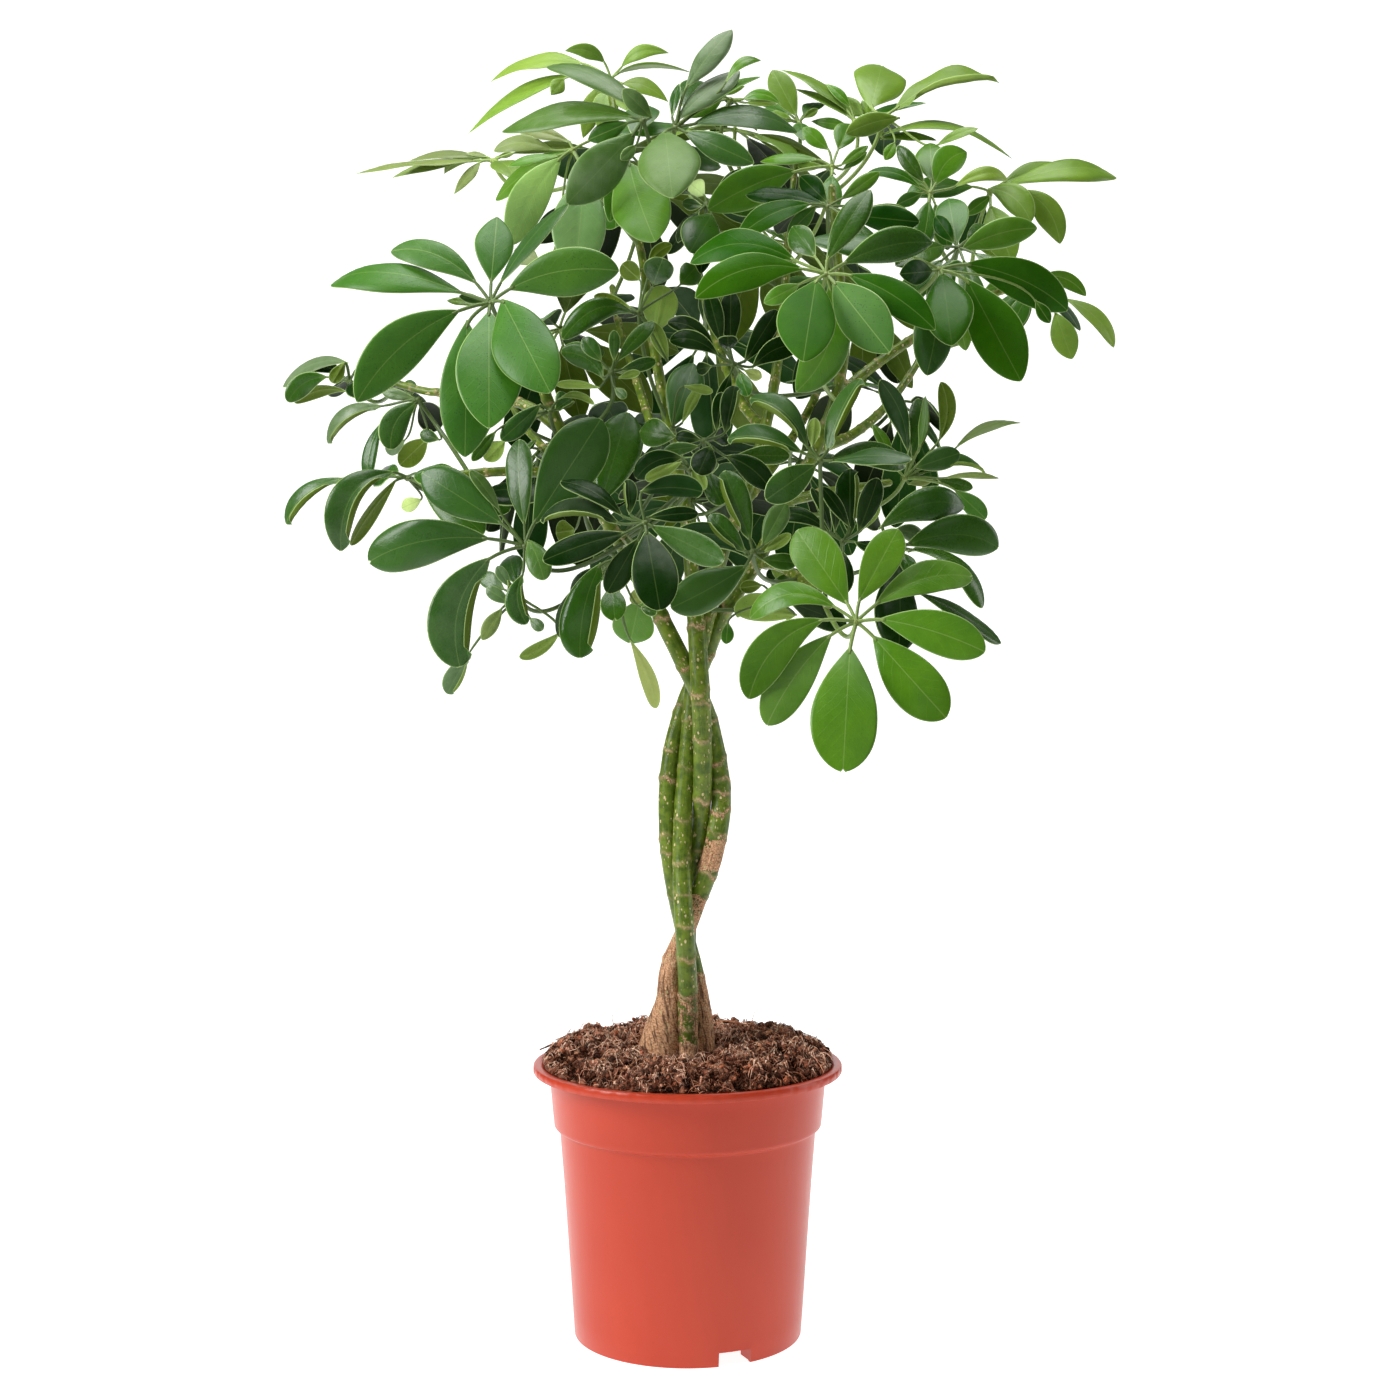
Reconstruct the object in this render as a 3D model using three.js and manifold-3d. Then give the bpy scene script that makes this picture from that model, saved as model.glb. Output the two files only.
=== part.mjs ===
// Potted umbrella plant: four green stems braided together, standing in a plastic
// nursery pot full of peat, with compound leaves whose leaflets fan out like the ribs
// of an umbrella. Millimetres, +Z up. The origin is the centre of the pot's base.
import * as THREE from 'three';
import { mergeVertices } from 'three/addons/utils/BufferGeometryUtils.js';
import Module from 'manifold-3d';

const wasm = await Module();
wasm.setup();

// ---- driving dimensions (mm) ----
const POT_H = 185.3;          // height of the pot's rim
const RIM_R = 105;            // outer radius of the rolled rim
const RIM_LIP = 5.7;          // height of the rim's lip
const MOUTH_R = 99.3;         // inner edge of the rim's top
const BAND_TOP_R = 94.3;      // straight band below the rim
const BAND_BOTTOM_R = 91.3;
const SHOULDER_Z = 144;       // step between the band and the lower wall
const WALL_TOP_R = 87;        // lower wall, below the step
const BASE_R = 77.3;          // foot of the lower wall
const WALL = 2;               // wall thickness
const FOOT_DISC_R = 45;       // flat disc in the middle of the base, which rests on the table
const CHANNEL_H = 8;          // drain channel between the disc and the foot ring
const FOOT_RING_R = 73.6;     // inner radius of the foot ring
const DRAIN_HOLES = 8;
const DRAIN_R = 5;
const NOTCH_W = 23;           // notches in the foot ring that let water out
const NOTCH_H = 9.5;
const NOTCH_ANGLES = [-66, 54, 174]; // degrees round from +X
const SOIL_EDGE_Z = 188;      // soil level at the pot's wall
const SOIL_TOP_Z = 197;       // top of the soil's heap
const GAP = 0.35;             // clearance between touching pieces
const PETIOLE_R = 1.35;       // leaf stalk radius
const HUB_R = 2.3;            // swelling where the leaflets' stalks meet
const STALK_W = 1.8;          // leaflet stalk width
const BLADE_RIB = 0.5;        // rib height above the blade's middle plane
const POT_SIDES = 32;
const STEM_SIDES = 6;

// ---- stems: centre line points with their radius, [x, y, z, r]; the first line of each
// stem is its trunk from the root end up, the others are side shoots that start inside it ----
const STEMS = {
  stem_1: [
    [[0.4,-8.7,118.5,5.69], [0.4,-8.7,143.5,6.36], [0.4,-8.7,168.5,6.70], [0.4,-8.7,193.5,6.70], [0.4,-9,201.7,6.68], [0.3,-9.5,210,6.65], [0.3,-10,218.3,6.63], [0.2,-10.8,226.6,6.61], [0.2,-11.9,235,6.56], [0,-13.4,243.4,6.50], [-0.4,-15.1,251.8,6.44], [-0.9,-17.2,260.3,6.40], [-1.3,-18.9,268.6,6.40], [-1.9,-19.2,276.8,6.40], [-2.3,-18,284.7,6.40], [-2.8,-15.7,292.5,6.40], [-3.2,-13.2,300.2,6.40], [-3.6,-11,308.1,6.40], [-3.7,-9.1,316,6.40], [-3.8,-7.6,323.9,6.40], [-3.8,-6.2,331.9,6.40], [-3.6,-5.1,339.9,6.38], [-3.4,-4,348,6.32], [-3,-3.1,356,6.26], [-2.7,-1.2,364,6.20], [-1.9,0,372,6.14], [-1.2,0.6,380.1,6.09], [-0.5,1.2,388.2,6.06], [0.2,1.8,396.4,6.03], [0.9,2.6,404.5,6.00], [1.5,3.4,412.6,5.97], [2.1,4.3,420.7,5.94], [2.8,5.4,428.8,5.91], [3.5,6.2,436.9,5.85], [4.4,6.1,445.1,5.77], [5.6,5.1,453.2,5.69], [7,3.8,461.4,5.61], [8.8,2.6,469.6,5.52], [10.9,1.7,477.7,5.42], [13,1.1,485.8,5.30], [15,1,493.9,5.18], [16.5,2.5,502.4,5.09], [24.1,16.6,533,4.77], [37.3,30,564.7,4.44], [49.9,41.7,604,4.06], [58.8,50.6,642.1,3.68], [64.3,56.7,678.9,3.31], [67.8,60,715.8,2.94], [70.3,61.5,752.4,2.57], [73.6,63.4,789.1,2.21], [76.2,65,813.6,2.21]],
    [[37.3,30,564.7,3.90], [52.7,67.5,584.3,3.60], [69.9,105.6,608.8,3.30], [87.1,141.2,637.4,3.00], [102.1,170,668.3,2.70], [111.6,185.5,700.9,2.40], [114.5,190,711.8,2.30]],
    [[53.5,45,617.2,3.90], [41,86.6,635.5,3.60], [30,126.2,662.4,3.30], [19.6,160.4,696.4,3.00], [9.9,185,733.7,2.70], [5.7,193.1,768.7,2.40], [4.6,195,780.3,2.30]]
  ],
  stem_2: [
    [[3.5,10,114.6,5.18], [3.5,10,139.6,5.79], [3.5,10,164.6,6.09], [3.5,10,189.6,6.09], [3.3,10.4,197.9,6.07], [3.1,10.8,206.1,6.04], [2.9,11.3,214.3,6.00], [2.6,12,222.4,5.97], [2.1,12.9,230.6,5.94], [1.5,13.9,238.7,5.91], [0.9,15.1,246.8,5.88], [0.4,16.5,254.8,5.84], [0,17.9,262.9,5.81], [0.1,18.6,271.1,5.80], [0.6,18.1,279.5,5.80], [1.4,16.1,288.1,5.80], [2.3,13.4,296.7,5.80], [3.3,10.9,305.3,5.80], [4.3,8.8,313.8,5.80], [5.4,7,322.2,5.81], [6.5,5.5,330.6,5.86], [7.7,4.2,338.9,5.92], [8.6,2.9,347.3,5.98], [9.2,1,355.6,6.08], [9.8,-2.9,364.1,6.20], [10,-5.2,372.5,6.32], [10.2,-7,380.7,6.40], [10.3,-8.9,389,6.44], [10.2,-10.7,397.2,6.47], [10,-12.4,405.4,6.49], [9.8,-14.3,413.5,6.47], [9.5,-16.1,421.7,6.44], [9.1,-17.8,429.8,6.41], [8.7,-18.5,437.9,6.38], [8.3,-18,445.9,6.35], [7.7,-16.2,453.8,6.32], [7.2,-14.1,461.8,6.25], [6.7,-12.1,469.8,6.14], [6.2,-10.1,477.8,6.02], [5.5,-7.8,485.9,5.85], [4.3,-5.6,493.9,5.55], [3.6,-2.6,504,5.32], [1.5,10.8,536.8,4.84], [-2.5,20,567.6,4.44], [-8.6,21.6,598.3,4.14], [-14.9,23.6,629.1,3.84], [-20.8,25.3,659.9,3.52], [-25.8,25,690.4,3.22], [-29,22.8,719.4,2.93], [-34.5,19.9,749.2,2.62], [-41.5,22.5,783.2,2.24], [-48.5,35,821,2.21], [-52.1,47.7,842.2,2.21], [-53.2,52,848.6,2.21]],
    [[-2.5,20,567.6,3.90], [-15.7,61.6,595.4,3.60], [-27.7,100.9,628.4,3.30], [-39.5,136.2,665,3.00], [-51.3,165,701.2,2.70], [-56.6,180.5,728.6,2.40], [-58.1,185,737.4,2.30]]
  ],
  stem_3: [
    [[-20.4,-1.5,117,9.73], [-20.4,-1.5,142,10.87], [-20.4,-1.5,167,11.45], [-20.4,-1.5,192,11.45], [-19.7,-1.6,200.2,10.76], [-18.6,-1.8,208.5,9.78], [-17.4,-2,216.8,8.88], [-16.1,-2.3,225,8.17], [-14.6,-2.8,233.3,7.67], [-13,-3.4,241.6,7.32], [-11.1,-4.1,250,7.06], [-8.6,-4.9,258.3,6.75], [-5.3,-5.9,266.6,6.38], [-1.8,-6.1,274.8,6.27], [1.5,-5.4,282.9,6.35], [4.5,-4.5,290.9,6.44], [7.4,-4.1,299,6.61], [10.4,-3.7,307.1,6.89], [13.3,-3.4,315.3,7.12], [15.9,-3.2,323.4,7.25], [18,-3,331.5,7.21], [19.7,-3,339.7,7.12], [21.1,-2.8,347.8,7.02], [22.3,-1.7,355.9,6.88], [22.8,-0.1,363.9,6.72], [22.5,0,372,6.61], [21.8,0,380.2,6.52], [20.7,-0.1,388.3,6.43], [19.3,-0.4,396.5,6.36], [17.6,-1,404.7,6.30], [15.7,-1.9,412.9,6.24], [13.3,-3,421,6.18], [10.4,-4.5,429.2,6.12], [7,-5.7,437.4,6.07], [3.2,-6.1,445.5,6.03], [-0.7,-5.5,453.5,5.99], [-4.8,-4.5,461.6,5.95], [-8.8,-3.5,469.7,5.90], [-12.9,-2.7,477.7,5.76], [-16.8,-2,485.8,5.55], [-20.6,-1.4,493.9,5.34], [-27,-2.8,508,5.14], [-41,-9.7,531,4.82], [-54.8,-17.5,553.9,4.59], [-67.8,-25,578.6,4.35], [-79.9,-32.9,602.8,4.12], [-90.3,-37.2,627.2,3.88], [-99.1,-42.9,650.6,3.65], [-106.7,-55,670.4,3.49], [-112.3,-69.9,677,3.44], [-114,-75,678.7,3.44]],
    [[-67.8,-25,578.6,3.90], [-89.6,-28.8,582.7,3.60], [-113.7,-32.6,583.9,3.30], [-136.8,-35.9,582.7,3.00], [-155.7,-38,580.5,2.70], [-171.4,-39.5,579.4,2.40], [-176.4,-40,579.1,2.30]],
    [[-83.6,-35,610.8,3.90], [-103.6,-24.1,626.4,3.60], [-128.6,-9.7,635.9,3.30], [-153.7,3,639.6,3.00], [-174.4,10,640,2.70], [-199.3,24.8,647.4,2.40], [-207.7,30,650.1,2.30]],
    [[-50.3,-15,545.9,3.90], [-62.7,26.2,562.3,3.60], [-81,68.4,583.6,3.30], [-102.8,106.4,607.6,3.00], [-123.8,135,631.7,2.70], [-136.7,154.1,660.9,2.40], [-140.6,160,670.9,2.30]],
    [[-39.9,-8,528.8,3.90], [-38.6,-39.3,536.4,3.30], [-39.4,-72.3,539.6,2.70], [-40.8,-95,540,2.30]]
  ],
  stem_4: [
    [[12,-0.5,116.8,5.93], [12,-0.5,141.8,6.62], [12,-0.5,166.8,6.97], [12,-0.5,191.8,6.97], [11.4,-0.3,200,6.85], [10.6,0,208.2,6.70], [9.6,0.2,216.3,6.55], [8.5,0.6,224.5,6.40], [7.2,1.2,232.6,6.25], [5.7,2.1,240.7,6.12], [4.1,3.1,248.8,6.07], [2.2,4.3,256.8,6.04], [0,5.7,264.8,6.02], [-2.1,6.6,272.9,6.04], [-4.1,6.3,281.2,6.10], [-5.8,5.2,289.6,6.16], [-7.4,4.8,297.8,6.20], [-9,4.5,306.1,6.20], [-10.5,4.3,314.3,6.20], [-11.7,4.2,322.5,6.20], [-12.7,4.2,330.7,6.20], [-13.3,4.4,338.9,6.20], [-13.5,4.6,347.1,6.20], [-13.7,5,355.2,6.20], [-13.7,5.6,363.4,6.20], [-13.4,6.2,371.5,6.20], [-12.9,7.1,379.6,6.20], [-12,8.2,387.7,6.20], [-10.7,9.5,395.8,6.20], [-9.1,11,403.9,6.19], [-7,12.8,412,6.14], [-4.6,14.8,420.1,6.08], [-1.9,16.9,428.3,6.02], [1.2,18.3,436.4,5.97], [4.8,18.3,444.6,5.93], [8.5,16.9,452.9,5.89], [12,14.8,461.2,5.85], [15.2,12.7,469.4,5.80], [18.5,10.5,477.6,5.68], [22.1,8.1,485.8,5.50], [26.5,5.4,493.9,5.32], [36.2,2.9,508.8,5.14], [47.6,1.5,526.4,4.90], [55.8,-1.9,543.1,4.70], [68.6,-10,566.1,4.47], [81,-17.9,590.6,4.24], [91.8,-22.8,614.7,4.00], [99.9,-26.4,640.6,3.72], [103.8,-30,670.2,3.42], [101.5,-30.5,699.5,3.13], [98.4,-27.8,730.3,2.81], [96.2,-23.8,756.4,2.59], [95.6,-20,773.2,2.48]],
    [[68.6,-10,566.1,3.90], [88.1,-22,569.6,3.50], [107.5,-28.6,572.7,3.10], [123.9,-30,575.1,2.70], [135.3,-28,577.1,2.30]],
    [[97.7,-25,631.3,3.90], [113.9,-14.2,647,3.60], [138.1,0.7,665.9,3.30], [166.6,17.3,685.5,3.00], [193.6,32,702.2,2.70], [215.7,42.6,712.1,2.40], [222.9,46,715.1,2.30]],
    [[84.8,-20,598.8,3.90], [110.5,25.4,611.2,3.50], [135.8,69.1,631.9,3.10], [158.3,105.2,659.2,2.70], [176.5,130,689.5,2.30]],
    [[46.9,0,524.2,3.90], [59.9,-33,521.9,3.50], [72,-72.8,513.1,3.10], [81.5,-111.1,502.5,2.70], [87.9,-140,495.3,2.30]]
  ]
};

// ---- compound leaves: the stalk's points from the stem to the hub, then for each leaflet
// its base, middle and tip points, the blade's upward normal, and its width:
// [bx,by,bz, mx,my,mz, tx,ty,tz, nx,ny,nz, width] ----
const LEAVES = [
  { name: 'leaf_01', petiole: [[83.7,-120.9,500], [84.4,-123.8,498.1], [90.2,-148.7,484.3], [94.5,-170.5,477.7], [97.5,-189.3,478.2], [99.2,-205,486]], leaflets: [
    [95.4,-200.4,495.3, 79.5,-192.2,519.1, 66,-176.4,540.4, -0.27,-0.91,0.31, 27.9],
    [100.4,-202.8,497, 112.6,-201.3,519.4, 124.5,-192.9,540.4, 0.04,-0.98,0.2, 22.1],
    [109.9,-201,495.3, 138.8,-196.1,511, 169.7,-183.9,512.4, 0.1,-0.86,0.5, 21.9],
    [111.7,-207.7,487.7, 142.1,-217.8,481, 172.2,-221.1,468.9, -0.2,-0.98,0.04, 25.6],
    [108.3,-207.5,478.4, 128.3,-218.7,455.2, 150,-221,430.9, -0.18,-0.98,0.12, 30.3],
    [95.3,-211.5,472.1, 92,-233.1,439.2, 89.2,-244.7,401.5, -0.04,-0.9,0.43, 38.4],
    [85.6,-208,479.6, 63.6,-213.9,455, 47,-221.3,426.8, 0.07,-0.98,0.19, 24.5],
    [81.5,-208.4,487.7, 52.2,-216.5,471.9, 36.6,-221,441.8, 0.1,-0.98,0.17, 24.5],
    [88.9,-201.4,493.5, 61.2,-197.8,502.2, 37.9,-186.9,488.2, -0.28,-0.8,0.53, 18.1] ] },
  { name: 'leaf_02', petiole: [[15.5,-3.3,492.7], [21.7,-3.1,492.5], [37.8,-3.8,492.6], [49.2,-6.8,493.7], [56.1,-12.2,496], [58.3,-20,499.3]], leaflets: [
    [73.2,-16.9,489.3, 52.7,-10.3,491.5, 31.2,-9.6,493.9, 0.17,0.99,-0.02, 20],
    [49.9,-13.4,509.3, 43.1,-8.8,508.4, 35.3,-6.1,507.4, 0.44,0.9,0.07, 9.3],
    [75.1,-17.4,505.9, 66,-14,513.8, 56.5,-13.9,522, 0.13,0.99,-0.07, 9.3],
    [27,-25.9,484.7, 26.3,-29.8,477.8, 25.6,-31.8,470.2, 0.02,-0.93,0.37, 8.7],
    [67.6,-36,517.6, 64.4,-45.4,509.5, 60.5,-52.1,499.2, 0.19,-0.78,0.6, 17.3],
    [68,-21.1,497.5, 87.8,-22.8,490.3, 106.6,-17.7,482.1, 0.15,-0.98,0.16, 18.5],
    [58.8,-14.3,506.2, 59.1,-2.5,516.1, 60.1,11.1,523.2, -0.2,-0.54,0.82, 12.6],
    [65.4,-23,504.7, 82.9,-27.7,515.3, 102.3,-28.8,523.2, -0.39,-0.74,0.55, 17] ] },
  { name: 'leaf_03', petiole: [[-41,-9.7,531], [-45,-11.6,527], [-69.2,-24.1,505.2], [-87.8,-36.3,493.6], [-100.8,-48.3,492.3], [-108.2,-60,501.1]], leaflets: [
    [-119.7,-62.2,494, -125.8,-65.8,483.8, -132.3,-66,473.3, 0.15,-0.98,0.09, 10.4],
    [-114.2,-58.7,496.6, -122.6,-58.3,501.9, -130.7,-55.2,506.9, -0.12,-0.98,0.13, 9.1],
    [-118.5,-53.9,505.7, -127.7,-49.9,511, -135.8,-43.1,515.6, -0.39,-0.88,0.28, 11.7],
    [-114.1,-58.6,506.9, -118.8,-58.4,514.3, -123.4,-55.8,521.2, -0.03,-0.98,0.17, 7.8],
    [-115.7,-63.3,512, -112.1,-65.4,496.7, -106.1,-70.7,483.1, -0.54,0.75,-0.37, 9.4],
    [-101.3,-66.2,487.5, -97.2,-70.1,484, -92.5,-72.4,479.9, -0.31,-0.88,0.36, 7.8],
    [-82,-65.5,478.5, -94.2,-65.9,468.4, -108.1,-70.9,462.5, -0.28,0.95,0.13, 9.3],
    [-141.7,-63.5,463.6, -148.1,-67.3,451.2, -155,-67.1,438.5, 0.13,-0.99,0.07, 13],
    [-110.6,-53.4,508.7, -115.4,-38.1,521.4, -118.3,-19.3,528.8, -0.28,-0.53,0.8, 16.4] ] },
  { name: 'leaf_04', petiole: [[-39,-28.8,534], [-39.1,-32.7,531.9], [-39.9,-57.6,520.5], [-41,-79.7,515.3], [-42.6,-98.8,516.5], [-44.5,-115,523.9]], leaflets: [
    [-53.1,-116.9,522, -63,-127.2,494.2, -65.6,-130,463.2, 0.09,-0.98,0.2, 26.2],
    [-45.9,-126.1,508.2, -44.8,-135.7,498.3, -43.5,-142.1,486.1, -0.02,-0.81,0.58, 16.2],
    [-29.7,-89.5,500.3, -33.6,-78.4,483.7, -36.9,-63.1,470.7, -0.12,-0.76,-0.64, 27.4],
    [-35.5,-107,474, -24.9,-100.9,453.7, -18.8,-99,430.9, 0.67,0.64,0.38, 15.9],
    [-21.7,-107.3,505.3, -28.2,-102.4,502.1, -35.7,-99.7,498.4, 0.39,0.9,0.21, 10],
    [-28.8,-120.9,494.6, -23.9,-124.6,492.9, -18.2,-126.8,490.9, -0.43,-0.89,0.16, 7.5],
    [-53,-113,515.5, -69.9,-109.9,496.1, -81.5,-98.5,475.9, -0.54,-0.84,0.08, 21.3],
    [-51.9,-106.8,519.8, -66.9,-92,508.3, -75.3,-72.8,496.6, -0.83,-0.55,0.04, 19.6],
    [-33.5,-105,522.7, -15.6,-88.5,516.9, -1.5,-69.2,509.2, 0.76,-0.54,0.37, 21] ] },
  { name: 'leaf_05', petiole: [[72,-72.8,513.1], [70,-76.2,512.5], [57.8,-98.7,510.2], [48.8,-118.5,512], [43.1,-135.6,517.9], [40.5,-150,528]], leaflets: [
    [39.3,-148.4,523.2, 18.1,-138.3,539, -9.4,-132.4,535.1, 0.37,0.83,0.42, 17.9],
    [39.3,-148.7,534.1, 30.8,-146.9,556.8, 23,-138.5,578.2, -0.1,-0.98,0.19, 17],
    [46,-148.5,531, 53.6,-147,545, 60.8,-141.2,558, 0.1,-0.97,0.21, 14.6],
    [45.4,-148,523.8, 57,-146,522.5, 67.6,-141,521.5, 0.29,-0.95,-0.06, 10.9],
    [47.2,-148.8,528, 55.3,-145.6,533.4, 63.7,-145.1,539, -0.15,0.98,-0.1, 7.3],
    [37.4,-152,520.1, 15.5,-161.7,506.5, -9,-164.4,494.1, 0.2,-0.97,0.11, 25.5],
    [36.3,-149.1,527.4, 24.7,-147.8,539.3, 13.9,-142.1,550.7, -0.17,-0.98,0.13, 13.4] ] },
  { name: 'leaf_06', petiole: [[-38.5,-50,538.2], [-41,-52.6,536.4], [-63.1,-76.4,522.8], [-80.2,-97.2,517.5], [-92.3,-115.1,520.6], [-99.3,-130,532.1]], leaflets: [
    [-95.1,-127.2,544.5, -73.2,-124.4,578.8, -53.2,-110.6,611.6, 0.18,-0.98,0.13, 37],
    [-99.5,-126.6,543.9, -103.6,-122.3,572.4, -104.3,-110.9,599.1, -0.42,-0.88,0.21, 19.6],
    [-112.4,-126.5,545.2, -139.3,-125.1,562.3, -164.9,-115,578.4, -0.14,-0.98,0.11, 27.7],
    [-120.6,-125.9,536.6, -162.7,-126.6,535.2, -199.5,-110.8,522.1, -0.17,-0.98,-0.08, 30.8],
    [-119.8,-134.1,525.3, -138.8,-142.6,494.8, -137.7,-147.4,458.2, 0.14,-0.98,0.15, 28.4],
    [-97.2,-132.8,535.7, -91.1,-144.6,525.8, -86.2,-150.4,511, -0.15,-0.84,0.53, 15.4],
    [-100.3,-132.7,514.9, -103.4,-138.5,499.7, -97.6,-137.6,484.2, 0.07,-0.98,0.16, 13.6],
    [-114.5,-130.5,553, -122.7,-132.8,566.4, -132.8,-131.2,578.7, 0.41,-0.87,0.27, 9.5] ] },
  { name: 'leaf_07', petiole: [[64,-45,520.1], [67.2,-47.6,519.2], [88.4,-65.3,515], [105.9,-80.7,516], [119.5,-94,522.1], [129.3,-105,533.5]], leaflets: [
    [120.7,-102.3,543.5, 148.9,-108.5,559, 176.6,-91.1,557.2, 0.19,-0.98,0.03, 22.6],
    [137,-103.3,532.9, 169,-105.8,540.1, 197.1,-90.6,532, 0.21,-0.98,-0.03, 26.4],
    [129.6,-100.9,541.7, 140.9,-96.4,541.6, 149.6,-90.8,535.1, 0.39,-0.9,-0.2, 11.3],
    [137.1,-109.4,530.2, 165.7,-128.4,523.7, 180.9,-139.3,494, 0.34,-0.47,0.81, 21.8],
    [144,-97.5,504.1, 174.1,-91,490.9, 200.4,-82.9,471.7, 0.53,-0.43,0.73, 22.7],
    [135,-111.6,528.3, 136.9,-117.9,522.9, 139.6,-122.4,516.3, -0.34,-0.76,0.55, 10],
    [139,-102.5,529.1, 160.9,-99.1,535.5, 182.9,-92,536.3, -0,-0.56,0.83, 15.6],
    [134.1,-101.1,519.1, 153.8,-93.2,514.8, 174.4,-90.8,508.6, -0.16,0.94,0.31, 12.9],
    [130.4,-119.5,522.3, 130.3,-143.9,498.4, 128.1,-160.3,468.6, 0.21,-0.78,0.59, 29.2] ] },
  { name: 'leaf_08', petiole: [[81.5,-111.1,502.5], [83.4,-112.8,505], [88.6,-118.4,512.7], [92.4,-123.9,520.1], [94.9,-129.4,527.4], [96,-135,534.5]], leaflets: [
    [88.2,-132.4,539.4, 70.3,-133.2,551.2, 52.3,-121.8,549.6, -0.13,-0.88,0.45, 11.6],
    [89,-129.5,539.5, 84.9,-121.6,555.7, 78.2,-110.5,568.8, 0.51,-0.62,0.59, 10.9],
    [91.2,-133,540, 91.5,-131.4,552.9, 91,-126.4,564.8, 0.23,-0.94,0.25, 7.7],
    [100.4,-133.8,538.2, 100.4,-132.2,559.9, 100.9,-124.7,580.3, -0.07,-0.98,0.21, 16],
    [104.9,-138.5,539.8, 110.5,-146.8,555.4, 116.1,-150.2,572.7, -0.02,-0.94,-0.33, 14.7],
    [107.8,-133,541.9, 112.7,-130.2,550.3, 117.8,-130.1,559.1, -0.03,0.99,-0.15, 9.2],
    [100.1,-137.6,542.9, 92.2,-143.6,555.2, 82.5,-145.7,567.5, 0.41,-0.91,-0.01, 9.4],
    [95.6,-142.1,528.8, 94.8,-154,516.8, 93.7,-161.2,501.5, 0.05,-0.82,0.57, 13.5],
    [102.3,-143.4,534.3, 114.1,-158.8,529.9, 127.1,-171.5,521.5, -0.23,-0.56,0.8, 14.4] ] },
  { name: 'leaf_09', petiole: [[-40.2,-83.7,539.8], [-39.2,-86.7,538.6], [-31.2,-115.5,530.6], [-26,-139.7,528.9], [-23.7,-159.6,533.5], [-24.3,-175,544.6]], leaflets: [
    [-36.9,-171.5,547.7, -55,-171,563.3, -75.1,-159.8,569.7, 0.14,-0.75,0.64, 15.5],
    [-38.7,-171.1,543.5, -63.9,-168.7,552.6, -87.9,-158,547, -0.15,-0.75,0.64, 17.4],
    [-34.9,-178.5,538.5, -58.8,-189.4,531.7, -83.7,-193.5,521.6, 0.13,-0.89,0.43, 18.3],
    [-27.8,-176.8,536.2, -36.8,-183.3,520, -46.6,-184.5,502.9, 0.13,-0.98,0.15, 16.1],
    [-33.3,-173.3,549.4, -33.9,-173,560.4, -34.5,-169.7,570.9, 0.02,-0.99,0.17, 8.9],
    [-27.3,-171.9,563.1, -8.9,-166.9,566, 10.2,-165.7,563.4, -0.16,0.99,0.05, 14.3],
    [-23.7,-174,547.6, -7.3,-171.1,549.9, 7.8,-163.8,551, 0.27,-0.92,0.29, 10],
    [-21.9,-175.9,543.3, 0.6,-183.2,532.2, 22.5,-192.5,521.1, -0.29,-0.95,0.12, 17.9],
    [-23.6,-177.8,540.3, -19.5,-197.1,518.8, -14.8,-209.8,493, -0.08,-0.83,0.55, 27.4] ] },
  { name: 'leaf_10', petiole: [[-36.4,-7.2,523.6], [-39.6,-12.1,524.8], [-52.2,-32.9,531], [-60.6,-51.1,539.4], [-64.8,-66.8,550], [-64.9,-80,562.8]], leaflets: [
    [-55.6,-75.6,559.8, -46.2,-66.7,592.3, -38.4,-48.8,621.4, 0.16,-0.92,0.36, 32],
    [-62,-75.1,557.9, -53.9,-59.2,584.2, -48.1,-36.5,605.4, 0.25,-0.79,0.57, 25.6],
    [-72.3,-63,544.3, -77.8,-53.6,543.8, -85.7,-46,542.9, 0.77,0.62,0.15, 16.3],
    [-76.5,-78.2,566.8, -104.9,-71.7,570, -132.3,-61.2,569.2, -0.19,-0.71,0.68, 22.1],
    [-70.7,-71.6,571.8, -82.6,-50.3,587.2, -97.1,-26.4,594.1, 0.29,-0.28,0.91, 20.6] ] },
  { name: 'leaf_11', petiole: [[69.9,105.6,608.8], [67.4,108,606.4], [38.1,138.6,580.2], [17.3,166.6,566.6], [4.8,192.1,565.5], [0.7,215,577]], leaflets: [
    [-3.6,217.9,565.3, -14.3,223.2,534.8, -23.1,219.7,503.4, -0.21,0.97,0.1, 28.5],
    [-10.8,218.3,570.4, -45,225,548.1, -75.8,222.1,520.7, -0.29,0.84,0.45, 36.1],
    [-11.1,210.1,574.1, -44.4,194.2,564.1, -71.3,172,548.4, -0.6,0.59,0.54, 33.3],
    [-9.9,203,580, -32.2,175.8,584.9, -50,145.4,581.6, -0.45,0.34,0.83, 30.9],
    [1.6,200,584.8, 3.8,163.4,600.7, 5.6,123.9,605.9, 0.04,0.27,0.96, 34.8],
    [9.9,204.9,583.4, 28.9,181.8,594.9, 45.3,154.6,598.9, 0.29,0.46,0.84, 27.9],
    [15.3,211,577.8, 47.7,199.7,577.4, 76.3,182.1,570.8, 0.39,0.66,0.65, 29.9],
    [10.5,214.2,568.4, 34.4,210.7,546.3, 53.4,199.8,522.1, 0.53,0.81,0.24, 28.5],
    [7.5,219.7,561.1, 19.9,226.2,530.7, 30.1,223.7,499, 0.23,0.96,0.15, 29.1],
    [8.6,201.8,573.6, 29.8,173.5,561.3, 38.8,141.1,544.8, 0.9,0.31,0.3, 31.2] ] },
  { name: 'leaf_12', petiole: [[-39.4,-72.3,539.6], [-36.5,-74,540.9], [-18.2,-86.4,550.5], [-5.6,-99,560.1], [1.2,-111.9,569.6], [2.2,-125,579]], leaflets: [
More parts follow.
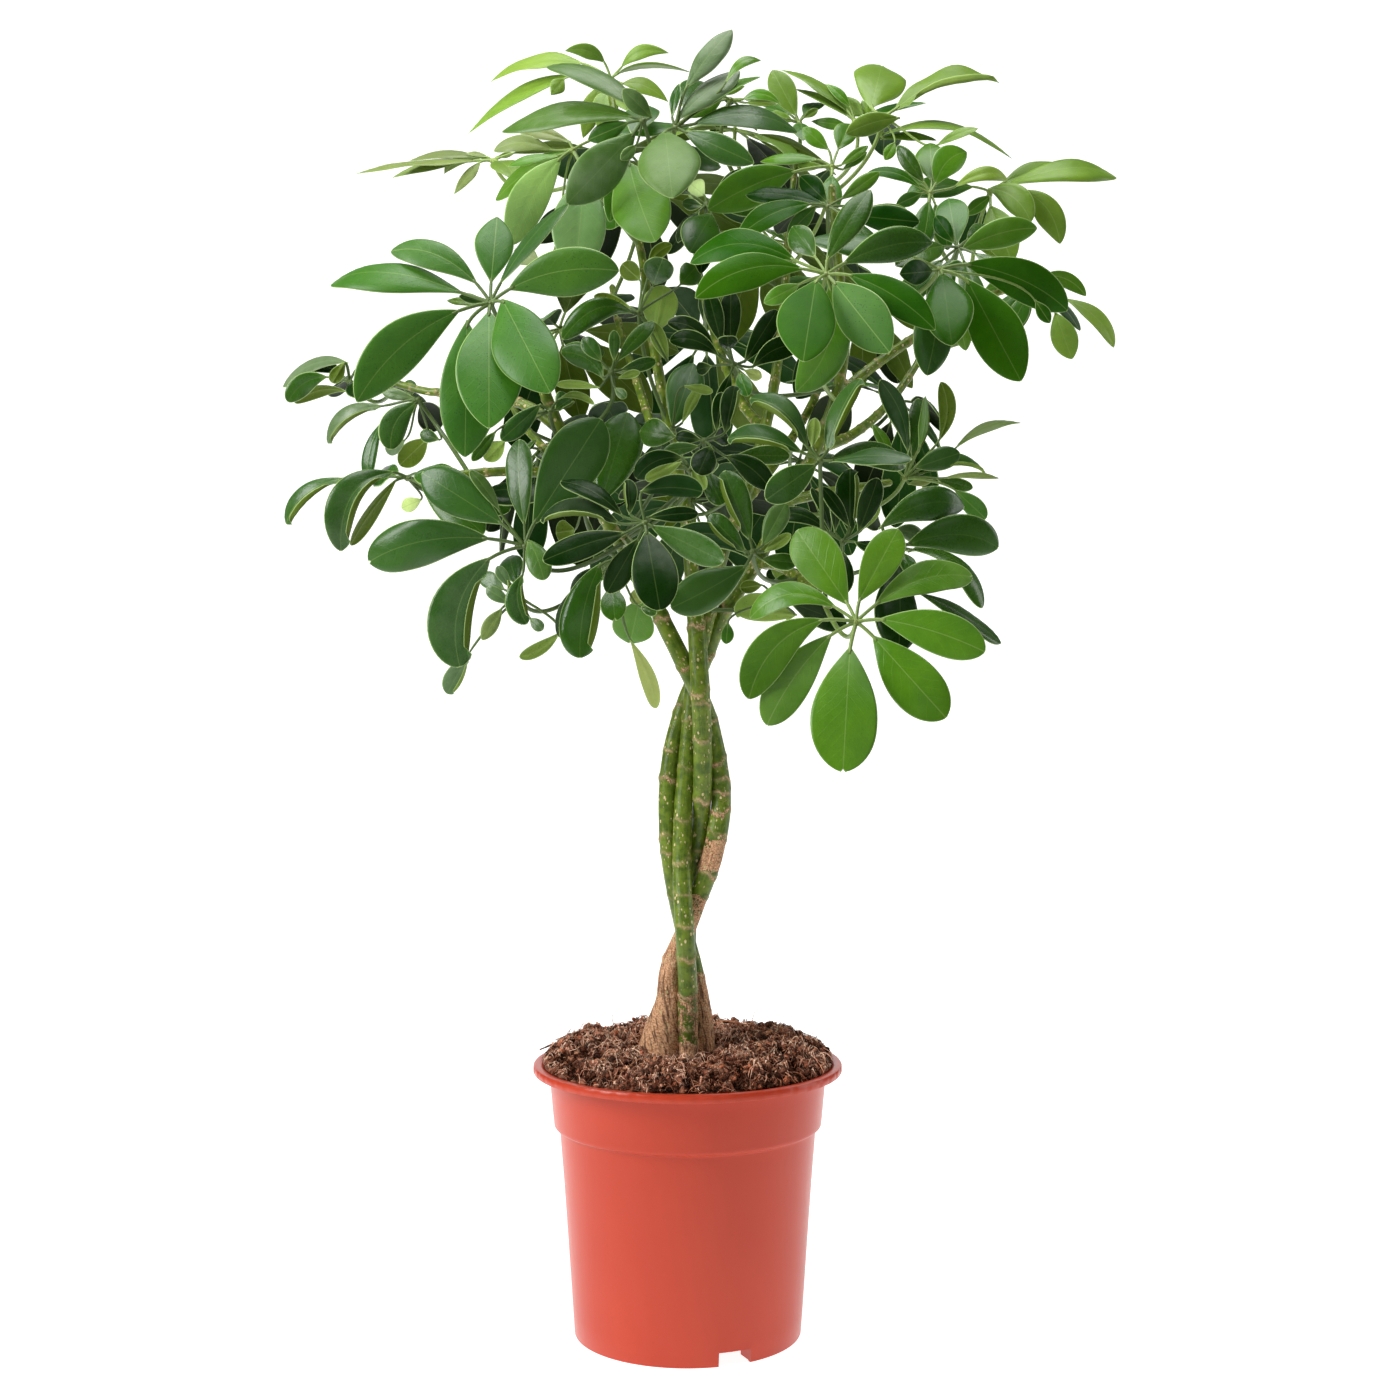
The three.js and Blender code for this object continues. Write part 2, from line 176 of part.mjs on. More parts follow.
    [-1.5,-122.3,586.6, -18.8,-118.5,584.9, -31.5,-111.9,574.3, -0.26,-0.95,-0.18, 16.1],
    [-2.7,-126.9,583.8, -14.5,-128.7,578, -25.3,-134,572.4, -0.27,0.96,-0.06, 8.7],
    [3.5,-126,583.9, 7.6,-126.5,575, 11.5,-129.7,566.5, 0.1,0.98,-0.16, 8.7],
    [-4.2,-118.5,580.4, -14.4,-107,580.1, -22.6,-94.3,577.6, -0.61,-0.39,0.69, 12.4] ] },
  { name: 'leaf_13', petiole: [[-97.2,-30,583.6], [-101.1,-28.8,582], [-130.1,-21.9,572.1], [-153.6,-19.8,568.4], [-171.7,-22.5,570.9], [-184.3,-30,579.7]], leaflets: [
    [-191.2,-32.6,583.4, -216.1,-57.6,568.1, -225.2,-52.5,531, 0.03,-0.94,0.34, 22.3],
    [-227.2,-22,580.1, -252.8,-23.4,570, -268.4,-12.6,550, -0.44,-0.83,0.35, 17.6],
    [-176.2,-22,566.2, -183.8,-19.1,563.1, -190.6,-14,560.6, -0.39,-0.88,-0.27, 9.9],
    [-190.6,-32.1,579.5, -206.3,-42.3,558.6, -219.8,-49.2,535, -0.84,0.33,0.42, 19],
    [-174.3,-39.4,574.7, -153.6,-57.9,560.5, -130.8,-68,541.8, -0.21,-0.86,0.47, 24.2],
    [-170,-31.9,577.8, -142.7,-34.5,570.1, -116.5,-32.3,558.8, 0.2,-0.79,0.58, 23],
    [-191.2,-20.4,582.9, -204.7,1.1,585.1, -213.5,24.9,582.8, -0.69,-0.34,0.65, 20.5],
    [-178.5,-43.1,581.7, -165.3,-68.1,581.4, -148,-89.5,574.7, -0.49,-0.44,0.76, 20.7] ] },
  { name: 'leaf_14', petiole: [[64.4,-7.3,558.3], [69.2,-4.4,557.8], [99.4,12.2,557.1], [122.6,21.3,560.9], [138.8,22.9,569.4], [148.1,17,582.4]], leaflets: [
    [150.5,21.5,599, 147.4,32,626.1, 132.4,36.2,650.8, 0.78,0.62,0.1, 19.3],
    [152.5,21,594.9, 159.3,25.3,616.7, 158.4,34,638.2, 0.19,-0.95,0.26, 15.5],
    [156.4,12.3,601.1, 160.1,6.3,618.3, 160.1,3.8,636.7, 0.71,-0.67,-0.23, 11.1],
    [171.2,23.6,607.3, 178,28,627.7, 173.9,31.6,648.9, 0.35,0.92,-0.2, 12.7],
    [154.3,18.3,589.3, 170.6,17.9,594.5, 186.1,22.7,599.8, 0.13,-0.99,0.01, 16.4],
    [160,21,585.4, 183.8,25.2,594.2, 206.4,35.8,588.3, 0.15,-0.63,0.76, 16.6],
    [182.3,24.7,601.9, 203.6,27,618.5, 229.4,34.6,621.9, -0.28,-0.4,0.87, 17.7],
    [174.7,17.8,582.4, 193.6,17.1,584.8, 212.4,18.9,582.5, 0.01,-0.48,0.88, 11.3],
    [169,21.2,582.6, 182.6,22,579.1, 195.6,26.6,576.1, 0.17,-0.98,-0.13, 8.9],
    [150.2,17.9,578.4, 159.2,18.4,580.2, 167.6,21.4,582, 0.19,-0.98,0, 6.8],
    [181.8,13.4,574.1, 191.8,9.6,564.2, 202.5,9.8,554.2, -0.17,-0.99,0, 13.7],
    [140.1,20.1,590.7, 134.4,22.2,606.3, 127,28.3,620, 0.34,-0.86,0.39, 9.9] ] },
  { name: 'leaf_15', petiole: [[85.8,-130.4,497.7], [85.5,-131,500.9], [83.9,-136.8,525.4], [82.5,-144.5,547.1], [81.3,-153.9,566.1], [80.2,-165,582.5]], leaflets: [
    [78.3,-166.4,580, 63.8,-177.6,569.6, 47.3,-183.4,557.8, 0.35,-0.91,0.22, 19.2],
    [70.7,-162,586.3, 47.4,-160,596.4, 24.7,-148.4,596.3, -0.13,-0.84,0.53, 16.7],
    [73.1,-162.2,589.3, 58.9,-162,611.2, 38.6,-148.7,621, 0.09,-0.87,0.47, 16.6],
    [75.5,-163.2,590.4, 76.5,-160.2,598.9, 77.4,-159.8,608, 0.02,0.98,-0.19, 8.4],
    [84.5,-163.2,586.2, 92.4,-156.5,611, 105.8,-147.6,632.5, -0.43,-0.78,0.46, 18.1],
    [85.1,-162.6,582.7, 110.8,-153,586.8, 134.1,-139.1,580.6, 0.41,-0.82,0.39, 18.5],
    [85.5,-166.8,581.2, 108.8,-176.7,584.4, 133.5,-182.5,581.9, -0.2,-0.58,0.79, 17.2] ] },
  { name: 'leaf_16', petiole: [[-38.8,-61,539.2], [-35.5,-61.3,541], [-17.6,-64.1,551.7], [-4.3,-69,562.2], [4.4,-75.9,572.6], [8.4,-85,582.8]], leaflets: [
    [12.2,-87.6,581.4, 16.7,-97.1,570.9, 22.2,-103.1,558.5, -0.24,-0.85,0.47, 14],
    [30.7,-81.5,591.2, 48.6,-81.4,590.9, 65.9,-76.4,591, 0.14,-0.99,-0.07, 12.7],
    [15.9,-83.3,575.6, 28.8,-80.5,562, 37,-73.7,546.4, 0.71,-0.63,0.3, 13.5],
    [7.2,-77.7,588.5, 5.2,-59.8,597.1, 1.3,-40.9,601.8, 0.43,-0.25,0.87, 15] ] },
  { name: 'leaf_17', petiole: [[-40.2,-83.7,539.8], [-37.3,-84,541.6], [-14.9,-88,557.2], [0.7,-94.5,571.8], [9.2,-103.5,585.2], [10.9,-115,597.6]], leaflets: [
    [-6.7,-100.3,601.2, -19.6,-92.5,603.9, -29.8,-81.3,606.5, -0.63,-0.78,0.05, 18.7],
    [8.4,-114.2,594.6, -3.1,-113.4,593, -14.1,-109.4,591.8, -0.19,-0.98,-0.1, 8.7],
    [9.6,-114.4,598.3, 0.7,-111.7,599.8, -7.2,-106.6,601.3, -0.42,-0.91,-0.01, 8.7],
    [15.2,-121.4,594, 11.9,-134.4,586.2, 7.2,-144.5,575.4, 0.33,-0.66,0.67, 16.2],
    [23.3,-117.7,588.1, 39.2,-124.7,580.6, 52.2,-123.9,566.8, -0.17,-0.98,0.05, 16.2],
    [23.9,-112.6,602.1, 27.2,-112.2,617.9, 30.2,-107.3,632.9, 0.04,-0.99,0.16, 12.5],
    [18.3,-112.6,603.3, 20.3,-111.2,616.5, 22.1,-106.1,628.7, 0.04,-0.97,0.24, 8.7],
    [15.9,-106.8,598.8, 22.1,-99.1,601, 26.1,-89.9,602.6, 0.83,-0.54,0.17, 12.5] ] },
  { name: 'leaf_18', petiole: [[75.9,118.2,618.1], [75.7,121.8,616.1], [75.1,150.2,602.3], [76.4,174.3,596.2], [79.7,194,597.7], [84.8,209.2,606.8]], leaflets: [
    [93.8,196.1,605.9, 112.5,166,602.3, 124.2,133.9,591.9, 0.71,0.19,0.68, 31.1],
    [96.9,201.3,599.1, 124.3,180.7,579.1, 142.9,155.6,554.5, 0.81,0.41,0.41, 34.6],
    [92.1,210.8,597.1, 112.1,213.2,567.3, 126.1,208.2,534.6, 0.6,0.74,0.3, 31.3],
    [84.3,215.9,593, 82,229,560, 76.7,232.9,525, 0.31,0.93,0.2, 31],
    [76.2,218.6,594.8, 55.7,237.4,565.3, 34.2,245.8,532, 0.09,0.93,0.35, 35.3],
    [68.2,215.5,604.4, 30.9,226.7,596.6, -6.1,229.1,582.1, -0.04,0.8,0.61, 34.6],
    [68.3,204.2,609.5, 30.2,191.1,613.6, -5.1,171.9,608.7, -0.25,0.54,0.8, 35.3],
    [77.8,199,610.8, 60.2,172.8,619.2, 43,145.2,618.7, -0.04,0.17,0.98, 28.4],
    [85.4,197.5,612.8, 105.2,168.7,631.5, 117.1,133.6,645.5, 0.71,0.57,0.42, 34.5],
    [90.6,217.6,597.8, 103,235.6,574, 111.3,245,544.3, 0.37,0.76,0.53, 30.7] ] },
  { name: 'leaf_19', petiole: [[-74,54.1,575.7], [-75.2,58.2,576.1], [-83.4,83,579.9], [-91.7,103.3,586.8], [-100.2,118.9,596.6], [-108.8,130,609.4]], leaflets: [
    [-112.4,114.4,609.5, -118.2,82.7,607.7, -118.7,51.5,598.8, -0.61,-0.07,0.79, 28.2],
    [-103.5,117.4,612.4, -82,91.3,616.9, -59,66.4,612.2, -0.15,-0.13,0.98, 29.8],
    [-98.3,123,612.4, -68.2,94.8,612.7, -38.1,68.9,601.8, -0.01,-0.2,0.98, 35.9],
    [-93.5,131.8,610.2, -60,134.4,609.9, -27.3,131.8,601.9, 0.1,0.56,0.83, 29.4],
    [-98.4,139.5,605.1, -73.4,159.4,593.1, -47.3,172,575.2, -0.13,0.77,0.62, 29.7],
    [-106.4,140.4,602.3, -98.3,167.1,580.3, -86.4,186.4,553, -0.38,0.75,0.54, 31],
    [-112,134.7,596.4, -118.8,145,563.1, -119.1,148.2,527.8, -0.65,0.73,0.21, 30.9],
    [-118.5,131.2,599.6, -136.4,134.1,576.5, -148.3,130.4,549.9, -0.62,0.69,0.36, 27.5],
    [-102.7,134.1,594.1, -91.5,141.9,558.8, -75.7,142.1,524.5, -0.52,0.85,-0.11, 34.5],
    [-116.6,116.6,594, -130.5,95.6,564.8, -132,72.9,533.5, -0.98,0.13,0.16, 33] ] },
  { name: 'leaf_20', petiole: [[-45.8,-12.4,538.3], [-42.2,-12.6,543], [-28.1,-15.1,563], [-18,-20.5,580.9], [-12,-28.8,596.7], [-9.9,-40,610.4]], leaflets: [
    [-10,-39.1,611.8, -2,-27.1,636.6, 4.4,-8.4,657.5, 0.2,-0.84,0.5, 25],
    [-3.4,-37.9,614.5, 1.8,-32,628.1, 9.7,-29.7,641.4, -0.61,0.79,0.05, 9.3],
    [-2.1,-43.4,638.7, 7.7,-43.8,636.7, 16.9,-46.8,634.5, 0.19,0.98,0.06, 6.6],
    [-12.8,-51.6,605.7, -18,-71.8,593.1, -23.6,-87.2,575.1, 0.07,-0.66,0.75, 19],
    [-19.4,-36.5,612.2, -38.5,-27.9,613.4, -55.6,-16.9,608.2, -0.28,-0.33,0.9, 16.4] ] },
  { name: 'leaf_21', petiole: [[-71.9,-27.6,586.7], [-75,-30.1,590.3], [-81,-35.9,598.3], [-85.4,-41.8,606.2], [-88,-47.9,613.9], [-88.8,-54.3,621.5]], leaflets: [
    [-94.5,-55.8,625.9, -106.6,-61.8,614.1, -119.8,-63.1,602.1, 0.23,-0.97,0.05, 13.7],
    [-85.9,-49.1,622.6, -80.1,-39.8,628.2, -76.7,-28.7,632.3, 0.71,-0.54,0.45, 13],
    [-83.8,-51.9,628.8, -72.6,-44.5,633.8, -60.1,-45.6,626.8, -0.1,0.62,0.78, 7.4],
    [-122.8,-66.1,607.7, -128.8,-74.8,598.5, -137,-78,587.7, 0.36,-0.89,0.27, 8.5],
    [-119,-43.1,603, -125.5,-35.8,598.1, -133.3,-32,591.4, 0.31,0.85,0.43, 13],
    [-96.7,-50,621.1, -110.5,-42.6,617.7, -121.4,-32.6,611.6, -0.61,-0.56,0.56, 13.9] ] },
  { name: 'leaf_22', petiole: [[-117.5,126.4,623.2], [-114.8,128.6,622], [-83,157.1,610.3], [-61.6,182.7,606.7], [-50.5,205.3,611.2], [-49.8,225,623.9]], leaflets: [
    [-35.1,217.4,624.3, -7.8,202,623.7, 15.6,182.5,616.4, 0.44,0.48,0.76, 27.3],
    [-33.3,227.8,621.5, 1.7,231.2,614.1, 34.8,226.8,600.8, 0.19,0.78,0.6, 31.3],
    [-41.3,230.1,612.5, -18.8,241.1,581.2, 2.1,241.5,547, 0.14,0.96,0.26, 35],
    [-49.2,232.5,611.9, -47.6,245.4,586.6, -44.7,251,558.8, -0.16,0.94,0.31, 24.8],
    [-60.3,227.5,612.9, -83.5,230.9,586.1, -101.7,226.3,555.9, -0.49,0.8,0.34, 31],
    [-63.4,221.1,620, -100.7,207.6,606.6, -131.3,187,586.8, -0.57,0.61,0.55, 36.5],
    [-61.1,212.1,626.9, -84,183.3,631.1, -101.4,150.8,627.3, -0.53,0.35,0.77, 32.3],
    [-53.5,209.7,630.9, -60.4,176.5,643.3, -64.3,140.9,646.5, -0.3,0.26,0.92, 31.4],
    [-43.5,212.7,628.6, -29.8,185.1,637.3, -17,155.7,637.4, 0.11,0.2,0.97, 27.9],
    [-55.6,222.4,611, -68.5,216.9,582.3, -74,205.6,553, -0.78,0.62,0.07, 28.2] ] },
  { name: 'leaf_23', petiole: [[-143.4,-36.7,582], [-144.5,-33.3,583.3], [-154.5,-6.6,596.2], [-164.2,10.4,609.1], [-173.8,17.6,622.1], [-182.7,14.7,635.5]], leaflets: [
    [-207.1,20.5,631.5, -232.1,21.4,625, -248,31.3,607.2, -0.42,-0.85,0.33, 16.6],
    [-183.1,14.3,633.7, -196.5,4.7,620, -199.1,-3.9,600.6, 0.35,-0.88,0.32, 19.1],
    [-206.9,9,619.7, -213.8,0.2,600.7, -216,0.2,578.7, -0.42,-0.86,0.28, 12.9],
    [-178.7,32.1,610.7, -188.8,42.5,603, -200.4,49.1,593.3, 0.3,0.84,0.45, 16.4],
    [-193.4,24.1,608.7, -201,27.5,604.5, -207.8,33.1,601.2, -0.36,-0.86,-0.36, 10.9],
    [-185.3,15.8,636.5, -197.6,17.7,638.9, -208.8,23.1,641.3, -0.3,-0.95,-0.01, 8.2],
    [-188,20.3,638.3, -190.2,25.5,645.2, -192.2,32.5,650.4, -0.09,-0.72,0.69, 9.6],
    [-169.3,22.5,608.6, -177.1,25.1,611.4, -183.9,29.9,613.9, -0.42,-0.9,0.12, 9.6],
    [-182.5,26.4,634.2, -182,49.4,630.1, -175.6,69.4,619.7, -0.65,0.33,0.69, 19.4] ] },
  { name: 'leaf_24', petiole: [[-79.9,-32.9,602.8], [-75.9,-35.7,604.4], [-61,-47.6,612.4], [-51.5,-58.1,621.6], [-47.3,-67.2,632.1], [-48.4,-75,643.8]], leaflets: [
    [-45.3,-72.9,650.4, -33.2,-70.1,665.4, -21.2,-62.2,678.4, 0.01,-0.94,0.35, 11.5],
    [-46.5,-73.7,650.9, -46.5,-73.3,661.6, -46.6,-69.9,671.7, 0.04,-0.98,0.18, 7.7],
    [-54.2,-72.6,651.1, -60.7,-71.4,659.2, -66.6,-67.4,666.9, -0.18,-0.97,0.18, 10.9],
    [-53,-72.5,639.6, -64.3,-66.9,653.8, -81.2,-59.8,658.9, -0.5,-0.85,-0.17, 16.7],
    [-42.7,-73.8,645.8, -30.9,-73.1,648.9, -19.8,-69.1,652.1, 0.22,-0.97,-0.06, 9],
    [-43.9,-75.3,640.6, -36.9,-74.6,642.6, -29.9,-75.9,644.3, 0.02,0.99,0.12, 5.8],
    [-45.7,-80.1,633.8, -42.4,-83.3,630.6, -38.5,-85.2,627, -0.37,-0.89,0.28, 6.4],
    [-55.6,-72,634.6, -69.4,-67.4,637.9, -84.2,-65,637.8, 0.23,0.56,0.8, 8.9] ] },
  { name: 'leaf_25', petiole: [[127.4,54.6,623.8], [127.8,58.7,623.5], [131.5,86.7,622.8], [137,108.7,626.1], [144.5,124.6,633.5], [153.8,134.3,644.9]], leaflets: [
    [161,127.1,638, 176.1,109.7,620.4, 184.1,91.8,599.1, 0.88,0.07,0.46, 25.3],
    [160.6,134.7,633.3, 174.8,134.7,604.6, 181.3,131.2,573.4, 0.87,0.4,0.28, 27.9],
    [155.7,141.3,629.6, 158.6,156.1,592.8, 153.8,163.3,554, 0.7,0.69,0.18, 34.6],
    [145.7,127.7,651.8, 120.2,107.2,669.2, 91.5,85.1,676.9, 0.31,0.16,0.94, 32.3],
    [149,122,648.6, 126,89.6,654.7, 101.3,58.2,649.8, 0.15,-0.09,0.99, 35.1],
    [149.7,147.8,631.9, 142,168.7,607.6, 131,181.6,579.3, 0.34,0.84,0.42, 29.4],
    [161,121.2,643.8, 173.6,94.9,635.5, 180.9,67.9,623.7, 0.83,0.1,0.55, 29.1],
    [139.1,132.5,651.4, 105.5,126.4,660.6, 70.8,119.6,659, 0.1,0.07,0.99, 33.2],
    [159.2,149.2,637.6, 170.3,178.7,617.1, 172.2,203.3,588.6, 0.71,0.37,0.6, 31.6] ] },
  { name: 'leaf_26', petiole: [[99.9,-26.4,640.6], [95.6,-28,639.4], [67.6,-40.2,633], [47.4,-52.1,632.5], [34.9,-63.7,637.8], [30.1,-75,648.9]], leaflets: [
    [21.2,-73,654.2, 5.1,-76.5,664.3, -11.5,-66.5,665.1, -0.21,-0.98,-0.05, 12.8],
    [18.6,-71.4,657.5, 4.7,-71.4,672.4, -12.8,-62.2,677.2, -0.26,-0.96,0.04, 11.5],
    [16.1,-66.8,649.1, 10.4,-63.4,648.1, 5.8,-58.6,647.5, -0.58,-0.78,-0.23, 9],
    [27.6,-72.5,657.4, 27.9,-69.6,678.7, 28.3,-61,698.4, -0.01,-0.96,0.27, 14.1],
    [22.4,-72.4,661.9, 17.8,-71.9,679.5, 13.5,-66.3,696.4, -0.08,-0.98,0.15, 12.8],
    [26,-91.1,656.5, 25.9,-99.7,658.8, 25.8,-107.2,663.3, -0,-0.39,-0.92, 13.1],
    [36.5,-73,650.4, 47.8,-69.9,668.7, 58,-60.9,685.6, 0.18,-0.96,0.22, 14.1],
    [41.6,-72.8,647.2, 56.1,-74,658.7, 72.5,-66.6,662.6, 0.2,-0.98,-0, 15.4],
    [36.4,-79,645.3, 42.5,-81.6,642.3, 47.6,-86,639.5, 0.48,0.87,-0.11, 7.7],
    [28.2,-76.5,644.3, 23.9,-82.4,631.8, 19.2,-84.6,618.2, 0.11,-0.96,0.26, 9.6],
    [33.2,-78.8,644, 35.6,-85.6,636.6, 38.7,-90.1,627.8, -0.24,-0.83,0.5, 10.3] ] },
  { name: 'leaf_27', petiole: [[-199.3,24.8,647.4], [-200.1,27.9,646.8], [-211.6,62.7,640.9], [-222.4,85.5,640.4], [-232.6,96.3,645.3], [-242.1,95,655.4]], leaflets: [
    [-244,98.8,669.3, -270.6,108.3,669.8, -293.4,112.5,653.6, -0.39,-0.62,0.68, 18.2],
    [-258.2,97.7,659.2, -275.8,101.1,655.3, -288.1,103.4,641.9, -0.05,-0.97,-0.23, 15.8],
    [-243.9,97.2,648.5, -263.8,108.1,651.7, -284.8,108.9,642.4, 0.03,0.55,0.84, 12.9],
    [-244.6,89.2,669, -249.2,86.9,660.9, -252.8,82.2,653.4, -0.35,0.91,-0.22, 10.1],
    [-246.1,105.1,657.4, -255.2,128.8,658.7, -258.2,153.2,652.5, -0.62,-0.08,0.78, 21.8],
    [-249.8,101.4,661.6, -265,116.6,670.1, -278.4,135.1,674.3, -0.32,-0.56,0.77, 18.1],
    [-230.2,91.8,654.5, -207.2,87.1,651.3, -186.3,85,640.1, 0.25,-0.31,0.92, 20.5],
    [-240.1,86,654.7, -235.2,67.2,650.8, -227.4,52,640.9, -0.4,-0.47,0.79, 14.1],
    [-239.1,98.3,663.2, -229.8,106.3,678.6, -219.1,118.7,689.7, -0.21,-0.69,0.69, 15.3] ] },
  { name: 'leaf_28', petiole: [[-104.4,-50.7,665], [-104.8,-55.1,664], [-107.5,-82.2,660.3], [-110.8,-104.6,661.7], [-114.6,-122.2,668.3], [-119.1,-135,679.9]], leaflets: [
    [-134.8,-130.2,685.4, -181.2,-128.6,699.3, -223.5,-105,697.7, -0.09,-0.68,0.73, 31.6],
    [-127.4,-131.1,691.4, -154.1,-129,710.5, -183.4,-114.6,714.7, -0.06,-0.88,0.48, 21.4],
    [-119.8,-127.3,692.6, -118.6,-117,716.8, -118.4,-100.4,737.4, 0.14,-0.85,0.51, 24.6],
    [-114.5,-131.5,690.7, -96.1,-123.7,720.2, -74,-111.7,745.3, -0.56,-0.56,0.62, 24.1],
    [-108.5,-137.7,687.4, -76,-149.2,697, -40.4,-152.1,696.7, -0.18,-0.97,-0.18, 30.1],
    [-111.9,-140.2,681.6, -97.2,-168.5,654.2, -79.7,-187.2,620.8, -0.25,-0.83,0.51, 38.1],
    [-120.1,-137.8,675.3, -117.5,-166.3,640.6, -115.9,-184.2,599.4, 0.08,-0.85,0.52, 40.5],
    [-133.4,-138.7,669.1, -132.6,-153.1,628.2, -133.2,-155.8,584.9, 0.11,-0.97,0.2, 35.6],
    [-137,-138.8,675.2, -171.2,-152.1,651.9, -198,-156,617.9, 0.26,-0.96,0.01, 30.7],
    [-124.4,-124.1,682, -131.7,-126.9,683.5, -139.4,-127.5,685.2, 0.2,-0.97,-0.09, 6.2],
    [-127.1,-122.1,680.5, -137.7,-119.7,682.8, -148.1,-116.3,684.3, -0.11,-0.79,0.6, 6.6] ] },
  { name: 'leaf_29', petiole: [[-12.8,22.8,618.8], [-14.8,21.3,623.2], [-22.5,14.4,641.8], [-27.9,6.8,659.2], [-31.2,-1.3,675.4], [-32.3,-10,690.5]], leaflets: [
    [-35.6,-11.1,689.7, -58.7,-32.5,690.6, -82.6,-28.1,670.4, 0.24,-0.94,0.25, 18.2],
    [-37,-8.3,694, -49.3,-2.6,698.6, -62.7,-0.6,703.1, 0.3,0.95,0.03, 9.4],
    [-22.5,-31.9,705.8, -19.5,-43.9,711.4, -15.5,-53.7,720, -0.25,-0.58,-0.78, 20.2],
    [-21.8,-1.8,678.9, -19.2,8.3,694.3, -16,13.7,711.8, -0.12,0.91,-0.41, 24.2],
    [-13,-6.4,658.4, -18.3,-2.6,671.7, -23.8,-2.9,685.4, 0.07,0.99,-0.1, 10.7],
    [-31.9,2.2,714.1, -37.5,9.5,719.9, -44.4,14.3,726.7, 0.48,0.82,-0.32, 13.4],
    [-25,-7.4,720.7, -20.3,-4.6,730.7, -10.3,-4.7,736.3, -0.17,0.99,-0, 9.4],
    [-5.1,6.9,711.5, 1.5,14.1,719.9, 6.3,23.9,726.8, 0.5,-0.74,0.44, 17.5],
    [-35,-1.4,693.5, -39.7,16.9,695.7, -44.9,35,693.8, 0.14,0.03,0.99, 14.7] ] },
  { name: 'leaf_30', petiole: [[97.7,-25,631.3], [96.4,-29.7,631.9], [86.4,-71.3,639.7], [81,-106,652.7], [80.2,-133.9,670.7], [84.1,-155,693.9]], leaflets: [
    [84.2,-152.6,702, 97.8,-148.3,726.8, 112.3,-136.8,748.5, -0.12,-0.92,0.38, 19.3],
    [93.2,-152.7,700.2, 122.1,-153.2,711.6, 150.4,-140.7,715.3, 0.23,-0.97,-0.08, 21.8],
    [95.8,-158.6,693.9, 122.7,-171.6,679.6, 147.3,-177.4,658.2, -0.11,-0.93,0.34, 22.2],
    [88.1,-158.2,689.8, 102,-178.1,668, 119.6,-190.2,643.3, -0.41,-0.86,0.31, 30.3],
    [77.7,-161.8,689.9, 73.1,-191,666.2, 67.7,-212.4,635.6, 0.08,-0.74,0.67, 35.1],
    [71.9,-158.7,696.3, 37.6,-173.2,695, 5.4,-179.3,677.3, 0.17,-0.91,0.39, 24.5],
    [66.9,-149.8,702.4, 33.2,-147.3,713.9, 2.3,-132.2,704.6, -0.22,-0.85,0.48, 22.8],
    [78.5,-145.8,705.4, 70.6,-138.4,717.5, 64.7,-127.2,727.8, -0.44,-0.8,0.4, 16.9],
    [85.9,-153.8,689.3, 85.9,-150.5,653.5, 66.9,-138,625.6, -0.08,-0.97,-0.22, 27.8],
    [68.6,-152.5,688.9, 57.7,-152.4,683.2, 47,-148.9,678, -0.08,-0.98,-0.16, 10.9],
    [95.7,-151.9,679.4, 106.2,-151.5,664.5, 116.8,-146.1,650.7, -0.01,-0.98,-0.21, 13.3] ] },
  { name: 'leaf_31', petiole: [[-39.5,136.2,665], [-42.8,138.2,665.8], [-62.5,151.1,672.3], [-78.3,163.3,680.8], [-90,174.5,691.5], [-97.7,184.8,704.3]], leaflets: [
    [-100,171.3,705.7, -104.7,137.9,707.1, -105.2,104.8,700.1, -0.45,-0.04,0.89, 29.5],
    [-93.1,171.8,713.7, -80.6,138.4,732.9, -65.8,101.9,741.6, -0.22,0.29,0.93, 35.2],
    [-86.3,179.4,709.1, -64.7,155.5,721.1, -42.1,129.8,723.9, -0.11,0.19,0.98, 30],
    [-79.8,186.4,703.5, -42.6,187.7,699.6, -7.5,182.7,687.7, 0.2,0.61,0.77, 32.6],
    [-88.2,191.3,697.5, -57.9,209.2,674.2, -28.5,217.1,644.9, 0.08,0.86,0.51, 36.9],
    [-96,191.9,694.4, -90.8,208.2,667.7, -83.5,216.6,637.9, -0.25,0.91,0.34, 27.7],
    [-105.1,190.3,691.5, -123,202.2,656, -134.4,205.6,616.2, -0.56,0.74,0.37, 36.2],
    [-107.3,182.5,697.3, -133.1,178,675.5, -152.3,168.7,649, -0.7,0.51,0.5, 29.7],
    [-107.3,175.1,700.4, -128.3,151.3,689.5, -142.4,126.1,672.5, -0.74,0.17,0.65, 29.2],
    [-91.9,170.4,700.8, -79.7,141.6,690.5, -68.6,115.5,673.8, 0.14,-0.39,0.91, 28.7] ] },
  { name: 'leaf_32', petiole: [[101.5,-30.5,699.5], [104.3,-33.4,698.3], [122.9,-54.1,691.9], [138,-73,690.8], [149.5,-89.9,695], [157.3,-105,704.5]], leaflets: [
    [153.1,-109.5,703.2, 143.5,-123.2,700.3, 130.4,-133.8,697.7, 0.73,-0.68,-0.03, 16.3],
    [159,-107.3,702.9, 158.5,-134.8,680.7, 159.9,-155.2,652.1, -0.19,-0.72,0.67, 31.4],
    [173.8,-108.5,699, 188.7,-120.8,666.9, 206.2,-123.1,633.8, -0.25,-0.96,0.09, 32.7],
    [172.7,-101.8,708.7, 209.8,-102.2,698.6, 240.9,-87.2,681.5, 0.11,-0.96,-0.25, 26.4],
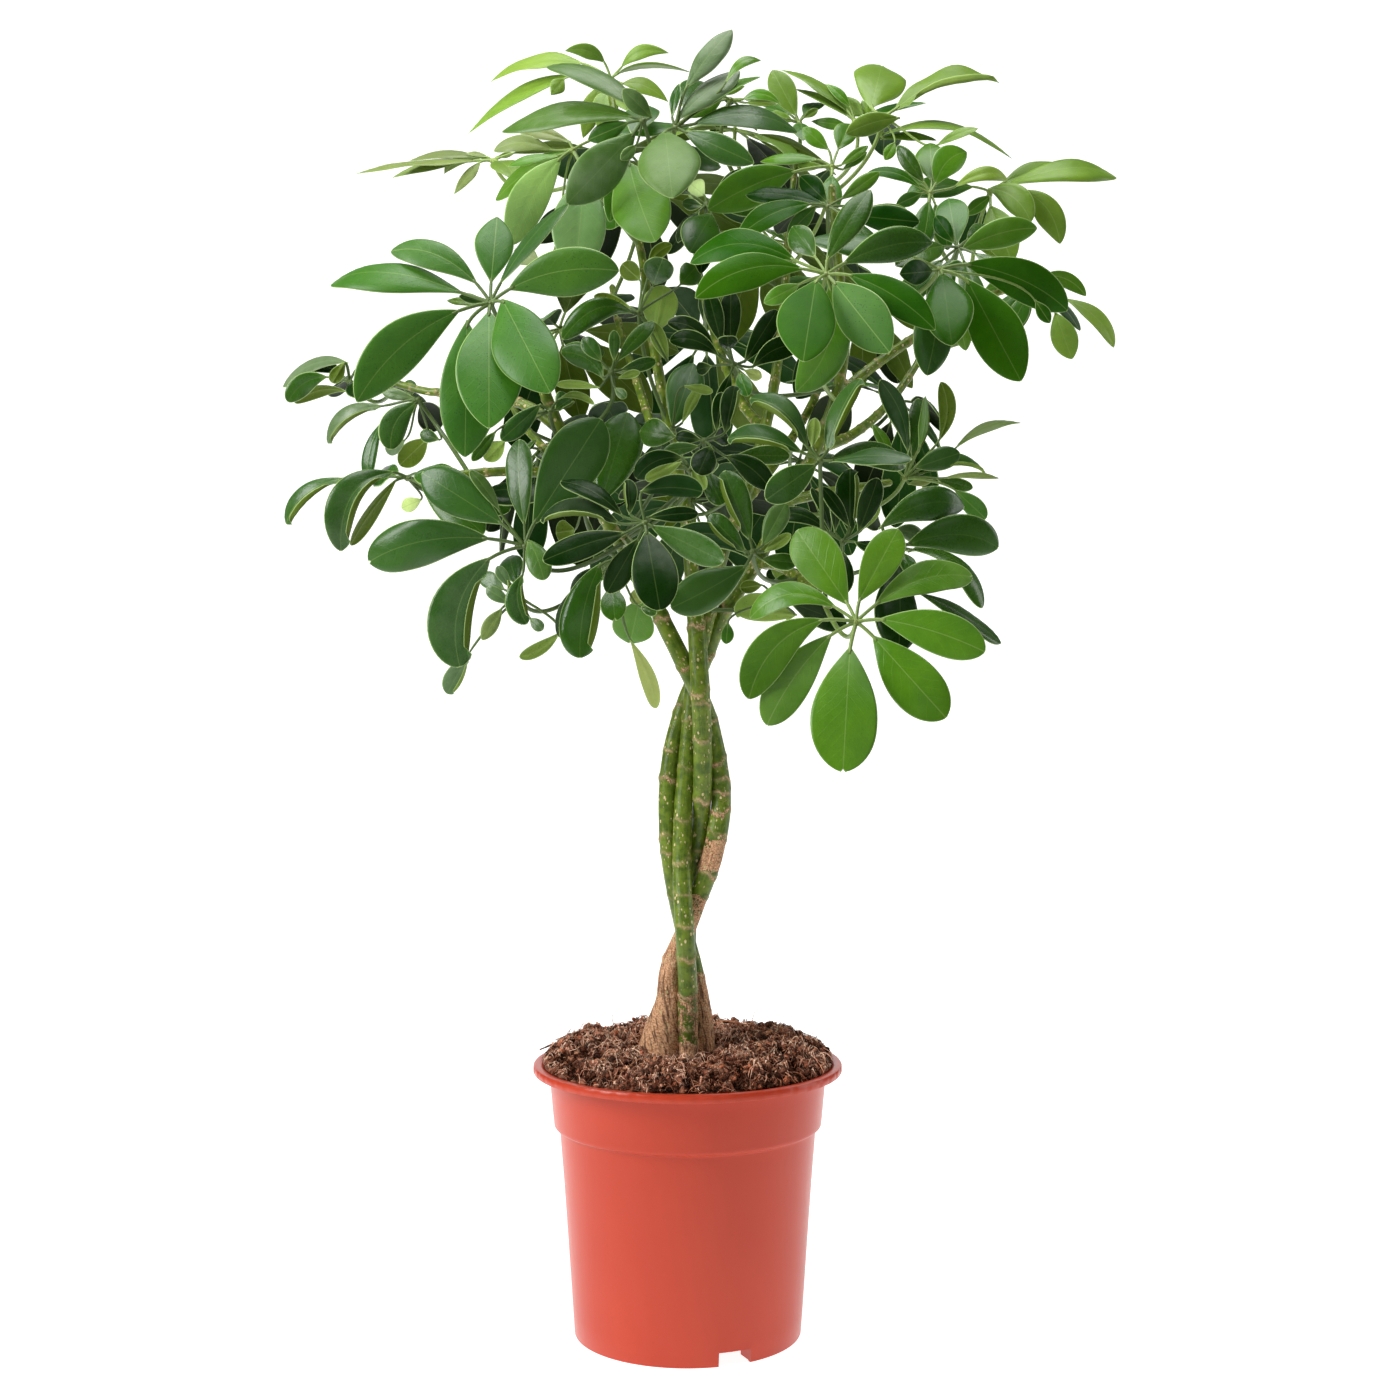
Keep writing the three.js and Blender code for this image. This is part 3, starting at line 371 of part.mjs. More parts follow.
    [161.5,-101.2,707.5, 169.1,-96.9,707.5, 175.3,-90.7,707.9, 0.6,-0.78,-0.19, 8.8],
    [167.8,-101.8,686.3, 171.4,-101.6,670.4, 175.4,-96.9,655.2, -0.1,-0.98,-0.18, 12.6],
    [217.9,-100.9,686.5, 222.9,-100,679.2, 228.1,-96.8,672.7, -0.03,-0.95,-0.31, 8.8],
    [156,-112.3,693.3, 153.5,-127.4,666.2, 147,-132.6,636.2, 0.36,-0.9,0.26, 27.1],
    [143.7,-106.9,711.1, 110.3,-109.3,721.3, 75.7,-104.5,723.8, 0.11,-0.68,0.72, 27.1] ] },
  { name: 'leaf_33', petiole: [[12.6,178.4,721.4], [12.6,181.5,719.5], [11.8,213.9,703.3], [11.5,241.2,696.3], [11.7,263.2,698.5], [12.3,280.2,709.9]], leaflets: [
    [20.8,282.6,697.3, 42.9,287.4,662.7, 59.9,282.2,625.4, 0.45,0.86,0.24, 36],
    [13.7,289.5,697.9, 17.5,312,663.1, 20.3,323.9,623.3, 0.08,0.9,0.42, 36.3],
    [3.9,283.9,697.5, -16.3,291.4,665.7, -33,289.2,631.2, -0.34,0.91,0.26, 33.5],
    [0.8,280.6,705.8, -30.4,279.8,692.5, -57.7,272.5,673.6, -0.42,0.69,0.59, 29.6],
    [0,273.6,711, -32.1,254.5,711.6, -59.9,230.7,703.8, -0.41,0.44,0.8, 32.6],
    [7.1,271.3,716.5, -7.9,243.6,732.8, -21.9,211.9,740.1, -0.1,0.41,0.91, 30.9],
    [14,266,713, 21.7,232.7,730.9, 28.3,195.5,738.9, 0.1,0.36,0.93, 33.6],
    [23.4,269.3,709.6, 48.8,245.3,706.4, 69.2,218.9,695.2, 0.52,0.24,0.82, 30.6],
    [28.1,278.3,705.5, 62.6,272,693.3, 92.1,259.3,674.7, 0.48,0.62,0.62, 32.3],
    [-6.8,278.6,717.6, -40.5,273.6,726.9, -73.9,262.6,724.1, -0.02,0.45,0.89, 33.9] ] },
  { name: 'leaf_34', petiole: [[175.9,22.5,691.6], [175.6,18.8,692.3], [174,-4.1,697.7], [173.3,-24,705.2], [173.7,-41,714.7], [175,-55,726.2]], leaflets: [
    [174.5,-53.5,727.7, 172.6,-39.4,749.1, 172.3,-20.1,765.9, -0.23,-0.74,0.63, 22.1],
    [176.3,-54.4,724.4, 202.1,-51.1,736.1, 228.5,-41.9,741.2, 0.25,-0.97,-0.05, 19.5],
    [173.2,-53.6,729, 166.5,-50.4,739.5, 161.2,-43.9,749.3, -0.36,-0.91,0.22, 11.7],
    [165.4,-66.4,725.3, 149.8,-85.6,719.6, 131,-98,708, 0.34,-0.71,0.61, 22],
    [165.6,-57.6,718.9, 148.4,-62.2,702.2, 133.4,-60.2,683, -0.32,-0.88,0.35, 20.4],
    [177,-64.5,717.8, 180.9,-80.5,698.1, 183.4,-91.4,675, 0.23,-0.81,0.54, 17.9],
    [180.9,-48.8,731.9, 195.2,-32.1,740.6, 207.3,-12.4,745.3, 0.41,-0.56,0.72, 19.2],
    [171.1,-61.7,719.4, 162.9,-75.8,702.1, 154.8,-82.5,680.8, -0.02,-0.88,0.48, 16.8],
    [183.8,-61.2,722.2, 200,-72.3,711.3, 215.3,-77.7,695.8, 0.12,-0.77,0.62, 16.5] ] },
  { name: 'leaf_35', petiole: [[170.4,121.7,679.4], [173.7,121.3,680], [201.5,116.9,687.3], [223.2,111.8,697.5], [238.9,106.2,710.5], [248.4,100,726.5]], leaflets: [
    [252.2,101.7,731, 271.4,108.3,730.8, 287.2,112.6,719, 0.22,-0.95,-0.22, 11.6],
    [267.6,94.4,715, 288.6,85.7,701, 302.7,81.9,678.8, 0.3,-0.78,0.55, 17.7],
    [261.6,92.1,704.8, 266.1,84.1,688.1, 272.1,81,670.2, -0.28,-0.94,0.22, 18.8],
    [244.5,98,731.9, 228.5,90.5,725.8, 211.1,88,719.8, 0.29,-0.96,-0, 11.5],
    [246,108.7,721.5, 240.8,125.9,709.5, 235.6,140.1,694.2, 0.01,0.66,0.75, 18.9],
    [243.1,93.3,719, 234.9,82.8,704.6, 226.1,76.9,688.2, 0.12,-0.9,0.42, 14.7],
    [257.8,106.6,722.6, 273.6,119.4,711.5, 286.5,131.7,696.7, 0.6,0.12,0.79, 20.2],
    [248.7,112.3,726.8, 249,134.8,723.4, 246.5,156,715.1, 0.48,0.25,0.84, 18.4],
    [240.7,100.2,721.8, 226.1,99.8,711.4, 214.4,103.1,698.2, -0.52,-0.69,0.5, 15.1] ] },
  { name: 'leaf_36', petiole: [[97.6,161.6,657.8], [98.9,163.4,660.8], [107.3,174.9,680], [115.4,186.1,697.7], [123.2,197,714.1], [130.7,207.6,729]], leaflets: [
    [142.3,201.6,725.5, 165.8,187.4,716.2, 184,170.1,701.7, 0.66,0.39,0.64, 25.3],
    [140.3,208.1,716.7, 158.3,207.7,690.6, 169.8,202.2,661.5, 0.74,0.58,0.33, 27.7],
    [132.3,213.7,716.6, 134.5,224.1,692, 133.2,228.3,665.6, 0.48,0.84,0.25, 23.4],
    [123.6,217.4,718.6, 104.8,239.8,690.8, 84.3,252.1,658.4, 0.16,0.9,0.41, 35.1],
    [119.9,213.1,727.7, 85.8,228,721.2, 51.5,235.3,707.6, 0.03,0.72,0.69, 32.8],
    [118.7,204.9,729.1, 88.9,181.9,713.4, 67.7,154.3,692.2, -0.77,0.41,0.49, 35.5],
    [119,199.7,736, 97.3,175.5,736.4, 72.2,155.8,729.9, 0.38,-0.51,0.77, 28.4],
    [129.8,192.2,735.7, 127.3,165.3,745, 121.9,137.2,747, 0.36,0.14,0.92, 24.9],
    [135.6,195.4,728.1, 149.4,156.9,723.3, 155.7,118.6,710, 0.65,-0.01,0.76, 35.8],
    [138.6,215.4,719.8, 152.5,230.1,696.6, 164,238.5,669.3, 0.31,0.8,0.52, 24.4] ] },
  { name: 'leaf_37', petiole: [[103.7,-30.5,679.9], [102.4,-32.2,683.8], [97,-41,702.4], [93.2,-50.3,719.6], [90.9,-59.9,735.3], [90.1,-70,749.7]], leaflets: [
    [88.9,-69.4,751.1, 62.6,-63.4,758.7, 37.5,-51.5,761.4, -0.14,-0.77,0.62, 18.8],
    [90.2,-68.3,752.6, 80.5,-62,763.3, 73,-52.1,772.8, -0.48,-0.84,0.26, 14.2],
    [79.7,-73.1,751.1, 55.4,-86.3,743.1, 31.7,-88.6,727, 0.02,-0.86,0.52, 19],
    [82.4,-71.5,750.1, 73.7,-75.7,740.9, 64.3,-76.3,731.6, 0.19,-0.98,0.07, 10.9],
    [97.9,-67.6,754.6, 111.7,-65.5,764.4, 124.1,-58.9,774, 0.27,-0.96,0.06, 10.3],
    [104,-72.8,744.2, 125.2,-80,740.7, 147.7,-81.2,738.3, -0.21,-0.97,-0.16, 18],
    [114.7,-65.4,749.9, 129.4,-64.6,748.1, 143.4,-59.9,747.1, 0.16,-0.97,-0.21, 9.7],
    [83.2,-58,751.5, 71.4,-33.4,752, 59.7,-10.3,743.3, -0.01,0.16,0.99, 21.2],
    [98,-78.2,743.6, 111.4,-90.6,730.1, 123,-98.7,712.3, 0.3,-0.67,0.68, 17.2] ] },
  { name: 'leaf_38', petiole: [[67.8,60,715.8], [64.2,59.5,717.5], [40.2,54.4,731.2], [23.5,46.9,744.2], [14.3,37.1,756.5], [12.5,25,768.2]], leaflets: [
    [16.5,14.1,760.2, 10.9,-10.4,746.5, 1.8,-30,727.6, 0.44,-0.62,0.65, 28.9],
    [23.4,27.9,765.4, 37.6,29.3,765.4, 50.9,34.7,765.2, 0.24,-0.97,0.06, 8.5],
    [10.4,26.7,767.9, 2.4,31.2,769.8, -4,37.8,771.9, -0.62,-0.78,-0.05, 8.9],
    [11.8,34.4,776.1, 5.4,43.5,783.3, 1.4,54.9,788.8, -0.65,-0.61,0.45, 15.1],
    [6.1,25.8,761.9, -4.6,27,749.1, -13.5,32.8,736.2, -0.37,-0.93,0.03, 12.6],
    [8.2,18.7,763.4, -0.2,8.7,753.3, -6.8,2.7,739.4, -0.32,-0.69,0.66, 13.6],
    [18.2,26,775.1, 30.6,28.7,786.2, 42.4,37,794.9, 0.09,-0.91,0.4, 13.1],
    [11.7,20.4,757.9, 10.8,14.4,739.3, 8.8,12.7,719.9, 0.24,-0.95,0.17, 14.5],
    [3.9,25.6,774.2, -13.5,28.4,783, -31.6,34.9,787.2, 0.11,-0.64,0.76, 17.2] ] },
  { name: 'leaf_39', petiole: [[69.5,61.1,740.2], [68.9,64.8,739.8], [63,105.9,738.2], [59.7,137.1,742.5], [58.9,158.5,752.6], [60.7,170,768.6]], leaflets: [
    [44.9,172.1,767.4, 23.1,174,763.9, 2.7,172.6,755.3, -0.23,0.52,0.82, 19.3],
    [48.2,163.7,769.1, 22.2,149.9,767.9, -1.2,134.2,759.3, -0.32,0.23,0.92, 25.7],
    [55.2,158.8,773.2, 41.6,131.2,781.5, 27.9,102.5,781, 0.02,0.13,0.99, 27.8],
    [63.1,154.6,768.6, 67.4,122.4,766.6, 69,91.6,756.1, 0.31,-0.16,0.94, 28.4],
    [71.2,161.5,765.5, 90.6,144.3,757.8, 105.3,126.1,744.3, 0.62,0.14,0.77, 23.6],
    [74.7,166.9,762, 108.5,160,745.3, 136,149.4,720.9, 0.59,0.36,0.73, 33.4],
    [71.8,178.3,759.5, 86.8,200.7,735.8, 95.9,218.1,705.8, 0.59,0.49,0.63, 31.3],
    [61.1,180.6,754.8, 67.7,204.3,733.4, 71.1,221.9,706.2, 0.35,0.68,0.65, 28.4],
    [49.6,177.9,757.6, 37.3,193.7,726.4, 27.3,200.4,691.3, -0.23,0.89,0.38, 32.3],
    [71.2,155.9,773, 90.7,130,774.2, 104.5,101.1,768.6, 0.6,0.31,0.74, 29.5] ] },
  { name: 'leaf_40', petiole: [[201.4,35.9,706.1], [198.9,35,708.4], [181.6,27.6,725.5], [169.8,19.3,741.8], [163.4,10.1,757.1], [162.5,0,771.7]], leaflets: [
    [159.3,2,778, 149.5,4.4,792.2, 141.3,11.4,805.9, -0.31,-0.94,0.12, 11.5],
    [166.3,4.8,777.2, 175.6,15.8,795.6, 190.8,30.8,805.2, 0.43,-0.82,0.39, 20.3],
    [178.3,4,775.7, 198.5,1.5,784.9, 217.2,13.5,783.6, 0.13,-0.89,0.44, 12.2],
    [157.1,-0.1,773.6, 139.4,-4.5,783.8, 118.8,-1.2,784.7, 0.2,-0.77,0.61, 12],
    [157.7,-0.9,771.5, 148.8,-4.4,767.1, 139.3,-4.9,762.8, 0.23,-0.97,-0.04, 9.5],
    [164.6,7.6,780.4, 164.9,18.9,798.5, 165.9,34.8,812.8, -0.12,-0.76,0.64, 20.3],
    [158.6,1.8,776.7, 143.9,5.2,785.4, 128.5,11.7,790.6, 0.12,-0.67,0.74, 10.4],
    [160.9,-6.8,765.3, 158.5,-20.4,749.1, 153.8,-28.4,729.8, 0.33,-0.83,0.44, 16.6],
    [165.2,-4.2,764.2, 169.7,-10.9,748.6, 173.2,-14,731.6, 0.27,-0.9,0.34, 15.5] ] },
  { name: 'leaf_41', petiole: [[193.6,32,702.2], [193.8,33.8,705.3], [196,44.7,727.1], [199.3,51,747.1], [203.7,52.8,765.3], [209.2,49.9,781.7]], leaflets: [
    [217.3,53.4,787.8, 245.7,59.6,798.1, 273.3,73.1,799.3, 0.17,-0.81,0.57, 20.6],
    [218.6,52.6,786.3, 263.4,46.5,797.6, 300.9,74.1,796.7, 0.09,-0.69,0.72, 29.2],
    [229.5,46.3,782.4, 246.8,35.7,767.4, 256,38.2,744, -0.28,-0.96,0.01, 18.9],
    [207.7,48.7,783.5, 223.3,35.7,775.5, 234.8,30.4,757.7, -0.48,-0.87,0.11, 19.6],
    [208.6,44.7,771.8, 213.4,29.6,751.8, 220.6,20.6,729, -0.33,-0.86,0.39, 23.8],
    [201.7,54.7,744, 215.2,55.2,740.1, 228.2,59.4,737.1, 0.12,-0.97,-0.23, 8.4],
    [210.5,49.3,779.5, 201.3,45,772.3, 191.3,44,764.9, 0.21,-0.97,0.07, 9.8],
    [197.4,42.4,783.7, 173.8,27.7,781.7, 148.8,17.7,774.5, 0.21,-0.67,0.71, 24.6],
    [206.8,63.3,777, 203.1,85.7,766.6, 196.9,103.9,750.7, 0.33,0.57,0.76, 19.8] ] },
  { name: 'leaf_42', petiole: [[-36.8,19.3,759.6], [-37.2,15.8,760.2], [-39.5,-6.8,765], [-40.5,-27.3,771.1], [-40.4,-45.7,778.6], [-39.1,-62,787.4]], leaflets: [
    [-36.9,-69.9,778.2, -30.1,-98.3,749.7, -19.3,-123.4,719.4, -0.23,-0.75,0.62, 37.6],
    [-46,-65.2,777.2, -46.8,-72.7,758.9, -48.9,-75,739.3, 0.22,-0.95,0.23, 11.8],
    [-30,-65.4,777.2, -20.2,-72.4,761.7, -12.6,-74.9,743.8, 0.41,-0.8,0.44, 11.7],
    [-26,-57.2,789.4, 0.6,-46,788.6, 23.3,-28.8,784.1, 0.48,-0.74,0.47, 20.8],
    [-35.8,-53.1,798.8, -30,-33.9,816.2, -25,-10.4,827.6, 0.1,-0.57,0.81, 22.1] ] },
  { name: 'leaf_43', petiole: [[68.7,60.7,728], [70.8,58.4,730.2], [82.7,44.7,745.1], [91.2,33.8,760.5], [96.3,25.5,776.4], [98,20,792.9]], leaflets: [
    [92.6,21.5,793.9, 83.2,22.8,794.1, 74.5,26.5,794.9, -0.27,-0.94,-0.19, 6.2],
    [90,22.7,798.1, 69.2,26.3,800.8, 49.5,34.5,799.8, -0.19,-0.76,0.62, 12.6],
    [103.4,20.5,793.7, 113,20,800.9, 122.6,22.8,807.6, -0.01,-0.98,0.18, 7.1],
    [104.9,21.9,791.2, 114,23.1,797.9, 122.2,27.4,804.5, 0.27,-0.96,0.05, 6.9],
    [102.7,31.5,806.7, 108,39.1,818.6, 112.1,49.9,828.3, 0.28,-0.79,0.55, 16.4],
    [96,21.9,804.7, 86.8,22.2,812.5, 78.5,25.8,820.3, -0.25,-0.97,-0.04, 11],
    [74,15.6,789.3, 44.4,2,777.3, 13.8,3.6,761, 0.23,-0.97,-0.07, 27.4],
    [97.3,10.9,786.1, 96.8,-4.2,772.8, 95.4,-13.9,755.2, 0.15,-0.78,0.61, 14.6],
    [95.7,30.4,793.2, 91.3,48.2,791.1, 88.4,64.6,783, -0.22,0.23,0.95, 16] ] },
  { name: 'leaf_44', petiole: [[-32.3,21,739.2], [-34.4,18.8,741.4], [-46.7,5.6,755], [-57.6,-7,768.2], [-67,-18.8,781.3], [-74.9,-30,794]], leaflets: [
    [-87.6,-26.6,794, -108.8,-26.1,799.7, -128,-16,796.2, -0.22,-0.91,0.36, 12.6],
    [-76.3,-28.3,799.5, -94.8,-25.1,806, -112.6,-17.1,809.8, -0.12,-0.85,0.5, 11.8],
    [-76.9,-29.3,794.8, -104.8,-22.3,781.9, -128.1,-8.9,765.4, -0.53,-0.73,0.42, 21.2],
    [-82,-31.9,789.1, -100.7,-43.6,761.9, -113.7,-46.5,729.5, 0.24,-0.97,0.11, 25.2],
    [-66.7,-37.7,777.6, -68.6,-57.7,744.3, -71.6,-67.9,706.9, 0.1,-0.92,0.39, 35.8],
    [-83.4,-30.7,790, -100.5,-33.8,788.1, -117.3,-33.4,782.9, -0.08,-0.73,0.68, 10.4],
    [-97.7,-17.3,723.1, -107.7,-12.4,728.3, -116,-4.6,733, -0.52,-0.85,0.13, 14.6],
    [-59.8,-27.3,802.1, -29.3,-20.2,811.7, 1.3,-9.1,814.3, -0.03,-0.5,0.87, 27.1],
    [-76.6,-9.5,798.4, -78.1,27.7,802.2, -76.3,64.3,794.2, -0.26,0.06,0.96, 32.9] ] },
  { name: 'leaf_45', petiole: [[-39.1,20,770.7], [-38.1,16.8,770.2], [-27.4,-16.8,768], [-18.7,-44.9,771.6], [-12,-67.7,781.1], [-7.4,-85,796.4]], leaflets: [
    [-13.5,-95.5,792.3, -11.4,-131.6,770.9, -8.3,-160.4,740.5, -0.09,-0.63,0.78, 39.5],
    [-2.3,-86.7,794.1, 18.6,-98,782.4, 42,-102.4,771, -0.35,-0.93,-0.04, 17.8],
    [2.1,-82,798.3, 38.6,-78.1,806.4, 71.3,-60.8,799.1, 0.22,-0.74,0.63, 24.6],
    [-4.2,-83.4,797.4, 18.7,-70.2,821.8, 47,-53.8,836.9, -0.36,-0.46,0.81, 24.2],
    [-7.4,-83.7,800.4, 12.8,-78.5,820.5, 33.9,-66.5,836.4, -0.11,-0.84,0.53, 19.5],
    [-1.1,-79.2,821.4, 13.3,-76.9,843, 28.8,-67.9,861.9, -0.16,-0.91,0.37, 17.5],
    [-9.3,-83.2,803, -7.7,-81.7,814.8, -4.9,-77.2,825.7, -0.35,-0.89,0.3, 7.1],
    [24.2,-80.2,825, 34.3,-85,837.1, 47.1,-75.3,841.2, -0.18,-0.85,0.5, 8.5],
    [-2.6,-72.6,810.3, 6.9,-47,828.3, 12.6,-17.4,841, 0.49,-0.52,0.7, 25.9] ] },
  { name: 'leaf_46', petiole: [[-41.5,22.5,783.2], [-40.6,19.5,782.4], [-29.1,-21.1,774.3], [-23,-53.7,774.3], [-22.4,-78.3,782.4], [-27.3,-95,798.6]], leaflets: [
    [-29.2,-93.2,803.9, -56.3,-85.2,828.7, -89.5,-71.4,839.6, 0.21,-0.63,0.75, 25],
    [-21.6,-96.7,800, -30.3,-102.1,807.6, -39.5,-104.1,816.2, 0.12,-0.95,-0.3, 12.6],
    [-30.4,-93.8,800.1, -75.7,-82.8,807.2, -118.3,-64.6,798.3, -0.24,-0.67,0.71, 31.5],
    [-31.6,-96.8,791.4, -51.6,-108.1,768, -74.1,-110.6,744.2, 0.27,-0.96,0.04, 29.1],
    [-35.5,-93.4,798.3, -49,-92.6,792.8, -62.1,-87.9,788.3, -0.1,-0.96,-0.27, 12.6],
    [-31.5,-99.8,782.7, -35.8,-103.2,777.7, -40.8,-104.6,772.4, 0.35,-0.93,0.12, 7.6] ] },
  { name: 'leaf_47', petiole: [[-56.6,180.5,728.6], [-55.4,178.2,730.7], [-45.4,160.7,750.1], [-38.8,150.2,768.5], [-35.7,146.6,785.7], [-35.9,150,801.9]], leaflets: [
    [-19.5,154.6,799, 12.8,162.3,790.2, 42.6,165.2,773.6, 0.25,0.5,0.83, 29.9],
    [-47,139,799.5, -72.6,112.1,791.2, -92.8,85,773.9, -0.51,0.02,0.86, 33.1],
    [-39.3,137.3,804.8, -48.1,102.5,809.3, -54.7,67.3,804.1, -0.21,0.03,0.98, 31.5],
    [-30.2,138.6,805.7, -14.8,107.1,812.7, 0.1,74.8,809.8, 0.05,0.08,1, 31.2],
    [-21.7,142.7,803.1, 14.2,122.9,802.5, 46.9,100.8,791.3, 0.28,0.2,0.94, 35.7],
    [-46.6,158.1,793.3, -71,176.2,768.1, -90.4,186.5,735.2, -0.42,0.65,0.63, 38.1],
    [-24.2,161.9,801.6, 2.4,189.2,792.3, 31.3,210,775.7, -0.22,0.65,0.73, 33.6],
    [-33,158.1,786.7, -27.2,169.6,759.4, -24,175.9,730, 0.41,0.85,0.33, 24.7],
    [-55.3,153.5,798.4, -87.4,159.8,786.4, -116,159.2,766.6, -0.32,0.62,0.72, 29.9],
    [-39.1,136.1,797.7, -49,102.6,784.9, -50.7,73.9,761.2, -0.57,-0.34,0.75, 30.1] ] },
  { name: 'leaf_48', petiole: [[-44,26.3,796.7], [-46.6,28.1,795.8], [-81.1,50.8,786], [-107.6,65.2,784.6], [-126.2,71.3,791.5], [-136.7,69,806.8]], leaflets: [
    [-144.3,68.4,806.7, -188.6,63.8,805.3, -232.3,61.8,797.1, -0.08,-0.32,0.94, 30.2],
    [-146.8,72.8,810.3, -173.5,78.1,814.3, -197.7,90.8,811.2, -0.16,-0.48,0.86, 18.4],
    [-156.8,74,807.1, -184.4,78.7,806.4, -210.1,87.5,799.3, -0.25,-0.52,0.82, 18.9],
    [-144.8,66.6,806.3, -154,61.6,794.5, -162.9,58.3,781.9, -0.16,-0.89,0.42, 9.4],
    [-140.2,69.6,809.7, -148,69.7,811.9, -155.8,71.8,812.9, -0,-0.84,0.55, 4.8],
    [-133.9,70,809.8, -127.5,70.9,811.4, -121.6,73.5,813.3, 0.31,-0.94,-0.14, 4.2],
    [-123.7,67.9,811.4, -94.3,68.4,816.7, -64.7,67.2,812.4, -0.01,0.19,0.98, 21.5],
    [-133.4,60.1,805.1, -124.6,38.9,797.6, -115.5,22.1,783, -0.03,-0.51,0.86, 21.3],
    [-145.6,79.3,811.1, -162.2,101.6,815.8, -177.5,124.5,810, -0.11,-0.05,0.99, 19.6] ] },
  { name: 'leaf_49', petiole: [[71.2,62,764.6], [74.3,61.5,766.1], [98.8,56.6,780.2], [116.8,51.6,795.7], [128.4,46.3,812.4], [133.5,40.8,830.4]], leaflets: [
    [127.3,59.3,840.7, 134.5,86.1,867.6, 139.8,119.5,886.3, 0.17,-0.62,0.77, 38.9],
    [141.3,43.6,835.1, 178.2,49.6,858.8, 218.2,68.2,862.7, -0.06,-0.65,0.76, 29],
    [145.7,38.5,829.9, 126.7,32.8,825.4, 108.1,31.1,817.4, 0.23,-0.97,-0.12, 15.3],
    [129.7,44.6,817.6, 180.9,51.3,829.2, 225.6,69.3,807.5, 0.18,-0.33,0.93, 33.8],
    [170.1,35.2,810.2, 183.4,30.6,816.6, 198.1,29.6,821.2, -0.34,-0.83,0.44, 9.2],
    [132.5,44.6,816.9, 153,47.8,820.2, 172.9,54.8,819.1, 0.13,-0.65,0.75, 12.5],
    [142,35.2,812.9, 138.6,31.3,806.5, 134.7,29.6,799.5, 0.19,-0.94,0.29, 8.3],
    [135.6,59.8,833.5, 139.5,93.6,833.1, 141.4,126,822.8, 0.2,0.14,0.97, 25.5] ] },
  { name: 'leaf_50', petiole: [[70.3,61.5,752.4], [68,62.6,754.8], [51.3,71.4,774.7], [39.9,78.9,794.3], [33.9,85.1,813.7], [33.2,90,832.8]], leaflets: [
    [41.5,78.5,828.2, 61,55.6,817.4, 77.4,35.4,798.7, 0.35,-0.32,0.88, 27.9],
    [48.2,84.9,828.6, 78.9,73.8,816.9, 104.7,61.8,796.9, 0.51,0.08,0.86, 30.3],
    [49,95.3,828, 74.1,98.1,812.4, 94,100.5,790.5, 0.63,0.06,0.77, 25.8],
    [18.5,88.4,829.9, -15.5,84.3,826.6, -47.2,79.1,814.2, -0.25,0.12,0.96, 30],
    [21.3,78.3,831.2, -3.6,53.5,825.2, -25.7,30.2,809.7, -0.28,-0.15,0.95, 31.1],
    [33.2,77.3,833.5, 38.2,44.7,833.7, 40.1,13.1,824.9, 0.12,-0.12,0.99, 24.6],
    [41.3,103.5,830.9, 60.2,134,820, 75.8,160.5,798.6, 0.27,0.34,0.9, 32.9] ] },
  { name: 'leaf_51', petiole: [[70.3,61.5,752.4], [70.9,64.5,754.2], [76.8,94,775.3], [80.2,111.3,797], [81.1,116.7,819.3], [79.5,110,842.1]], leaflets: [
    [78.2,111.5,846.7, 68.6,114.8,865.5, 60.5,123.8,883.1, -0.26,-0.95,0.19, 18.9],
    [82.5,110.8,845.8, 88.1,111.1,849.3, 93.3,113.1,852.8, 0.23,-0.97,-0.05, 5.8],
    [76,110.8,843, 67.8,111.3,846.8, 60.3,114.3,850.9, -0.27,-0.96,-0.11, 7.3],
    [82.9,115.4,848.5, 90.2,127.8,858.8, 97.7,142.9,864, -0.03,-0.48,0.88, 15.2],
    [79.8,101.1,840.1, 80.3,84.3,833.9, 80.9,71.2,821.8, -0.02,-0.52,0.85, 12.7],
    [75,116.6,848.4, 64.3,131.2,857.6, 55.3,148.9,861.6, -0.26,-0.5,0.83, 15.8],
    [71.4,106.7,844.3, 56,101.3,845, 40.5,97.3,841.6, 0.01,-0.31,0.95, 11.4] ] },
  { name: 'leaf_52', petiole: [[72.4,62.7,776.8], [74.5,65,777.9], [99.1,91.5,793.1], [114.9,108.7,809.3], [121.9,116.5,826.5], [120.1,115,844.6]], leaflets: [
    [116.6,116.4,847.1, 98.1,121.8,861.8, 77.5,130.9,871.2, 0.29,-0.54,0.79, 16.4],
    [116.7,117.8,850.2, 94.4,126.9,874.7, 67.8,144,888, 0.35,-0.49,0.8, 22.8],
    [117.4,117.5,854.5, 108.5,117.8,864.7, 99.7,123.9,873.1, -0.02,-0.95,0.31, 8],
    [116.7,116.7,840.7, 102.2,118.9,843.8, 88.9,125.1,846.8, -0.29,-0.96,0.01, 8.9],
    [127,119.5,849.2, 117.7,124.5,857.8, 110.4,132.8,865.8, -0.51,-0.84,0.16, 13.1],
    [131.3,119.4,846.3, 128.3,121.4,854.5, 125.9,125.7,862.1, -0.27,-0.92,0.28, 8.7],
    [128.3,112.7,849, 149.1,107.5,854.1, 170.9,104.4,855.4, -0.22,-0.45,0.86, 17.7] ] },
  { name: 'leaf_53', petiole: [[71.2,62,764.6], [68.3,62.4,766.3], [42.8,65.7,785.3], [27.7,66.3,805.1], [23.2,64.5,825.6], [29.3,60,847]], leaflets: [
    [37.6,57.7,846.5, 51,50.8,849, 64.4,50.3,841.4, -0.22,-0.95,0.23, 8.5],
    [39.7,57.4,844.4, 50.7,53.2,844.1, 62.4,51.8,842.4, -0.18,-0.89,0.42, 7],
    [23.7,58.9,846.8, 13.1,54.5,839.9, 1.5,53.6,833.2, 0.27,-0.96,-0.07, 9.8],
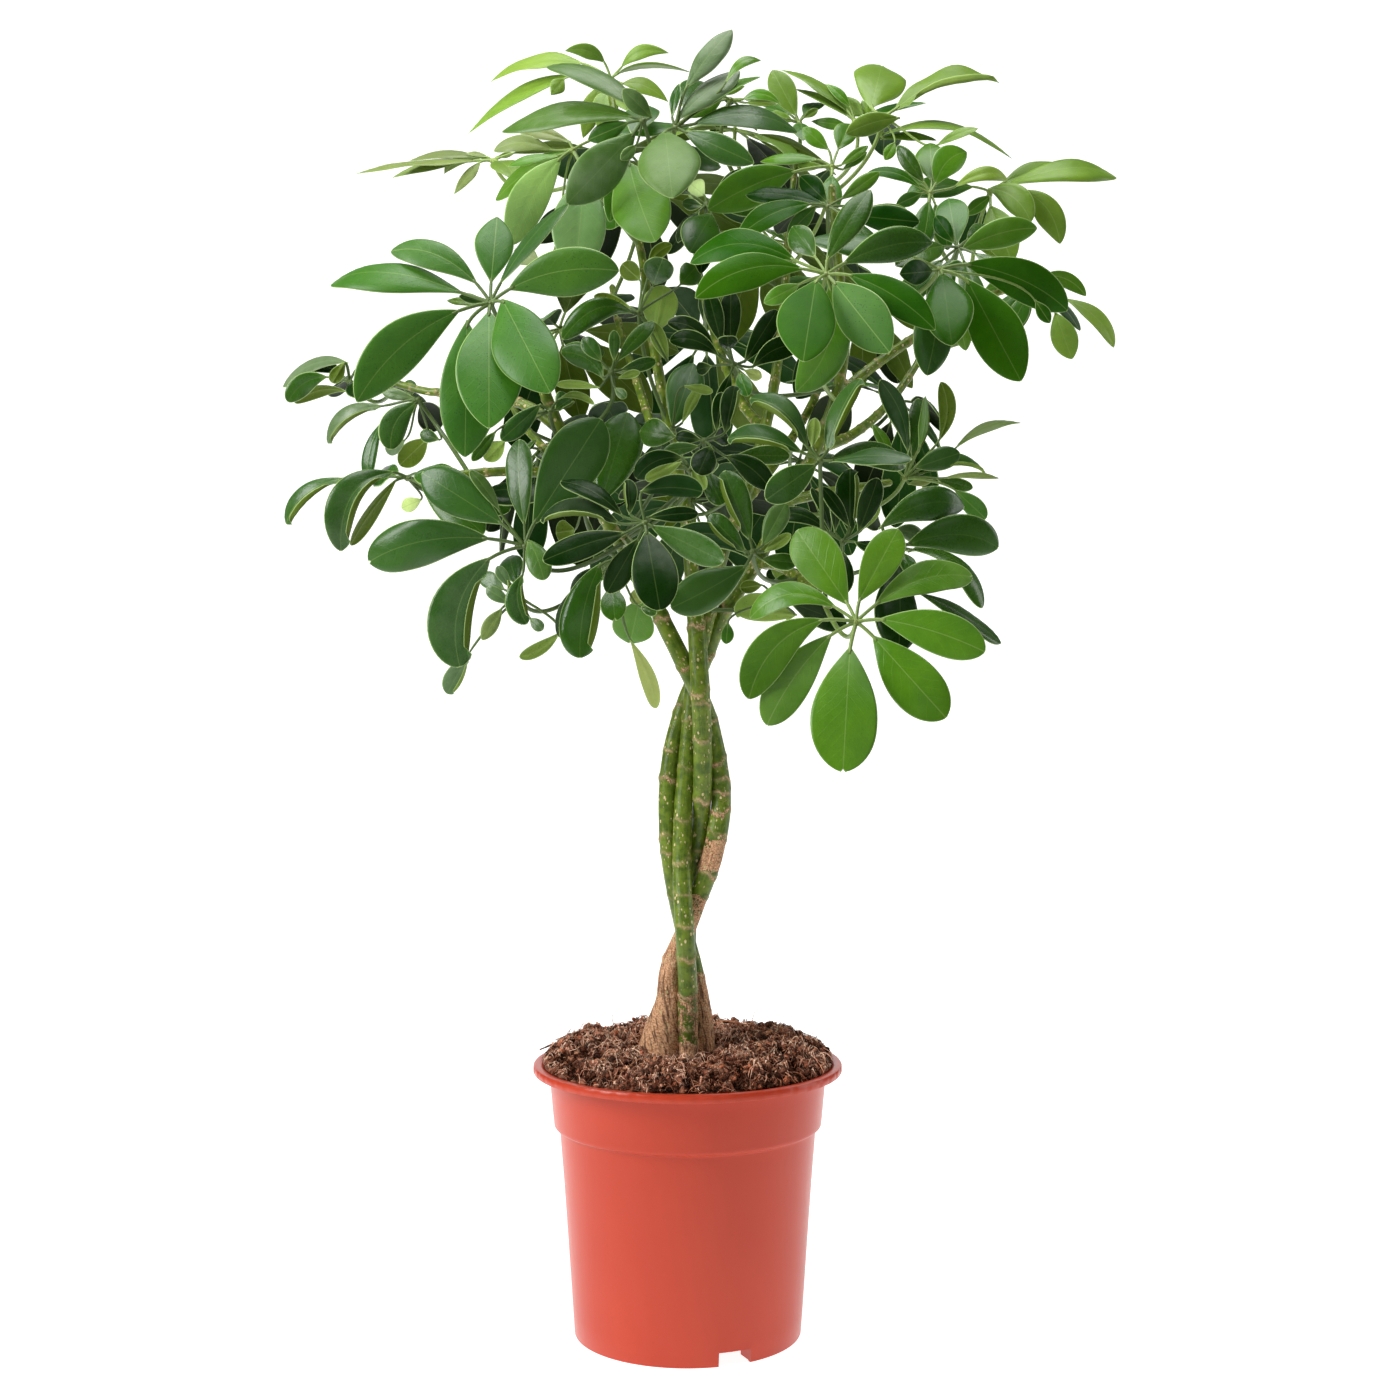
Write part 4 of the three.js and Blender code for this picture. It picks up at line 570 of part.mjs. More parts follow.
    [22.3,61.9,850.9, 31.3,62.9,854.8, 39.8,66.6,858.2, 0.19,-0.97,0.15, 5.9],
    [29.6,68.3,850.5, 30,83.6,853.5, 29.5,99.1,852.2, 0.18,-0.05,0.98, 11.9],
    [27.2,68.6,845.3, 22.4,86.7,839.7, 18,101.7,827.9, -0.06,0.45,0.89, 17.1],
    [23.2,53.6,848.7, 9.9,39.3,848.7, -4.7,27.9,842.9, 0.22,-0.43,0.88, 16.7],
    [38.2,64.5,848.8, 55.2,72.9,848, 70.2,83.2,842.9, 0.38,-0.37,0.85, 16.8],
    [34.4,67.3,845.7, 42,80,841.2, 49,90.9,832.7, 0.13,0.42,0.9, 11.6] ] },
  { name: 'leaf_54', petiole: [[-48.5,35,821], [-48.7,38.1,821.7], [-51.5,67.7,830.5], [-53.5,87.9,841.7], [-54.7,98.7,855.2], [-55.1,100,871]], leaflets: [
    [-59.3,96.9,881.5, -71.4,89.4,888.2, -87.3,89.4,888.1, 0.19,-0.94,-0.28, 10.8],
    [-47.9,97.1,878, -33.5,86.2,886.7, -13.5,87.2,886.1, -0.29,-0.95,0.09, 11],
    [-52.2,98.7,873.5, -25.1,87.3,876.8, 2.8,80.5,869.8, 0.05,-0.06,1, 19.7],
    [-74,105.8,883, -110.3,112.7,886.5, -143.8,124.5,875.4, -0.24,-0.6,0.76, 24.7],
    [-79.8,106.8,876.2, -124,114.4,863.3, -159.9,131.3,838.8, -0.49,-0.52,0.7, 31.2],
    [-88,89.9,868.6, -91.7,83.7,862.2, -96.6,79.8,855, 0.47,-0.82,0.32, 11.5],
    [-62.9,98.2,866.3, -68.3,91.3,847.2, -74.7,90.1,827.2, 0.17,-0.97,0.15, 15.9],
    [-57.1,95.9,863.7, -59.1,83.4,847, -62,76,827.7, 0.16,-0.87,0.46, 18.8],
    [-52.1,95.8,865.1, -46.3,85.6,854.6, -38.8,79.1,842.3, -0.37,-0.84,0.4, 14.4],
    [-47.9,97.7,866.9, -30.7,88.1,863.2, -14.3,87.2,851.8, -0.33,-0.94,-0.08, 11.5] ] }
];

// ---- helpers ----
function toSolid(geometry) {
  const g = geometry.index ? geometry.toNonIndexed() : geometry.clone();
  g.deleteAttribute('normal');
  g.deleteAttribute('uv');
  const m = mergeVertices(g, 1e-4);
  return new wasm.Manifold(new wasm.Mesh({
    numProp: 3,
    vertProperties: new Float32Array(m.attributes.position.array),
    triVerts: new Uint32Array(m.index.array),
  }));
}

function toGeometry(solid) {
  const m = solid.getMesh();
  const p = new Float32Array(m.numVert * 3);
  for (let i = 0; i < m.numVert; i++) p.set(m.vertProperties.subarray(i * m.numProp, i * m.numProp + 3), i * 3);
  const g = new THREE.BufferGeometry();
  g.setAttribute('position', new THREE.BufferAttribute(p, 3));
  g.setIndex(new THREE.BufferAttribute(new Uint32Array(m.triVerts), 1));
  g.computeVertexNormals();
  return g;
}

const join = (list) => list.reduce((a, b) => a.add(b));
const biggest = (solid) => solid.decompose().sort((a, b) => b.volume() - a.volume())[0];
const V = (a, i = 0) => new THREE.Vector3(a[i], a[i + 1], a[i + 2]);

// A round rod along a curve, with a radius for each of its points.
function rod(points, radii, sides, steps) {
  const curve = new THREE.CatmullRomCurve3(points, false, 'centripetal');
  const shape = new THREE.Shape();
  for (let k = 0; k < sides; k++) {
    const a = (2 * Math.PI * k) / sides;
    if (k) shape.lineTo(Math.cos(a), Math.sin(a));
    else shape.moveTo(Math.cos(a), Math.sin(a));
  }
  shape.closePath();
  const g = new THREE.ExtrudeGeometry(shape, { steps, extrudePath: curve, curveSegments: 1 });
  const rings = curve.getSpacedPoints(steps);
  const at = rings.map((c) => {
    let best = 0, far = Infinity;
    points.forEach((p, i) => { const d = p.distanceTo(c); if (d < far) { far = d; best = i; } });
    // radius between the nearest point and its neighbour on the other side of c
    const i = best, prev = points[Math.max(i - 1, 0)], next = points[Math.min(i + 1, points.length - 1)];
    const j = c.distanceTo(prev) < c.distanceTo(next) ? Math.max(i - 1, 0) : Math.min(i + 1, points.length - 1);
    if (j === i) return radii[i];
    const di = c.distanceTo(points[i]), dj = c.distanceTo(points[j]);
    return (radii[i] * dj + radii[j] * di) / (di + dj);
  });
  const pos = g.attributes.position, v = new THREE.Vector3();
  for (let n = 0; n < pos.count; n++) {
    v.fromBufferAttribute(pos, n);
    let k = 0, far = Infinity;
    rings.forEach((c, i) => { const d = v.distanceTo(c); if (d < far) { far = d; k = i; } });
    v.sub(rings[k]).multiplyScalar(at[k]).add(rings[k]);
    pos.setXYZ(n, v.x, v.y, v.z);
  }
  const made = toSolid(g);
  // the corners of the far end
  made.end = [];
  for (let n = 0; n < pos.count; n++) {
    v.fromBufferAttribute(pos, n);
    const own = rings.reduce((b, c, i) => (v.distanceTo(c) < v.distanceTo(rings[b]) ? i : b), 0);
    if (own === steps && !made.end.some((p) => p.distanceTo(v) < 1e-3)) made.end.push(v.clone());
  }
  return made;
}

// ---- pot ----
const lathe = (profile) => toSolid(
  new THREE.LatheGeometry(profile.map(([r, z]) => new THREE.Vector2(r, z)), POT_SIDES).rotateX(Math.PI / 2));

function pot() {
  const t = WALL;
  const profile = [
    [0, 0], [FOOT_DISC_R, 0], [FOOT_DISC_R + 3, CHANNEL_H], [FOOT_RING_R - 1.5, CHANNEL_H], [FOOT_RING_R, 0],
    [BASE_R, 0], [81.6, 62], [WALL_TOP_R, SHOULDER_Z - 7],
    [89.2, SHOULDER_Z - 1.5], [BAND_BOTTOM_R, SHOULDER_Z + 2.5],
    [BAND_TOP_R, POT_H - RIM_LIP - 1], [RIM_R - 1.2, POT_H - RIM_LIP], [RIM_R, POT_H - RIM_LIP + 1.2],
    [RIM_R - 1, POT_H], [MOUTH_R, POT_H], [MOUTH_R - 2.6, POT_H - 1.8],
    [BAND_TOP_R - t, POT_H - RIM_LIP - 2], [BAND_BOTTOM_R - t, SHOULDER_Z + 3],
    [WALL_TOP_R - t, SHOULDER_Z - 9], [81.6 - t, 62],
    [FOOT_RING_R + 1, CHANNEL_H + t], [FOOT_DISC_R + 3.6, CHANNEL_H + t], [FOOT_DISC_R + 0.8, 2.2], [0, 2.2],
  ];
  let body = lathe(profile);
  for (let i = 0; i < DRAIN_HOLES; i++) {
    const a = ((i + 0.5) * 2 * Math.PI) / DRAIN_HOLES, r = (FOOT_DISC_R + FOOT_RING_R) / 2 + 1;
    body = body.subtract(toSolid(new THREE.CylinderGeometry(DRAIN_R, DRAIN_R, 12, 8)
      .rotateX(Math.PI / 2).translate(r * Math.cos(a), r * Math.sin(a), CHANNEL_H + 1)));
  }
  for (const deg of NOTCH_ANGLES) {
    const a = (deg * Math.PI) / 180;
    body = body.subtract(toSolid(new THREE.BoxGeometry(16, NOTCH_W, 2 * NOTCH_H)
      .translate(BASE_R - 1.5, 0, 0).rotateZ(a)));
  }
  return body;
}

// ---- soil, filling the pot and mounded round the stems ----
function soil(stems) {
  const t = WALL + GAP, inner = (r) => r - t;
  const profile = [
    [0, 2.2 + GAP], [FOOT_DISC_R + 0.2, 2.2 + GAP], [FOOT_DISC_R + 3.1, CHANNEL_H + WALL + GAP + 0.1],
    [FOOT_RING_R - 0.2, CHANNEL_H + WALL + GAP + 0.1], [inner(81.6), 62],
    [inner(WALL_TOP_R) - 0.1, SHOULDER_Z - 9], [inner(BAND_BOTTOM_R) - 0.3, SHOULDER_Z + 5],
    [91.5, 177.9], [95.3, 183.4], [94.4, SOIL_EDGE_Z], [87.5, SOIL_EDGE_Z + 5],
    [74, SOIL_TOP_Z - 0.6], [45, SOIL_TOP_Z], [0, SOIL_TOP_Z - 1],
  ];
  let body = lathe(profile);
  for (const s of stems) body = body.subtract(s);
  return biggest(body);
}

// ---- stems ----
function stem(lines, extra) {
  return join(lines.map((line, i) => {
    const pts = line.map((p) => V(p)), radii = line.map((p) => p[3] + extra);
    const steps = i ? Math.max(line.length - 2, 5) : line.length - 1;
    return rod(pts, radii, i ? STEM_SIDES - 1 : STEM_SIDES, steps);
  }));
}

// ---- leaflets: a leaf blade with a raised midrib, on its own short stalk ----
const outline = (u) => (u < 0.56
  ? Math.sin((Math.PI / 2) * (u / 0.56)) ** 1.05
  : Math.max(1 - ((u - 0.56) / 0.44) ** 2.4, 0) ** 0.6);

function leaflet(collar, row) {
  const B = V(row, 0), M = V(row, 3), T = V(row, 6), up = V(row, 9).normalize(), W = row[12];
  const curve = new THREE.QuadraticBezierCurve3(B, M.clone().multiplyScalar(2).sub(B.clone().add(T).multiplyScalar(0.5)), T);
  const L = B.distanceTo(T);
  const stations = L > 60 ? [0.26, 0.56, 0.84] : L > 28 ? [0.34, 0.78] : [0.56];
  const pts = [];
  const section = (P, t, w, low, high) => {
    const n = up.clone().addScaledVector(t, -up.dot(t)).normalize();
    const b = new THREE.Vector3().crossVectors(t, n);
    pts.push(
      P.clone().addScaledVector(b, -w / 2).addScaledVector(n, -low),
      P.clone().addScaledVector(n, high),
      P.clone().addScaledVector(b, w / 2).addScaledVector(n, -low));
  };
  section(curve.getPoint(0.02), curve.getTangent(0.02), Math.max(STALK_W, W * 0.1), STALK_W * 0.35, STALK_W * 0.4);
  // the collar's corners, turned round to match the stalk's end
  const mid = (q) => q[0].clone().add(q[1]).add(q[2]).divideScalar(3);
  const ca = mid(collar), cb = mid(pts);
  const match = (s) => [0, 1, 2].reduce((sum, k) => sum
    + collar[(k + s) % 3].clone().sub(ca).normalize().dot(pts[k].clone().sub(cb).normalize()), 0);
  const turn = [0, 1, 2].sort((p, q) => match(q) - match(p))[0];
  pts.unshift(...[0, 1, 2].map((k) => collar[(k + turn) % 3]));
  for (const u of stations) {
    const w = W * outline(u);
    section(curve.getPoint(u), curve.getTangent(u), w, Math.max(0.06 * w, 0.45), BLADE_RIB);
  }
  pts.push(T);
  const rings = stations.length + 2, index = [0, 1, 2];
  for (let i = 0; i < rings - 1; i++) {
    for (let k = 0; k < 3; k++) {
      const a = 3 * i + k, b = 3 * i + ((k + 1) % 3);
      index.push(a, a + 3, b + 3, a, b + 3, b);
    }
  }
  const last = 3 * (rings - 1), tip = 3 * rings;
  for (let k = 0; k < 3; k++) index.push(last + k, tip, last + ((k + 1) % 3));
  return closed(pts, index);
}

// A closed mesh with its faces turned outwards.
function closed(pts, index) {
  const g = new THREE.BufferGeometry().setFromPoints(pts);
  g.setIndex(index);
  const made = toSolid(g);
  if (made.volume() > 0) return made;
  for (let i = 0; i < index.length; i += 3) [index[i + 1], index[i + 2]] = [index[i + 2], index[i + 1]];
  g.setIndex(index);
  return toSolid(g);
}

// The hub at the top of a leaf stalk: a low crown with one three-cornered collar for each
// leaflet stalk, spread round the axis in the order of the leaflets.
function crown(hub, axis, leaflets, end) {
  const x = new THREE.Vector3(1, 0, 0);
  if (Math.abs(axis.x) > 0.8) x.set(0, 1, 0);
  x.addScaledVector(axis, -axis.dot(x)).normalize();
  const y = new THREE.Vector3().crossVectors(axis, x);
  const N = leaflets.length, turnTo = leaflets.map((row) => {
    const d = V(row).sub(hub);
    return Math.atan2(d.dot(y), d.dot(x));
  });
  const order = turnTo.map((_, i) => i).sort((a, b) => turnTo[a] - turnTo[b]);
  const at = order.map((i) => turnTo[i]);
  const R = Math.max(HUB_R, (N * 1.6) / (2 * Math.PI)), need = 1.55 / R;
  for (let pass = 0; pass < 400; pass++) {
    for (let k = 0; k < N && N > 1; k++) {
      const j = (k + 1) % N, gap = at[j] - at[k] + (j ? 0 : 2 * Math.PI);
      if (gap < need) { at[k] -= (need - gap) / 2; at[j] += (need - gap) / 2; }
    }
  }
  const ring = (a) => hub.clone().addScaledVector(x, R * Math.cos(a)).addScaledVector(y, R * Math.sin(a))
    .addScaledVector(axis, -0.7);
  const pts = [hub.clone().addScaledVector(axis, 1.1)], index = [], base = [], collars = [];
  const half = 0.65 / R;
  order.forEach((i, k) => {
    const a = at[k], next = (k + 1 < N ? at[k + 1] : at[0] + 2 * Math.PI);
    const n = pts.length;
    const right = ring(a - half), left = ring(a + half);
    const top = hub.clone().addScaledVector(x, (R - 0.25) * Math.cos(a)).addScaledVector(y, (R - 0.25) * Math.sin(a))
      .addScaledVector(axis, 0.55);
    pts.push(right, top, left);
    collars[i] = [left, top, right];
    base.push(n, n + 2);
    index.push(n, n + 2, n + 1, 0, n, n + 1, 0, n + 1, n + 2);
    // the rim between this collar and the next
    const from = a + half, room = next - half - from, extra = Math.ceil(room / 2.6) - 1;
    let last = n + 2;
    for (let e = 1; e <= extra; e++) {
      pts.push(ring(from + (room * e) / (extra + 1)));
      index.push(0, last, pts.length - 1);
      last = pts.length - 1;
      base.push(last);
    }
    index.push(0, last, k + 1 < N ? pts.length : 1);
  });
  // the underside, a band between the rim and the end of the leaf's stalk
  const angle = (p) => { const d = p.clone().sub(hub); return Math.atan2(d.dot(y), d.dot(x)); };
  const inner = end.map((p) => p.clone()).sort((p, q) => angle(p) - angle(q));
  const first = pts.length, n = inner.length, m = base.length;
  pts.push(...inner);
  const wrap = (a) => Math.atan2(Math.sin(a), Math.cos(a));
  let o = base.reduce((b, p, i) => (Math.abs(wrap(angle(pts[p]) - angle(inner[0])))
    < Math.abs(wrap(angle(pts[base[b]]) - angle(inner[0]))) ? i : b), 0);
  let i = 0, oDone = 0, iDone = 0;
  while (oDone < m || iDone < n) {
    const oNext = (o + 1) % m, iNext = (i + 1) % n;
    const stepO = pts[base[oNext]].distanceTo(inner[i]), stepI = inner[iNext].distanceTo(pts[base[o]]);
    if (iDone >= n || (oDone < m && stepO < stepI)) {
      index.push(base[o], first + i, base[oNext]);
      o = oNext; oDone++;
    } else {
      index.push(base[o], first + i, first + iNext);
      i = iNext; iDone++;
    }
  }
  for (let k = 1; k < n - 1; k++) index.push(first, first + k + 1, first + k);
  return { solid: closed(pts, index), collars };
}

// Pieces that share exactly the seams listed (each the corners of one face), as one mesh.
function stitch(pieces, seams) {
  const near = (p, q) => p.distanceToSquared(q) < 1e-7;
  const out = [];
  for (const piece of pieces) {
    const m = piece.getMesh();
    for (let i = 0; i < m.triVerts.length; i += 3) {
      const tri = [0, 1, 2].map((k) => V(m.vertProperties, m.triVerts[i + k] * m.numProp));
      if (!seams.some((seam) => tri.every((p) => seam.some((q) => near(p, q))))) out.push(...tri);
    }
  }
  try {
    return toSolid(new THREE.BufferGeometry().setFromPoints(out));
  } catch {
    return null;
  }
}

// One closed body, still so once its vertices are rounded.
function sound(solid) {
  const body = biggest(solid);
  const merged = mergeVertices(toGeometry(body).deleteAttribute('normal').toNonIndexed(), 1e-3);
  let again;
  try {
    again = new wasm.Manifold(new wasm.Mesh({
      numProp: 3,
      vertProperties: new Float32Array(merged.attributes.position.array),
      triVerts: new Uint32Array(merged.index.array),
    }));
  } catch {
    return false;
  }
  if (again.decompose().length !== 1 || Math.abs(again.volume() - body.volume()) > 0.1) return false;
  const m = again.getMesh(), key = (v) => [0, 1, 2].map((k) => Math.round(m.vertProperties[v * m.numProp + k] * 1e4)).join();
  const edges = new Map();
  for (let i = 0; i < m.triVerts.length; i += 3) {
    const t = [0, 1, 2].map((k) => key(m.triVerts[i + k]));
    if (t[0] === t[1] || t[1] === t[2] || t[0] === t[2]) continue;
    for (let k = 0; k < 3; k++) {
      const e = [t[k], t[(k + 1) % 3]].sort().join('/');
      edges.set(e, (edges.get(e) || 0) + 1);
    }
  }
  return [...edges.values()].every((n) => n === 2);
}

function leaf(data, around) {
  const cut = (solid) => around.reduce((s, r) => s.subtract(r), solid);
  const pts = data.petiole.map((p) => V(p));
  const hub = pts[pts.length - 1].clone(), before = pts[pts.length - 2];
  // the hub moves by a fraction of a millimetre where pieces would otherwise just graze
  for (let turn = 0; turn < 12; turn++) {
    pts[pts.length - 1].copy(hub).add(new THREE.Vector3(Math.cos(turn), Math.sin(turn), Math.cos(2 * turn)).multiplyScalar(0.06 * turn));
    const top = pts[pts.length - 1], axis = top.clone().sub(before).normalize();
    const stalk = (h, r) => {
      const to = [...pts.slice(0, -1), top.clone().addScaledVector(axis, h)];
      return rod(to, to.map(() => r), 4, 4);
    };
    const rodTo = stalk(-0.7, PETIOLE_R);
    const { solid, collars } = crown(top, axis, data.leaflets, rodTo.end);
    const pieces = [solid, rodTo, ...data.leaflets.map((row, i) => leaflet(collars[i], row))];
    // joined on the faces they share, or stitched along them
    const met = join(pieces), sewn = stitch(pieces, [rodTo.end, ...collars]);
    if (sound(cut(met))) return biggest(cut(met));
    if (sewn && Math.abs(sewn.volume() - met.volume()) < 0.05 && sound(cut(sewn))) return biggest(cut(sewn));
    // or joined as pieces that reach into the hub
    const inset = (c) => {
      const m = c[0].clone().add(c[1]).add(c[2]).divideScalar(3);
      return c.map((p) => p.clone().lerp(m, 0.15).lerp(top, 0.2));
    };
    const apart = cut(join([solid, stalk(-0.2, 0.93 * PETIOLE_R),
      ...data.leaflets.map((row, i) => leaflet(inset(collars[i]), row))]));
    if (sound(apart)) return biggest(apart);
  }
  throw new Error(data.name + ' does not close');
}

// ---- the plant ----
const plant = new THREE.Group();
const potted = new THREE.Group(), trunk = new THREE.Group(), foliage = new THREE.Group();
plant.add(potted, trunk, foliage);

// Each mesh stands at its own natural origin inside its group.
function place(group, name, solid, origin, color, roughness) {
  const g = toGeometry(solid).translate(-origin.x, -origin.y, -origin.z);
  const mesh = new THREE.Mesh(g, new THREE.MeshStandardMaterial({ color, roughness, metalness: 0 }));
  mesh.name = name;
  mesh.position.copy(origin);
  group.add(mesh);
}

const wide = Object.values(STEMS).map((lines) => stem(lines, GAP));
place(potted, 'pot', pot(), new THREE.Vector3(0, 0, 0), 0xc65a41, 0.42);
place(potted, 'soil', soil(wide), new THREE.Vector3(0, 0, Math.round(SOIL_EDGE_Z)), 0x3b2a1f, 0.95);
for (const [name, lines] of Object.entries(STEMS)) {
  place(trunk, name, stem(lines, 0), V(lines[0][0]).round(), 0x5d7a35, 0.6);
}
for (const data of LEAVES) {
  place(foliage, data.name, leaf(data, wide), V(data.petiole[data.petiole.length - 1]).round(), 0x3f7a33, 0.45);
}

export default plant;
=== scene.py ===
import math

import bpy
import numpy as np
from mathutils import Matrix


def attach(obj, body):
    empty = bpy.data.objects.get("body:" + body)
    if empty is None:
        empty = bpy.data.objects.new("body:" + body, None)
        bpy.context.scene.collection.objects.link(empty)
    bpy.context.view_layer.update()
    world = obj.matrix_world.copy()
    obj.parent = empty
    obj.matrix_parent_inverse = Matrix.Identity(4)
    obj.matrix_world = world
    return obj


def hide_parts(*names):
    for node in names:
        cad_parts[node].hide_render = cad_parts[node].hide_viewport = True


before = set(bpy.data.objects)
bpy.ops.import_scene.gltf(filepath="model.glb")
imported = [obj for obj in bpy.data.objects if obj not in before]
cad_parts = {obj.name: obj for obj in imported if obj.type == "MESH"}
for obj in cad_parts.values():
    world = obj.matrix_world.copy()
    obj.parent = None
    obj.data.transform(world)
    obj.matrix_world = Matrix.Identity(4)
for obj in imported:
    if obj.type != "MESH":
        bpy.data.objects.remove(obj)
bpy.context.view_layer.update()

# Potted umbrella plant. The tables are in millimetres, in the part's own frame: origin at the centre of
# the pot's base, +Z up. Every piece rides on the one body.
MM = 0.001
rng = np.random.default_rng(20240611)

